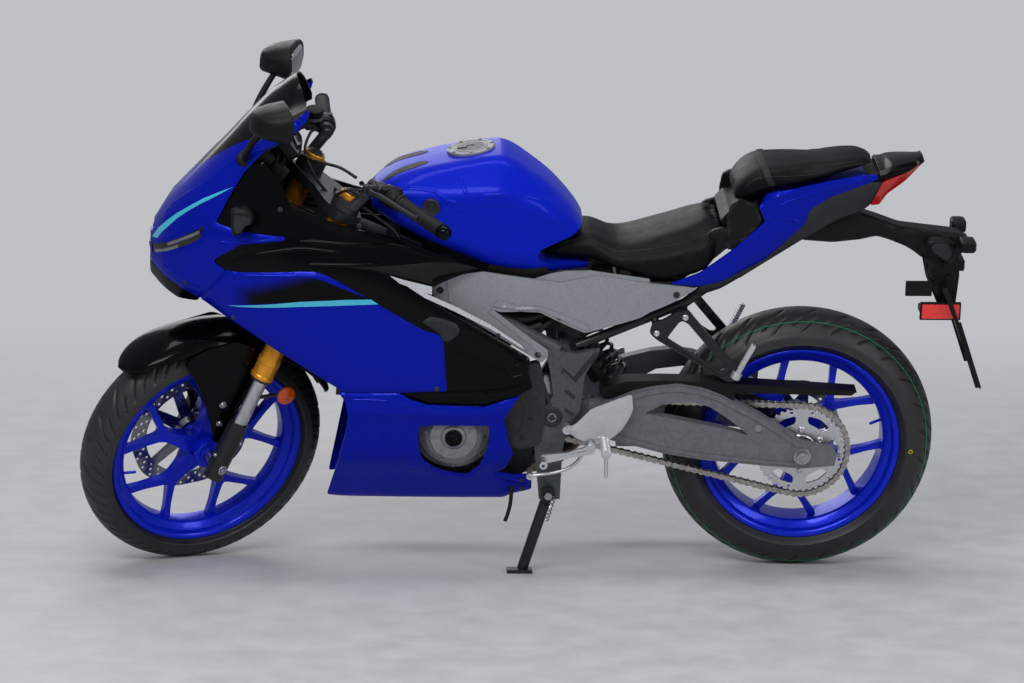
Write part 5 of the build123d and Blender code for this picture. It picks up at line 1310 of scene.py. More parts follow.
# ---- engine covers, radiator, exhaust -----------------------------------------------------------
COVER_AT = Vector((-797, 0, 376))
bm = bmesh.new()
for side in (-1, 1):
    deep = 186 if side < 0 else 184
    steps = [(CORE, deep), (22, deep), (26, deep - 2), (28, deep - 5), (30, deep - 3), (52, deep - 4),
             (55, deep - 7), (57, deep - 14), (64, deep - 18), (68.5, deep - 24), (69, 142.5), (80, 141),
             (82, 138), (82, 128), (94, 126), (96, 122), (96, 110.5)]
    lathe(bm, steps, COVER_AT, (0, side, 0), 72, closed=False)
    for p in ring_points(5, 61, COVER_AT, side * (deep - 19), 0.4):
        hex_bolt(bm, p, (0, side, 0), 5.0, 5)
    for p in ring_points(8, 89, COVER_AT, side * 127):
        hex_bolt(bm, p, (0, side, 0), 4.6, 5)
for k in range(7):
    a = 2 * math.pi * (k + 0.5) / 7
    at = COVER_AT + Vector((42 * math.cos(a), -183.6, 42 * math.sin(a)))
    box_at(bm, Matrix.Translation(at) @ Matrix.Rotation(-a, 4, "Y"), (17, 3.4, 3.2))
place("engine_cover_castings", bm, "root", CASTING, sharp=32)

bm = bmesh.new()
lathe(bm, [(8, 186), (20, 186), (20, 189.5), (18.5, 191), (9, 191), (8, 190)], COVER_AT, (0, -1, 0), 36)
for k in range(4):
    a = math.pi * k / 4
    box_at(bm, Matrix.Translation(COVER_AT + Vector((0, -189.4, 0))) @ Matrix.Rotation(a, 4, "Y"),
           (19, 2.6, 2.4))
place("engine_cover_hub", bm, "root", BLACK, bevel=0.4)

sprocket_cover = [(-735, 352), (-640, 330), (-600, 340), (-588, 410), (-590, 480), (-604, 540), (-640, 530),
                  (-700, 500), (-735, 480)]
bm = bmesh.new()
slab(bm, sprocket_cover, -137.5, -110.5, step=30, round_by=12)
rib = rounded([(-722, 366), (-648, 360), (-632, 386), (-626, 428), (-640, 468), (-698, 486), (-722, 470)], 9)
rib_in = rounded([(-714, 374), (-652, 368), (-641, 390), (-635, 426), (-647, 460), (-698, 477), (-714, 464)],
                 7)
slab(bm, rib, -139.0, -137.0, holes=[rib_in], step=40)
for x, z in ((-726, 360), (-640, 356), (-620, 404), (-640, 478), (-700, 493), (-728, 430)):
    hex_bolt(bm, Vector((x * 0.985 - 10.4, -137.5, z * 0.97 + 12.6)), (0, -1, 0), 4.6, 5)
place("sprocket_cover_casting", bm, "root", ENGINE, ["engine_covers"], bevel=2.0)

bm = bmesh.new()
block(bm, (-1062, -1038), (-148, -128), (466, 639))
block(bm, (-1062, -1038), (128, 148), (466, 639))
for k in range(40):
    z = lerp(469, 636, k / 39)
    block(bm, (-1060, -1040), (-129, 129), (z - 0.8, z + 0.8))
for k in range(21):
    y = lerp(-126, 126, k / 20)
    block(bm, (-1058, -1042), (y - 1, y + 1), (467, 638))
block(bm, (-1063, -1037), (-150, 150), (465, 469))
block(bm, (-1063, -1037), (-150, 150), (636, 640))
place("radiator_core", bm, "root", ENGINE, ["radiator"])

# The silencer's middle line, and how far its sections lean back and are narrower and taller than round
SILENCER = [(-500, 168, 268), (-420, 186, 290), (-110, 196, 356), (-84, 196, 362)]
SLANT, NARROW, TALL = 0.2, 0.83, 1.06


def silencer_ring(x, radius, back=0.0):
    """Section of the silencer at x, moved back a little where it is one rim of a band."""
    y, z = (track([(p[0], p[i]) for p in SILENCER], x) for i in (1, 2))
    turns = [2 * math.pi * i / 40 for i in range(40)]
    return [Vector((x + back + SLANT * radius * math.sin(a), y + NARROW * radius * math.cos(a),
                    z + TALL * radius * math.sin(a))) for a in turns]


bm = bmesh.new()
rings = []
for k in range(41):
    x = lerp(-500, -84, k / 40)
    r = track([(-500, 24), (-470, 38), (-420, 54), (-260, 57.5), (-110, 58), (-96, 54), (-84, 46)], x)
    rings.append(silencer_ring(x, r))
loft(bm, rings)
lathe(bm, [(15, -3), (20, -3), (20, 10), (18, 11), (16, 10), (15, 0)], SILENCER[-1], (1, 0, 0.1), 28)
place("silencer_body", bm, "root", CAST, sharp=40)

bm = bmesh.new()
for x, r in ((-432, 53.5), (-250, 58.5), (-112, 59)):
    rims = ((-7, r - 1), (-6, r + 0.8), (6, r + 0.8), (7, r - 1))
    loft(bm, [silencer_ring(x, rim, back) for back, rim in rims], closed_ends=False)
place("silencer_bands", bm, "root", STEEL, bevel=0.3)

bm = bmesh.new()
tube(bm, [(-960, 40, 552), (-990, 40, 538), (-1006, 40, 500), (-1008, 40, 380), (-1006, 42, 262),
          (-985, 44, 226), (-940, 46, 216), (-760, 50, 214), (-600, 58, 219), (-560, 74, 226),
          (-510, 120, 254), (-474, 158, 276)],
     20, 24, count=90)
for y in (-52, -6, 86):
    tube(bm, [(-960, y, 552), (-990, y, 538), (-1004, lerp(y, 40, 0.3), 490), (-1008, lerp(y, 40, 0.6), 380),
              (-1006, lerp(y, 40, 0.85), 270), (-985, 42, 234)], 16, 18, count=50)
place("exhaust_headers", bm, "root", HEADER, ["exhaust"], sharp=60)

# ---- front fender, forks, brakes ----------------------------------------------------------------
# Half section of the fender as (radius, y), its ridge last, and its ends in degrees from straight up
FENDER = [(284, 66), (292, 66), (300, 63.5), (308, 58), (315, 49), (321, 35), (325, 18), (326.4, 0)]
FENDER_REAR, FENDER_TIP = -73, 39


def share_of(value, whole):
    """Part of a whole, held between none and all of it."""
    return max(0.0, min(1.0, value / whole))


def domed_plate(bm, outline, corner, rim, y_flat, y_edge, rise, reach):
    """A plate with one flat face; the other rises from its edge like a cushion, over a reach."""
    line = rounded(outline, corner)
    pts, faces = fill(line, step=12, rim=rim)
    low, high = [], []
    for p in pts:
        near = share_of(edge_distance([line], p.x, p.y), reach)
        low.append(Vector((p.x, y_flat, p.y)))
        high.append(Vector((p.x, y_edge + rise * math.sin(near * math.pi / 2), p.y)))
    solid_between(bm, low, high, faces)


bm = bmesh.new()
rings = []
for k in range(75):
    a = lerp(FENDER_REAR, FENDER_TIP, k / 74)
    c, s = math.cos(math.radians(a)), math.sin(math.radians(a))
    ahead, behind = FENDER_TIP - a, a - FENDER_REAR
    width = (max(0.1, math.sqrt(1 - (1 - share_of(ahead, 20)) ** 2.4))
             * max(0.3, math.sqrt(1 - (1 - share_of(behind, 26)) ** 2) * 0.7 + 0.3))
    deep = lerp(0.25, 1.0, share_of(ahead, 34)) * lerp(0.35, 1.0, share_of(behind, 40))
    ridge_r = FENDER[-1][0]
    outer = [(ridge_r - (ridge_r - r) * deep, -y * width) for r, y in FENDER]
    outer += [(r, -y) for r, y in reversed(outer[:-1])]
    inner = [(r - 3.2, y * 0.955) for r, y in reversed(outer)]
    rings.append([FRONT_AXLE + Vector((-r * s, y, r * c)) for r, y in outer + inner])
loft(bm, rings)
place("front_fender_shell", bm, "steering", BLACK, ["front_fender"], bevel=1.0, sharp=50)

bm = bmesh.new()
leg = [(-1448, 572), (-1400, 592), (-1330, 600), (-1262, 560), (-1270, 520), (-1318, 430), (-1362, 336),
       (-1378, 342), (-1396, 430), (-1420, 500), (-1440, 540)]
for side in (-1, 1):
    domed_plate(bm, leg, 12, 6, side * 69.5, side * 72.2, side * 4.0, 22)
place("fender_legs", bm, "steering", BLACK, sharp=35)

bm = bmesh.new()
for side in (-1, 1):
    for x, z in ((-1361, 441), (-1368, 392)):
        lathe(bm, [(CORE, 1.0), (3.2, 1.0), (3.6, 4.4), (5.4, 4.4), (6.4, 3.2), (6.4, 0.8), (8.4, 0.6),
                   (8.4, -1.0)],
              Vector((x, side * 76.0, z)), (0, side, 0), 20, closed=False)
place("fender_leg_bolts", bm, "steering", STEEL, sharp=35)


def fork_at(z, y, ahead=0.0):
    """Point of a fork leg's middle line at a height, or so far ahead of it."""
    x = FRONT_AXLE.x + (z - FRONT_R) * SIN_RAKE / COS_RAKE
    return Vector((x - ahead * COS_RAKE, y, z + ahead * SIN_RAKE))


for name, rows, material, slot_name, node in (
        ("fork_gold_tubes", [(18.6, 512), (26.6, 512), (27, 514), (27, 519), (25.6, 521), (25.6, 545),
                             (27, 547), (27, 556), (24.5, 560), (24.5, 948), (23, 950), (14, 950), (14, 946),
                             (18.6, 946)],
         GOLD, "gold", "fork_outer_tubes"),
        ("fork_chrome_tubes", [(0.5, 362), (18.5, 362), (18.5, 570), (0.5, 570)], CHROME, "chrome",
         "fork_inner_tubes")):
    bm = bmesh.new()
    for y in (-FORK_Y, FORK_Y):
        base = fork_at(rows[0][1], y)
        lathe(bm, [(r, (z - rows[0][1]) / COS_RAKE) for r, z in rows], base, STEER_DIR, 48)
    place(name, bm, "steering", material, [node], sharp=30)
bm = bmesh.new()
for y in (-FORK_Y, FORK_Y):
    base = fork_at(505, y)
    lathe(bm, [(18.6, 0), (24.5, 1), (25.5, 3), (25.5, 7.4), (18.6, 7.4)], base, STEER_DIR, 40)
    top = fork_at(951, y)
    lathe(bm, [(CORE, 0.5), (8, 0.5), (9, 6), (14, 6), (15, 2), (22, 1.5), (22.5, 0), (22.5, -1)], top,
          STEER_DIR, 6, closed=False)
place("fork_seals_and_caps", bm, "steering", CAST, bevel=0.5)

bm = bmesh.new()
for y in (-FORK_Y, FORK_Y):
    out = 1 if y > 0 else -1
    hex_bolt(bm, fork_at(298, y + out * 22.6), (0, out, 0), 8.5, 7)
    hex_bolt(bm, fork_at(320, y + out * 4, 22), (-COS_RAKE, 0, SIN_RAKE), 5, 5)
place("fork_bolts", bm, "steering", CHROME)

bm = bmesh.new()
ref = Vector((-1213, -90, 444))
bar(bm, (-1300, -88, 452), (-1216, -88, 446), 4.5, cap=1)
place("reflector_bracket", bm, "steering", CAST)

bm = bmesh.new()
lathe(bm, [(CORE, 0), (21, 0), (22, 2), (22, 6), (18.5, 8.5), (CORE, 9.5)], ref, (0, -1, 0), 32, closed=False)
place("fork_reflector", bm, "steering", AMBER)

# ---- stripes, trim and painted highlights on the panels -----------------------------------------
def decal(name, outline, material, outside=-0.35, wall=0.3):
    """A thin sheet of paint on the fairing, on both sides."""
    bm = bmesh.new()
    side_panel(bm, outline, fairing_w, outside=outside, wall=wall, step=9.0, round_by=1.0)
    mirror_y(bm)
    place(name, bm, "root", material)


def bike_socket(mat):
    """Texture coordinates in the bike's own upright millimetres."""
    nodes, links = mat.node_tree.nodes, mat.node_tree.links
    mapping = nodes.new("ShaderNodeMapping")
    shift, turn, size = UPRIGHT.decompose()
    mapping.inputs["Location"].default_value = shift
    mapping.inputs["Rotation"].default_value = turn.to_euler()
    mapping.inputs["Scale"].default_value = size
    links.new(nodes.new("ShaderNodeTexCoord").outputs["Object"], mapping.inputs["Vector"])
    split = nodes.new("ShaderNodeSeparateXYZ")
    links.new(mapping.outputs["Vector"], split.inputs["Vector"])
    return split


def faded_band():
    """Black above the stripe that melts into the blue further up and further forward. Its upper
    edge climbs to the rear at a slope from where it starts."""
    start, slope_up, edge, gone = -1290, 0.3, 695, 742
    mat = body_paint("faded_band")
    nodes, links = mat.node_tree.nodes, mat.node_tree.links
    split = bike_socket(mat)
    slope = nodes.new("ShaderNodeMath")
    slope.operation = "MULTIPLY_ADD"
    slope.inputs[1].default_value = -slope_up
    links.new(split.outputs["X"], slope.inputs[0])
    links.new(split.outputs["Z"], slope.inputs[2])
    fade = nodes.new("ShaderNodeMapRange")
    fade.interpolation_type = "SMOOTHSTEP"
    fade.inputs["From Min"].default_value = edge - slope_up * start
    fade.inputs["From Max"].default_value = gone - slope_up * start
    links.new(slope.outputs["Value"], fade.inputs["Value"])
    ahead_fade = nodes.new("ShaderNodeMapRange")
    ahead_fade.interpolation_type = "SMOOTHSTEP"
    ahead_fade.inputs["From Min"].default_value = -1300
    ahead_fade.inputs["From Max"].default_value = -1238
    ahead_fade.inputs["To Min"].default_value = 1.0
    ahead_fade.inputs["To Max"].default_value = 0.0
    links.new(split.outputs["X"], ahead_fade.inputs["Value"])
    both = nodes.new("ShaderNodeMath")
    both.operation = "MAXIMUM"
    links.new(fade.outputs["Result"], both.inputs[0])
    links.new(ahead_fade.outputs["Result"], both.inputs[1])
    blend = nodes.new("ShaderNodeMix")
    blend.data_type = "RGBA"
    base = next(n for n in nodes if n.type == "VALTORGB")
    sockets = [k for k in blend.inputs if k.type == "RGBA"]
    sockets[0].default_value = rgb("040406")
    links.new(base.outputs["Color"], sockets[1])
    links.new(both.outputs["Value"], blend.inputs[0])
    out = next(k for k in blend.outputs if k.type == "RGBA")
    links.new(out, nodes["Principled BSDF"].inputs["Base Color"])
    return mat


decal("side_black_band", [(-1300, 688), (-1282, 740), (-1200, 757), (-1118, 763), (-1088, 754), (-985, 712),
                          (-1041, 711), (-1140, 705)], faded_band())
decal("side_cyan_stripe", [(-1304, 684), (-1140, 705), (-1041, 711), (-983, 712), (-967, 701), (-1041, 698),
                           (-1141, 693), (-1275, 684)], CYAN, outside=-0.5)
decal("nose_cyan_stripe", [(-1477, 804), (-1461, 831), (-1442, 853), (-1416, 877), (-1386, 899), (-1355, 919),
                           (-1323, 935), (-1289, 950), (-1332, 924), (-1362, 907), (-1391, 887),
                           (-1416, 866), (-1437, 844), (-1452, 827), (-1464, 808)],
      CYAN, outside=-0.5)
# Painted highlights: a light grey wedge and line on the gloss black inner panels, where they catch the light
decal("upper_silver_wedge", [(-942, 762), (-908, 751), (-848, 734), (-848, 717), (-858, 720), (-919, 744)],
      PAINTED_HIGHLIGHT, outside=3.7, wall=0.6)
decal("upper_silver_line", [(-926, 753), (-852, 716), (-786, 685), (-718, 646), (-646, 594), (-641, 585),
                            (-718, 637), (-797, 679), (-864, 711)],
      PAINTED_HIGHLIGHT, outside=3.7, wall=0.6)

bm = bmesh.new()
side_panel(bm, [(-870, 659), (-852, 671), (-823, 665), (-794, 653), (-785, 639), (-790, 628), (-809, 613),
                (-823, 614), (-830, 632)], fairing_w, outside=-3.0, wall=7.0, step=9, round_by=5, roll=2.5)
mirror_y(bm)
place("side_vents", bm, "root", DARK_PLASTIC, bevel=0.6)

bm = bmesh.new()
side_panel(bm, [(-1041, 783), (-924, 783), (-853, 786), (-797, 782), (-746, 768), (-830, 757), (-848, 750),
                (-848, 739), (-919, 760), (-986, 777)], fairing_w, outside=2.2, wall=2.4, step=9, round_by=3,
           roll=1.4)
mirror_y(bm)
place("upper_matt_panels", bm, "root", PLASTIC, bevel=0.4)


def skin(obj):
    """The surface of a placed piece, to set trim on."""
    return BVHTree.FromPolygons([v.co for v in obj.data.vertices], [p.vertices for p in obj.data.polygons])


def on_skin(tree, x, z, side=-1):
    """The spot of a surface seen from the side at (x, z), and which way it faces."""
    far = PARK @ Vector((x, side * 600, z))
    aim = (PARK.to_3x3() @ Vector((0, -side, 0))).normalized()
    hit, normal, _, _ = tree.ray_cast(far, aim)
    if hit is None:
        return None, None
    facing = (UPRIGHT.to_3x3() @ normal).normalized()
    return UPRIGHT @ hit, facing if facing.y * side > 0 else -facing


def ridge(bm, tree, path, radius=5.0, sunk=3.4):
    """A soft bead along a line drawn on a surface, pointed at both ends."""
    line = curve_points([Vector((x, 0, z)) for x, z in path], 40)
    spots = []
    for p in line:
        hit, facing = on_skin(tree, p.x, p.z)
        if hit is not None:
            spots.append(hit - facing * sunk)
    if len(spots) > 4:
        smooth = ([spots[0]] + [(a + b * 2 + c) / 4 for a, b, c in zip(spots, spots[1:], spots[2:])]
                  + [spots[-1]])
        tube(bm, smooth, lambda t: radius * (0.25 + 0.75 * min(1, 6 * t, 6 * (1 - t))), 12, count=60)


named = {o.name: o for o in bpy.data.objects}
upper, side, lower, tail = (skin(named[n]) for n in (
    "inner_panel_shells", "side_fairing_shells", "belly_cowl_shell", "tail_cowl_shell"))
fuel, nose = skin(named["fuel_tank_shell"]), skin(named["front_cowl_shell"])
bm = bmesh.new()
for path in ([(-1318, 776), (-1272, 797), (-1223, 811), (-1165, 820), (-1123, 822), (-1074, 816),
              (-1010, 812)],
             [(-1176, 838), (-1118, 838), (-1052, 832), (-986, 828), (-920, 822), (-850, 797), (-797, 778)],
             [(-1140, 789), (-1052, 787), (-964, 785), (-930, 782)],
             [(-820, 600), (-740, 560), (-680, 535), (-640, 515)],
             [(-650, 560), (-664, 536), (-668, 522), (-640, 530)]):
    ridge(bm, upper, path, 6.0, 3.6)
mirror_y(bm)
place("upper_gloss_ridges", bm, "root", BLACK, sharp=70)

bm = bmesh.new()
for path in ([(-1352, 700), (-1300, 745), (-1273, 757), (-1190, 762), (-1107, 766), (-1074, 757),
              (-1035, 735), (-960, 690), (-870, 634), (-836, 616)],
             [(-836, 618), (-826, 560), (-820, 500)]):
    ridge(bm, side, path, 7.0, 5.7)
for path in ([(-1462, 760), (-1400, 730), (-1345, 722), (-1310, 735)],
             [(-1340, 838), (-1300, 830), (-1240, 836), (-1186, 842)]):
    ridge(bm, nose, path, 5.0, 3.4)
for path in ([(-976, 448), (-929, 437), (-851, 434), (-750, 436), (-722, 446)],
             [(-972, 443), (-936, 379), (-904, 306), (-858, 300)], [(-690, 440), (-682, 400), (-676, 372)],
             [(-1050, 470), (-990, 472), (-930, 468)], [(-690, 262), (-650, 250), (-620, 246)]):
    ridge(bm, lower, path, 5.4, 3.4)
for path in ([(-118, 884), (-60, 878), (-20, 868), (13, 874), (68, 911), (112, 944)],
             [(-100, 896), (-45, 920), (10, 936), (88, 955), (140, 972)]):
    ridge(bm, tail, path, 5.0, 3.2)
mirror_y(bm)
place("body_creases", bm, "root", BLUE, sharp=70)

bm = bmesh.new()
for path in ([(-929, 944), (-876, 945), (-841, 940), (-807, 917), (-769, 923)],
             [(-807, 917), (-831, 866), (-844, 843)],
             [(-769, 922), (-743, 932), (-698, 936), (-654, 935), (-609, 924), (-576, 905), (-562, 882)],
             [(-800, 880), (-785, 899), (-767, 920)], [(-790, 976), (-780, 953), (-769, 928)],
             [(-960, 870), (-900, 838), (-830, 818), (-780, 812)]):
    ridge(bm, fuel, path, 13.0, 11.6)
mirror_y(bm)
place("tank_creases", bm, "root", TANK_BLUE, sharp=70)

bm = bmesh.new()
for side_of in (-1, 1):
    hit, facing = on_skin(fuel, -851, 906, side_of)
    lathe(bm, [(CORE, 3.2), (5, 3.2), (6, 1.8), (13, 1.8), (14.5, 3.4), (18.5, 3.4), (20, 2.2), (20.5, -3)],
          hit, facing, 40, closed=False)
    m = frame_at(hit + facing * 1.6, facing)
    for k in range(8):
        box_at(bm, m @ Matrix.Rotation(math.pi * k / 4, 4, "Z") @ Matrix.Translation((9.4, 0, 0)),
               (6.5, 1.6, 2.4))
place("tank_side_plugs", bm, "root", DARK_PLASTIC, sharp=35)

bm = bmesh.new()
rows = []
for k in range(15):
    x = lerp(-958, -858, k / 14)
    wide = 15 * math.sqrt(max(0.02, 1 - (2 * k / 14 - 1) ** 4))
    row = []
    for i in range(7):
        y = -50 + 10 * k / 14 + wide * (i / 3 - 1)
        hit = fuel.ray_cast(PARK @ Vector((x, y, 1300)), DOWN)[0]
        row.append(UPRIGHT @ hit)
    rows.append([p + Vector((0, 0, 0.9)) for p in row] + [p - Vector((0, 0, 2)) for p in reversed(row)])
loft(bm, rows)
mirror_y(bm)
place("tank_top_slots", bm, "root", LEATHER, sharp=50)

bm = bmesh.new()
side_panel(bm, [(-914, 490), (-855, 463), (-727, 458), (-648, 481), (-633, 512), (-694, 497), (-851, 493)],
           fairing_w, outside=-0.5, wall=5.0, step=9, round_by=4, roll=3.4)
mirror_y(bm)
place("belly_top_trim", bm, "root", BLACK, bevel=0.5)

bm = bmesh.new()
side_panel(bm, [(-978, 448), (-952, 450), (-716, 451), (-708, 440), (-742, 421), (-783, 415), (-840, 416),
                (-888, 405), (-925, 340), (-948, 345), (-966, 415)], belly_w, outside=-1.6, wall=2.2, step=9,
           round_by=4, roll=1.9)
mirror_y(bm)
place("belly_raised_rib", bm, "root", BLUE, bevel=0.4)

bm = bmesh.new()
for width, sunk, spots in ((fairing_w, 0.2, ((-1395, 726), (-1290, 655))),
                           (belly_w, 0.2, ((-640, 225), (-640, 252))),
                           (fairing_w, 0.2, ((-836, 500),)),
                           (fairing_w, 4.6, ((-1010, 868), (-1185, 905), (-700, 620)))):
    for x, z in spots:
        lathe(bm, [(CORE, 1.0), (2.2, 1.0), (2.6, 2.0), (5.0, 1.6), (6.0, 0.6), (6.0, -1)],
              Vector((x, sunk - width(x, z), z)), (0, -1, 0), 14, closed=False)
mirror_y(bm)
place("panel_screws", bm, "root", CAST, sharp=40)

# Nose point below the stripe
bm = bmesh.new()
nose_face(bm, (748, 760, 774, 786.4), -1481.4, 0.4, 4.5)
place("nose_point", bm, "root", BLACK, bevel=0.6)

# Frame cover detail: bolts and the pressed hollow ahead of the rear window
bm = bmesh.new()
for x, z in ((-829, 712), (-560, 650), (-300, 704), (-608, 560)):
    lathe(bm, [(CORE, 1.2), (3, 1.2), (3.4, 3), (6.6, 3), (7.4, 2), (7.4, 0)], Vector((x, -137.6, z)),
          (0, -1, 0), 16, closed=False)
mirror_y(bm)
place("frame_cover_bolts", bm, "root", CAST)

bm = bmesh.new()
slab(bm, [(-806, 742), (-800, 686), (-808, 684), (-815, 741)], -140.2, -137.0, step=20, round_by=1)
slab(bm, [(-712, 676), (-660, 668), (-604, 667), (-560, 646), (-505, 619), (-488, 625), (-556, 657),
          (-600, 674), (-655, 676), (-700, 690)], -141.2, -137.0, step=14, round_by=3)
slab(bm, [(-712, 668), (-600, 578), (-592, 560), (-604, 556), (-614, 572), (-722, 662)], -140.6, -137.0,
     step=14, round_by=3)
mirror_y(bm)
place("frame_cover_ridges", bm, "root", COVER, bevel=1.2)

bm = bmesh.new()
slab(bm, [(-618, 738), (-582, 750), (-549, 756), (-492, 757), (-446, 750), (-361, 739), (-360, 726),
          (-606, 722)],
     -131.5, -127.0, step=20, round_by=3)
mirror_y(bm)
place("frame_cover_tops", bm, "root", COVER, sharp=40)

# Painted line round the rear tyre's shoulder, and its balance dot
bm = bmesh.new()
for sign in (-1, 1):
    a = math.radians(41)
    r, y = REAR_R - 72 + 71.5 * math.cos(a), 71.5 * math.sin(a) * sign
    lathe(bm, [(r, y - 1.1), (r + 0.7, y), (r, y + 1.1), (r - 1.2, y)], REAR_AXLE, segments=160)
place("rear_tyre_line", bm, "rear_wheel", GREEN)

bm = bmesh.new()
lathe(bm, [(3.0, 0), (5.2, 0), (5.2, 0.8), (3.0, 0.8)], Vector((257, -70.4, 302)), (0, -1, 0), 20)
place("rear_tyre_dot", bm, "rear_wheel", YELLOW)

# ---- mirrors ------------------------------------------------------------------------------------
MIRROR_AT, MIRROR_TURN, MIRROR_SIZE = Vector((-1191, -261, 1129)), 11, 0.92
turned = (Matrix.Translation(MIRROR_AT) @ Matrix.Rotation(math.radians(MIRROR_TURN), 4, "Z")
          @ Matrix.Scale(MIRROR_SIZE, 4))
head = [(-58, 14), (-52, 30), (-20, 42), (26, 50), (33, 44), (34, -6), (22, -34), (12, -38), (-54, -18),
        (-60, -8)]
head_line = rounded(head, 13, 5)
bm = bmesh.new()
rows = []
for y, deep, tall in ((-77, 0.22, 0.5), (-72, 0.48, 0.72), (-58, 0.78, 0.9), (-28, 0.96, 1.0), (8, 1.0, 1.0),
                      (38, 0.93, 0.95), (60, 0.7, 0.8), (71, 0.36, 0.55)):
    rows.append([turned @ Vector((34 + (x - 34) * deep, y, 2 + (z - 2) * tall)) for x, z in head_line])
loft(bm, rows)
mirror_y(bm)
place("mirror_housings", bm, "root", PLASTIC, ["mirrors"], sharp=70)

glass = rounded([(-66, 2), (-60, 26), (-34, 40), (40, 38), (60, 22), (58, -12), (34, -28), (-36, -26),
                 (-60, -14)], 12, 4)
bm = bmesh.new()
loft(bm, [[turned @ Vector((x, y * k, z * k)) for y, z in glass]
          for x, k in ((31.5, 0.98), (34.8, 0.98), (35.4, 0.95))])
mirror_y(bm)
place("mirror_glasses", bm, "root", MIRROR, sharp=60)

bm = bmesh.new()
tube(bm, [(-1262, -118, 1012), (-1258, -142, 1030), (-1244, -176, 1062), (-1220, -208, 1100),
          (-1202, -230, 1120)],
     lambda t: lerp(11, 8, t), 14, count=30, flat=0.8)
lathe(bm, [(CORE, 4), (15, 3), (19, 0), (19, -8), (CORE, -8)], Vector((-1262, -120, 1010)), (0.2, -1, 0.5),
      24, closed=False)
mirror_y(bm)
place("mirror_arms", bm, "root", PLASTIC)

# ---- front indicators -----------------------------------------------------------------------------
turn = [(-1291, 921), (-1280, 926), (-1256, 924), (-1242, 913), (-1238, 900), (-1244, 888), (-1258, 884),
        (-1267, 864), (-1284, 859), (-1292, 872)]
turn_middle = (-1266.0, 896.0)
turn_line = rounded(turn, 9, 3)
bm = bmesh.new()
scaled_loft(bm, turn_line, turn_middle,
        ((-226, 0.55), (-225, 0.8), (-219, 0.95), (-205, 1.0), (-196, 0.94), (-191, 0.7)))
bar(bm, (-1264, -150, 902), (-1264, -194, 902), 10, segments=18, cap=1)
mirror_y(bm)
place("front_indicator_housings", bm, "root", PLASTIC, sharp=60)

bm = bmesh.new()
scaled_loft(bm, turn_line, turn_middle, ((-219, 0.74), (-226.6, 0.7), (-227.8, 0.6)))
mirror_y(bm)
place("front_indicator_lenses", bm, "root", DARK_GLASS, sharp=50)

# ---- bars and controls ----------------------------------------------------------------------------
BAR_IN, BAR_OUT = Vector((-1036, -128, 978)), Vector((-955, -340, 950))
bar_dir = (BAR_OUT - BAR_IN).normalized()


def on_bar(distance):
    """Point of the left bar, so far out from its inner end."""
    return BAR_IN + bar_dir * distance


bm = bmesh.new()
rows = [(11.3, 84), (20.5, 84), (21, 86), (21, 89.5), (17, 92)]
for k in range(24):
    s = 94 + k * 4.8
    rows += [(16.6, s), (16.6, s + 3.0), (15.9, s + 3.4), (15.9, s + 4.4)]
rows += [(17.2, 210), (17.2, 212), (11.3, 212)]
lathe(bm, rows, BAR_IN, bar_dir, 40)
mirror_y(bm)
place("grip_rubbers", bm, "steering", RUBBER, ["grips"], sharp=50)

bm = bmesh.new()
lathe(bm, [(CORE, 212.4), (14, 212.4), (16.4, 215), (17, 220), (16.4, 227), (13.6, 233), (9, 236.6), (4, 238),
           (CORE, 238.2)],
      BAR_IN, bar_dir, 36, closed=False)
mirror_y(bm)
place("bar_end_weights", bm, "steering", BLACK, bevel=0.4, sharp=40)

bm = bmesh.new()
lathe(bm, [(11.3, 37), (19, 37), (22, 40), (23.5, 46), (23.5, 58), (22.4, 58.8), (23.5, 59.6), (23.5, 72),
           (22, 79), (19, 82), (11.3, 82)], BAR_IN, bar_dir, 36)
bar_frame = frame_at(on_bar(60), bar_dir)
for dx, dy, dz, size in ((-14, 17, -10, (15, 12, 13)), (10, 19, 6, (12, 9, 16)), (-20, 4, 8, (9, 13, 12))):
    box_at(bm, bar_frame @ Matrix.Translation((dx, dy, dz)), size)
mirror_y(bm)
place("switch_housings", bm, "steering", PLASTIC, ["bar_controls"], bevel=1.6, sharp=40)

bm = bmesh.new()
root_at = on_bar(24) + Vector((-40, -11, 14))
lathe(bm, [(11.3, 15), (16, 15), (17.5, 17), (17.5, 32), (16, 34), (11.3, 34)], BAR_IN, bar_dir, 28)
bar(bm, on_bar(24) + Vector((-6, 0, 2)), on_bar(24) + Vector((-42, -12, 15)), 10.5, 9, cap=1.5)
lathe(bm, [(CORE, 11), (7, 11), (8, 9), (8, -9), (7, -11), (CORE, -11)], root_at, (0, 0, 1), 20, closed=False)
mirror_y(bm)
place("lever_perches", bm, "steering", CAST, bevel=0.5)

bm = bmesh.new()
lever_path = [root_at, root_at + bar_dir * 30 + Vector((-8, 0, 6)),
              root_at + bar_dir * 66 + Vector((-9, 0, 14)), on_bar(146) + Vector((-48, 0, 27)),
              on_bar(196) + Vector((-46, 0, 27))]
tube(bm, lever_path, lambda t: lerp(7.5, 5.6, min(1, t * 1.6)) + (2.4 if t > 0.97 else 0), 14, count=46,
     flat=0.72)
mirror_y(bm)
place("hand_levers", bm, "steering", CAST, sharp=70)

bm = bmesh.new()
cup = on_bar(30) + Vector((-30, 0, 0))
cup.y = -cup.y
lathe(bm, [(CORE, 22), (15, 22), (18, 25), (20, 30), (20, 49), (21.5, 49.5), (21.5, 55), (20, 57), (6, 57.6),
           (CORE, 57.6)],
      cup, (0, 0, 1), 40, closed=False)
bar(bm, cup + Vector((4, -6, 25)), cup + Vector((14, -10, 10)), 6, 6)
place("brake_reservoir", bm, "steering", PLASTIC, sharp=35)

bm = bmesh.new()
lathe(bm, [(CORE, 0), (20.4, 0), (20.6, 5), (20.4, 8), (CORE, 8)], cup + Vector((0, 0, 32)), (0, 0, 1), 40,
      closed=False)
place("brake_reservoir_window", bm, "steering", GREY_PLASTIC)

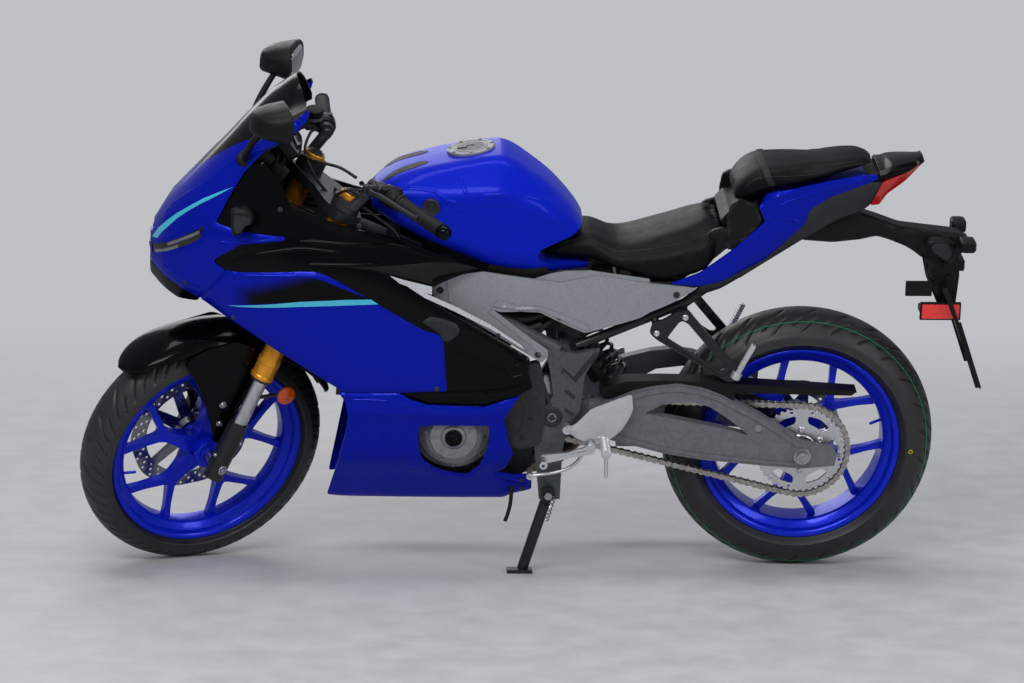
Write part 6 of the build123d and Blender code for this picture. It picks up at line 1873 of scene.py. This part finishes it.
# Hoses and cables, fixed at both ends between pieces of the bike
bm = bmesh.new()
for path, radius in (
        ([root_at + Vector((-4, 2, -4)), (-1086, -150, 985), (-1108, -120, 968), (-1104, -84, 930),
          (-1070, -66, 880)], 3.2),
        ([on_bar(20) + Vector((-8, 8, -10)), (-1040, -108, 940), (-1062, -92, 915), (-1088, -64, 890)], 3.0),
        ([(-1076, -128, 1002), (-1106, -96, 1018), (-1142, -40, 1012), (-1136, 30, 990), (-1096, 60, 950)],
         3.6),
        ([(-1060, 132, 992), (-1092, 96, 1004), (-1126, 44, 990), (-1120, 0, 950), (-1092, -20, 905)], 3.4),
        ([(-1078, 124, 1006), (-1120, 106, 1010), (-1150, 92, 960), (-1160, 88, 880), (-1180, 96, 760),
          (-1246, 96, 560), (-1290, 84, 420), (-1280, 78, 384)], 3.4)):
    tube(bm, path, radius, 10, count=60)
place("hoses_on_bars", bm, "steering", RUBBER)

bm = bmesh.new()
for path, radius in (
        ([(-1024, -118, 905), (-1000, -128, 900), (-970, -136, 880), (-930, -146, 850), (-915, -152, 813)],
         3.4),
        ([(-1090, -70, 840), (-1150, -96, 850), (-1200, -104, 880), (-1216, -98, 930), (-1204, -70, 975)],
         5.0),
        ([(-1090, 60, 840), (-1160, 84, 850), (-1210, 92, 890), (-1214, 84, 940), (-1200, 60, 980)], 5.0)):
    tube(bm, path, radius, 10, count=50)
lathe(bm, [(CORE, 6), (5, 6), (6.5, 3), (6.5, -3), (5, -5), (CORE, -5)], Vector((-915, -153, 810)),
      (0, -0.6, 0.8), 16, closed=False)
place("harness_runs", bm, "root", RUBBER)

# Instruments behind the screen
bm = bmesh.new()
dash = frame_at((-1178, 0, 1030), (0.8, 0, 0.6))
shape = rounded([(-84, -40), (-84, 20), (-56, 44), (56, 44), (84, 20), (84, -40), (50, -46), (-50, -46)], 14,
                4)
loft(bm, [[dash @ Vector((x * k, y * k, z)) for x, y in shape]
          for z, k in ((-17, 0.86), (-11, 0.97), (8, 1.0), (12, 0.985), (12, 0.92), (9, 0.9))])
place("dash_housing", bm, "root", PLASTIC, ["instrument_panel"], sharp=45)

bm = bmesh.new()
loft(bm, [[dash @ Vector((x * k, y * k, z)) for x, y in shape]
          for z, k in ((6, 0.89), (10.5, 0.89), (11.4, 0.87))])
place("dash_glass", bm, "root", DARK_GLASS, sharp=45)

bm = bmesh.new()
for side in (-1, 1):
    for x, z, w, h in ((-1222, 1000, 34, 44), (-1196, 968, 40, 50), (-1206, 925, 30, 34)):
        m = Matrix.Translation((x, side * 100, z)) @ Matrix.Rotation(math.radians(38), 4, "Y")
        box_at(bm, m, (w, 26, h))
bar(bm, (-1200, -112, 960), (-1200, 112, 960), 7, segments=12)
place("cockpit_boxes", bm, "root", PLASTIC, bevel=3.5)

# ---- tail hanger, lamps and reflectors -----------------------------------------------------------
arm = [(-12, 797), (-12, 821), (30, 843), (70, 862), (112, 877), (122, 863), (164, 849), (210, 832),
       (278, 824), (340, 817), (372, 800), (366, 790), (360, 770), (330, 752), (284, 750), (264, 757),
       (247, 771), (224, 785), (189, 799), (159, 808), (121, 799), (60, 792)]
bm = bmesh.new()
for side in (-1, 1):
    domed_plate(bm, arm, 8, 5, 0, side * 20, side * 9, 9)
open_middle(bm)
bmesh.ops.remove_doubles(bm, verts=bm.verts[:], dist=0.02)
for x0, z0, x1, z1 in ((20, 822, 110, 858), (150, 838, 220, 814), (240, 806, 330, 796)):
    bar(bm, (x0, -28, z0), (x1, -28, z1), 2.4, segments=8)
    bar(bm, (x0, 28, z0), (x1, 28, z1), 2.4, segments=8)
place("hanger_arm", bm, "root", PLASTIC, ["plate_hanger"], sharp=35)

bracket = [(268, 762), (345, 772), (352, 720), (350, 688), (346, 636), (332, 622), (304, 650), (282, 700)]
bm = bmesh.new()
for y in (-26, 20):
    slab(bm, bracket, y, y + 6, step=18, round_by=6)
slab(bm, [(306, 658), (340, 690), (349, 688), (344, 640), (330, 626)], -25, 25, step=14, round_by=3)
bar(bm, (318, -40, 748), (318, 40, 748), 7, segments=14, cap=1)
bar(bm, (326, -36, 712), (326, 36, 712), 6, segments=14, cap=1)
place("hanger_bracket", bm, "root", PLASTIC, bevel=0.8)

bm = bmesh.new()
near = rounded([(262, 806), (284, 816), (318, 812), (338, 798), (342, 770), (326, 748), (304, 758),
                (272, 782)], 14, 4)
near_middle = (304.0, 784.0)
scaled_loft(bm, near, near_middle, ((-33, 0.9), (-42, 1.0), (-52, 0.94), (-58, 0.7)))
bar(bm, (352, -30, 796), (352, -56, 800), 9, segments=16)
body = rounded([(-17, -14), (-17, 14), (17, 14), (17, -14)], 7, 4)
for side in (-1, 1):
    loft(bm, [[Vector((358 + x * s, side * y, 806 + z * s)) for x, z in body]
              for y, s in ((52, 0.7), (56, 0.95), (70, 1.0), (92, 0.98), (102, 0.8))])
bar(bm, (352, 30, 796), (352, 56, 800), 9, segments=16)
place("rear_indicator_housings", bm, "root", PLASTIC, sharp=60)

bm = bmesh.new()
scaled_loft(bm, near, near_middle, ((-50, 0.62), (-58.6, 0.6), (-59.6, 0.5)))
place("hanger_near_cap", bm, "root", DARK_PLASTIC, sharp=50)

bm = bmesh.new()
for side in (-1, 1):
    loft(bm, [[Vector((x, side * (79 + y * 0.86), 806 + z * 0.7))
               for y, z in [(p[0] * 1.2, p[1]) for p in body]] for x in (372, 375.4)])
place("rear_indicator_lenses", bm, "root", SMOKED_AMBER, ["indicators"], bevel=0.6)

bm = bmesh.new()
block(bm, (261, 354), (-66, -58), (622, 664))
block(bm, (262, 300), (-62, -20), (634, 648))
block(bm, (226, 286), (-62, -54), (678, 713))
bar(bm, (256, -56, 696), (300, -24, 712), 4)
bar(bm, (308, -58, 644), (322, -26, 668), 4)
block(bm, (346, 362), (-24, 24), (726, 752))
place("reflector_carriers", bm, "root", PLASTIC, bevel=1.2)

bm = bmesh.new()
block(bm, (265, 350), (-68.4, -65), (626, 660))
place("side_reflector", bm, "root", BRIGHT_REFLECTOR, bevel=1.0)

bm = bmesh.new()
block(bm, (361, 364), (-20, 20), (729, 749))
place("plate_lamp", bm, "root", CLEAR_LENS, bevel=0.6)

bm = bmesh.new()
low, high = Vector((407, 0, 465)), Vector((318, 0, 704))
rows = []
for t, thick in ((0.0, 3.0), (0.5, 6.0), (0.86, 10.0), (1.0, 11.0)):
    c = low.lerp(high, t)
    half = 91.0 if t < 0.95 else 78
    rows.append([c + Vector((-thick, -half, -thick * 0.37)), c + Vector((-thick, half, -thick * 0.37)),
                 c + Vector((-0.1, half, 0)), c + Vector((-0.1, -half, 0))])
loft(bm, rows)
place("plate_backing", bm, "root", PLASTIC, bevel=0.8)

bm = bmesh.new()
low, high = Vector((405, 0, 469)), Vector((348, 0, 624))
lean_out = Vector((0.938, 0, 0.347))
rows = []
for t in (0.0, 0.03, 0.97, 1.0):
    c, half = low.lerp(high, t), 84.0 if 0 < t < 1 else 80.0
    rows.append([c + Vector((0, -half, 0)), c + Vector((0, half, 0)),
                 c + lean_out * 1.8 + Vector((0, half, 0)), c + lean_out * 1.8 + Vector((0, -half, 0))])
loft(bm, rows)
place("plate_blank", bm, "root", PLATE, ["number_plate"], bevel=0.3)

bm = bmesh.new()
for side_of in (-1, 1):
    slab(bm, [(394, 467), (407, 469), (352, 626), (340, 621)], side_of * 89 - 2.4, side_of * 89 + 2.4,
         step=30, round_by=2)
place("plate_side_rails", bm, "root", PLASTIC, bevel=0.8)

# ---- footrests, pedals and rear brackets ---------------------------------------------------------
bm = bmesh.new()
heel = [(-545, 388), (-520, 400), (-487, 436), (-462, 447), (-395, 474), (-391, 436), (-401, 411),
        (-417, 384), (-455, 352), (-480, 350), (-520, 366)]
domed_plate(bm, heel, 8, 5, -155, -158, -2.4, 7)
for x, z in ((-524, 383), (-466, 366), (-536, 392)):
    hex_bolt(bm, Vector((x, -160, z)), (0, -1, 0), 5.4, 5)
bar(bm, (-540, -156, 384), (-540, -133, 384), 10, segments=20)
mirror_y(bm)
place("heel_plates", bm, "root", ALLOY, ["rider_footrests"], sharp=35)

bm = bmesh.new()
rows = [(0.5, 0), (10, 0), (11.5, 2)]
for k in range(13):
    rows += [(11.6, 8 + k * 6), (11.6, 11 + k * 6), (10.2, 11.8 + k * 6), (10.2, 13.2 + k * 6)]
rows += [(12, 89), (12, 92), (9, 94), (0.5, 94)]
lathe(bm, rows, (-455, -156, 362), (0, -1, 0), 24, closed=False)
bar(bm, (-454, -229, 352), (-453, -231, 300), 4.2, segments=12, cap=1.5)
mirror_y(bm)
place("rider_pegs", bm, "root", ALLOY, sharp=40)

bm = bmesh.new()
slab(bm, [(-498, 350), (-486, 366), (-474, 352), (-478, 334), (-540, 322), (-590, 310), (-602, 318),
          (-598, 330), (-540, 336)], -175, -166, holes=[[(-500, 340), (-492, 344), (-540, 331), (-580, 321)]],
     step=16, round_by=4)
lathe(bm, [(3.5, 0), (9, 0), (9, 46), (7.5, 47), (3.5, 47)], Vector((-594, -168, 320)), (0, -1, 0), 20)
bar(bm, (-486, -160.5, 349), (-486, -176, 349), 9, segments=18, cap=1)
mirror_y(bm)
place("foot_levers", bm, "root", ALLOY, ["foot_controls"], bevel=0.8)

bm = bmesh.new()
tube(bm, [(-490, -150, 344), (-520, -149, 300), (-560, -150, 280), (-622, -150, 270)], 4.0, 10, count=30)
for x, z in ((-490, 344), (-622, 270)):
    lathe(bm, [(3, -6), (8, -6), (8, 6), (3, 6)], Vector((x, -150, z)), (0, 1, 0), 18)
bar(bm, (-622, -150, 270), (-622, -112, 270), 6, segments=14)
bar(bm, (-490, -150, 344), (-490, -158, 346), 5, segments=14)
place("shift_linkage", bm, "root", ALLOY)

bm = bmesh.new()
outline = [(-296, 664), (-272, 668), (-258, 650), (-150, 522), (-152, 500), (-178, 496), (-340, 596),
           (-358, 612), (-350, 640), (-330, 642)]
hole = [(-290, 640), (-276, 640), (-182, 528), (-196, 522), (-318, 600)]
slab(bm, outline, -136, -129, holes=[hole], step=14, round_by=7)
inner_hole = [(-300, 646), (-270, 652), (-168, 524), (-190, 508), (-334, 600)]
slab(bm, outline, -139, -135.5, holes=[inner_hole], step=14, round_by=7)
for a, b in (((-281, -129, 655), (-281, -108, 667)), ((-340, -129, 618), (-346, -110, 640))):
    bar(bm, a, b, 9, segments=18)
mirror_y(bm)
place("pillion_brackets", bm, "root", FRAME, ["pillion_footrests"], bevel=1.2)

bm = bmesh.new()
for x, z in ((-278, 650), (-342, 612)):
    hex_bolt(bm, Vector((x, -139, z)), (0, -1, 0), 6.4, 5)
box_frame = frame_at((-160, -137, 510), (38, -6, 76))
for k in range(12):
    box_at(bm, box_frame @ Matrix.Translation((0, 0, 14 + k * 6.2)), (19 - k * 0.45, 12, 4.2))
box_at(bm, box_frame @ Matrix.Translation((0, 0, 44)), (14, 9, 84))
lathe(bm, [(CORE, -6), (12, -6), (13, -4), (13, 10), (10, 12), (CORE, 12)], Vector((-160, -136, 510)),
      (0.45, -0.07, 0.9), 20, closed=False)
mirror_y(bm)
place("pillion_pegs", bm, "root", ALLOY, bevel=0.8)

# Swingarm bolts and the axle's chain adjusters
bm = bmesh.new()
for side in (-1, 1):
    hex_bolt(bm, Vector((-103, side * 130, 381)), (0, side, 0), 7, 6)
    hex_bolt(bm, Vector((-440, side * 130, 442)), (0, side, 0), 6, 5)
    lathe(bm, [(9, 0), (19, 0), (20, 1.5), (20, 4), (9, 4)], Vector((0, side * 130.2, 314)), (0, side, 0), 32)
    lathe(bm, [(CORE, 19), (9, 19), (10, 17.4), (13.8, 17.4), (14, 15), (14, 4), (CORE, 4)],
          Vector((0, side * 130.2, 314)), (0, side, 0), 6, closed=False)
    bar(bm, (62, side * 117, 312), (92, side * 117, 311), 4, segments=12)
    hex_bolt(bm, Vector((84, side * 117, 311)), (1, 0, 0), 6, 5)
    hex_bolt(bm, Vector((-574, side * 132, 408)), (0, side, 0), 13, 8)
place("swingarm_bolts", bm, "root", STEEL, sharp=30)

bm = bmesh.new()
ridge_top = [(-486, 438), (-457, 438), (-398, 462), (-340, 477), (-291, 483), (-238, 475), (-192, 458),
             (-99, 408), (-29, 362), (0, 341), (-10, 336), (-104, 398), (-197, 448), (-240, 464), (-291, 471),
             (-338, 466), (-396, 451), (-452, 428), (-484, 428)]
slab(bm, ridge_top, -133.5, -129.6, step=16, round_by=3)
slab(bm, [(-480, 372), (-416, 352), (-324, 327), (-232, 311), (-94, 297), (-6, 290), (-6, 297), (-94, 305),
          (-232, 320), (-324, 336), (-414, 361), (-478, 382)], -133.0, -129.6, step=16, round_by=2)
mirror_y(bm)
place("swingarm_ribs", bm, "root", SWINGARM, bevel=1.2)

# Engine bay: hoses, starter and heads seen through the openings
bm = bmesh.new()
for path, radius in (([(-1040, -90, 612), (-1000, -104, 630), (-960, -100, 612), (-930, -92, 590)], 15),
                     ([(-700, -110, 520), (-690, -112, 560), (-650, -112, 600), (-600, -104, 620)], 9),
                     ([(-640, -104, 560), (-600, -106, 610), (-560, -104, 640), (-500, -104, 650)], 7),
                     ([(-700, -92, 640), (-650, -98, 630), (-600, -92, 640), (-560, -80, 660)], 11),
                     ([(-661, -112, 240), (-664, -112, 190), (-670, -110, 160), (-676, -110, 142)], 4.5)):
    tube(bm, path, radius, 14, count=40)
place("engine_hoses", bm, "root", RUBBER)

bm = bmesh.new()
block(bm, (-700, -560), (-92, 92), (600, 672))
block(bm, (-480, -330), (-84, 84), (640, 700))
for k in range(6):
    block(bm, (-860, -700), (-96, 96), (500 + k * 14, 505 + k * 14))
place("airbox_and_battery", bm, "root", PLASTIC, bevel=5.0)


def coil(bm, frame, radius, wire, turns, per_turn, start, length, sides, count):
    """A spring wound about a frame's z, from start over a length."""
    steps = turns * per_turn
    path = []
    for k in range(steps + 1):
        a = 2 * math.pi * k / per_turn
        path.append(frame @ Vector((radius * math.cos(a), radius * math.sin(a), start + length * k / steps)))
    tube(bm, path, wire, sides, count=count)


bm = bmesh.new()
low, high = Vector((-424, 0, 462)), Vector((-490, 0, 562))
coil(bm, frame_at(low, high - low), 31, 4.6, 6, 18, 0, (high - low).length, 8, 108)
place("shock_spring", bm, "root", FRAME)

# Side stand details
bm = bmesh.new()
foot = Vector((-638.5, -153.6, 34.3))
pivot = Vector((-580, -148, 226))
along = (foot - pivot).normalized()
lathe(bm, [(CORE, 6), (8, 6), (9.5, 4), (9.5, -4), (8, -6), (CORE, -6)], pivot + Vector((0, -14, 0)),
      (0, 1, 0), 20, closed=False)
coil(bm, frame_at(pivot + Vector((16, -4, 4)), along), 6, 1.4, 7, 12, 8, 62, 6, 85)
place("stand_spring", bm, "side_stand", STEEL)

# Ribs on the frame's pivot plate, and its bolt
bm = bmesh.new()
plate_y = -132.0
for outline in ([(-556, 512), (-546, 516), (-522, 492), (-470, 560), (-478, 566), (-526, 504), (-550, 526)],
                [(-548, 470), (-542, 474), (-520, 456), (-524, 450)],
                [(-548, 424), (-543, 429), (-524, 416), (-528, 410)],
                [(-604, 505), (-597, 506), (-575, 440), (-575, 400), (-582, 400), (-582, 438)]):
    slab(bm, outline, plate_y - 1.8, plate_y + 2, step=14, round_by=2)
for side_of in (-1, 1):
    lathe(bm, [(CORE, 8), (9, 8), (10, 6), (13, 6), (14, 4), (22, 4), (24, 2), (24, -3)],
          Vector((-574, side_of * 132.0, 408)), (0, side_of, 0), 32, closed=False)
place("pivot_plate_ribs", bm, "root", CAST, bevel=0.8, sharp=35)

bm = bmesh.new()
slab(bm, [(-190, 806), (-191, 866), (-186, 879), (-150, 882), (-128, 886), (-116, 872), (-144, 838),
          (-176, 812)], -114, 114,
     step=30, round_by=5)
for y0, y1 in ((-121, -111), (111, 121)):
    slab(bm, [(-188, 804), (-190, 880), (-184, 912), (-168, 922), (-128, 914), (-112, 874), (-142, 838),
              (-172, 810)],
         y0, y1, step=12, round_by=7)
block(bm, (124, 162), (-58, 58), (940, 966))
for y0, y1 in ((-116, -106), (106, 116)):
    slab(bm, [(-222, 850), (-198, 856), (-172, 846), (-190, 806), (-238, 764), (-290, 732), (-298, 752),
              (-252, 822)],
         y0, y1, step=14, round_by=7)
for y0, y1 in ((-117, -108), (108, 117)):
    slab(bm, [(-722, 766), (-640, 768), (-589, 759), (-588, 728), (-722, 727)], y0, y1, step=24, round_by=3)
for y0, y1 in ((-82, -74), (74, 82)):
    slab(bm, [(-872, 824), (-812, 822), (-806, 780), (-868, 778)], y0, y1, step=24, round_by=3)
place("seat_side_fill", bm, "root", PLASTIC, bevel=3.0, sharp=50)


# ---- finish on the solids that are shown as they are ---------------------------------------------
FINISH = {
    "swingarm": SWINGARM, "side_stand": FRAME, "rear_axle": STEEL, "rear_shock": FRAME, "main_frame": PIVOT,
    "engine_block": ENGINE, "front_sprocket": STEEL, "fork_clamps": CAST, "fork_feet": FRAME,
    "front_axle": STEEL, "clip_ons": CAST, "front_caliper": CAST, "subframe": FRAME, "fairing_stay": FRAME,
    "panel_brackets": FRAME, "chain_guard": PLASTIC, "rear_caliper": CAST,
}
EASE = {"swingarm": 3.0, "engine_block": 4.0, "main_frame": 1.5, "front_caliper": 4.0, "rear_caliper": 3.0,
        "fork_clamps": 2.5}
for node, material in FINISH.items():
    obj = frame["nodes"][node]
    for slot in obj.material_slots:
        slot.material = material
    if not obj.material_slots:
        obj.data.materials.append(material)
    mod = obj.modifiers.new("edges", "BEVEL")
    mod.width = EASE.get(node, 1.0) * MM
    mod.segments = 2
    mod.limit_method = "ANGLE"
    mod.angle_limit = math.radians(35)

# ---- camera, light and floor --------------------------------------------------------------------
scene = bpy.context.scene
camera_data = bpy.data.cameras.new("camera")
camera_data.lens = 122.32
camera_data.sensor_width = 36.0
camera_data.clip_end = 100.0
camera = bpy.data.objects.new("camera", camera_data)
# Where the photo was taken from, fitted to the wheels, axles, fork and stand
CAMERA_AT = (-0.280065, -7.793426, 1.611105)
ahead = Vector((0.02944888, 0.99028278, -0.13591462)).normalized()
above = Vector((-0.01064433, 0.13627657, 0.99061365))
right = ahead.cross(above).normalized()
above = right.cross(ahead)
camera.matrix_world = (Matrix.Translation(CAMERA_AT)
                       @ Matrix((right, above, -ahead)).transposed().to_4x4())
bpy.context.collection.objects.link(camera)
scene.camera = camera

STUDIO_GREY = (0.52, 0.53, 0.55, 1)


def looked_at(tree):
    """Socket that is 1 on rays from the camera, straight or through glass, and 0 on the rest."""
    rays = tree.nodes.new("ShaderNodeLightPath")
    either = tree.nodes.new("ShaderNodeMath")
    either.operation = "MAXIMUM"
    tree.links.new(rays.outputs["Is Camera Ray"], either.inputs[0])
    tree.links.new(rays.outputs["Is Transmission Ray"], either.inputs[1])
    return either.outputs["Value"]


world = bpy.data.worlds.new("world")
world.use_nodes = True
scene.world = world
nodes, links = world.node_tree.nodes, world.node_tree.links
background = nodes["Background"]
background.inputs["Color"].default_value = (0.55, 0.57, 0.60, 1)
background.inputs["Strength"].default_value = 0.55
backdrop = nodes.new("ShaderNodeBackground")
backdrop.inputs["Color"].default_value = STUDIO_GREY
backdrop.inputs["Strength"].default_value = 1.0
mix = nodes.new("ShaderNodeMixShader")
links.new(looked_at(world.node_tree), mix.inputs["Fac"])
links.new(background.outputs["Background"], mix.inputs[1])
links.new(backdrop.outputs["Background"], mix.inputs[2])
links.new(mix.outputs["Shader"], nodes["World Output"].inputs["Surface"])


def lamp(name, place_at, aim, size, energy, size_y=None):
    """A soft box at a place, turned to what it aims at."""
    data = bpy.data.lights.new(name, "AREA")
    data.shape = "RECTANGLE"
    data.size, data.size_y = size, size_y or size
    data.energy = energy
    obj = bpy.data.objects.new(name, data)
    direction = (Vector(aim) - Vector(place_at)).normalized()
    obj.matrix_world = Matrix.Translation(place_at) @ direction.to_track_quat("-Z", "Y").to_matrix().to_4x4()
    bpy.context.collection.objects.link(obj)


lamp("key", (-1.4, -4.4, 4.0), (0, 0, 0.5), 3.4, 160, 1.6)
lamp("fill", (3.8, -3.6, 2.0), (0.2, 0, 0.5), 1.4, 45, 2.2)
lamp("top", (0.0, -0.3, 4.6), (0, 0, 0.6), 3.6, 62, 0.9)
lamp("back", (-1.0, 3.8, 2.8), (0, 0, 0.6), 2.6, 45)

# Floor, which melts into the backdrop far behind the bike
floor_mesh = bpy.data.meshes.new("floor")
floor_mesh.from_pydata([(-40, -20, 0), (40, -20, 0), (40, 60, 0), (-40, 60, 0)], [], [(0, 1, 2, 3)])
floor = bpy.data.objects.new("floor", floor_mesh)
bpy.context.collection.objects.link(floor)
FLOOR = shader("floor_stone", "C4C4C6", "B8B8BA", rough=(0.6, 0.75), scale=9, bump=0.2, bump_scale=160,
               bump_dist=0.001)
nodes, links = FLOOR.node_tree.nodes, FLOOR.node_tree.links
where = nodes.new("ShaderNodeSeparateXYZ")
links.new(nodes.new("ShaderNodeTexCoord").outputs["Object"], where.inputs["Vector"])
far = nodes.new("ShaderNodeMapRange")
far.interpolation_type = "SMOOTHSTEP"
far.inputs["From Min"].default_value = 0.8
far.inputs["From Max"].default_value = 4.5
links.new(where.outputs["Y"], far.inputs["Value"])
share = nodes.new("ShaderNodeMath")
share.operation = "MULTIPLY"
links.new(looked_at(FLOOR.node_tree), share.inputs[0])
links.new(far.outputs["Result"], share.inputs[1])
pale = nodes.new("ShaderNodeEmission")
pale.inputs["Color"].default_value = STUDIO_GREY
pale.inputs["Strength"].default_value = 1.0
blend = nodes.new("ShaderNodeMixShader")
links.new(share.outputs["Value"], blend.inputs["Fac"])
links.new(nodes["Principled BSDF"].outputs["BSDF"], blend.inputs[1])
links.new(pale.outputs["Emission"], blend.inputs[2])
links.new(blend.outputs["Shader"], nodes["Material Output"].inputs["Surface"])
floor_mesh.materials.append(FLOOR)

scene.view_settings.view_transform = "Standard"
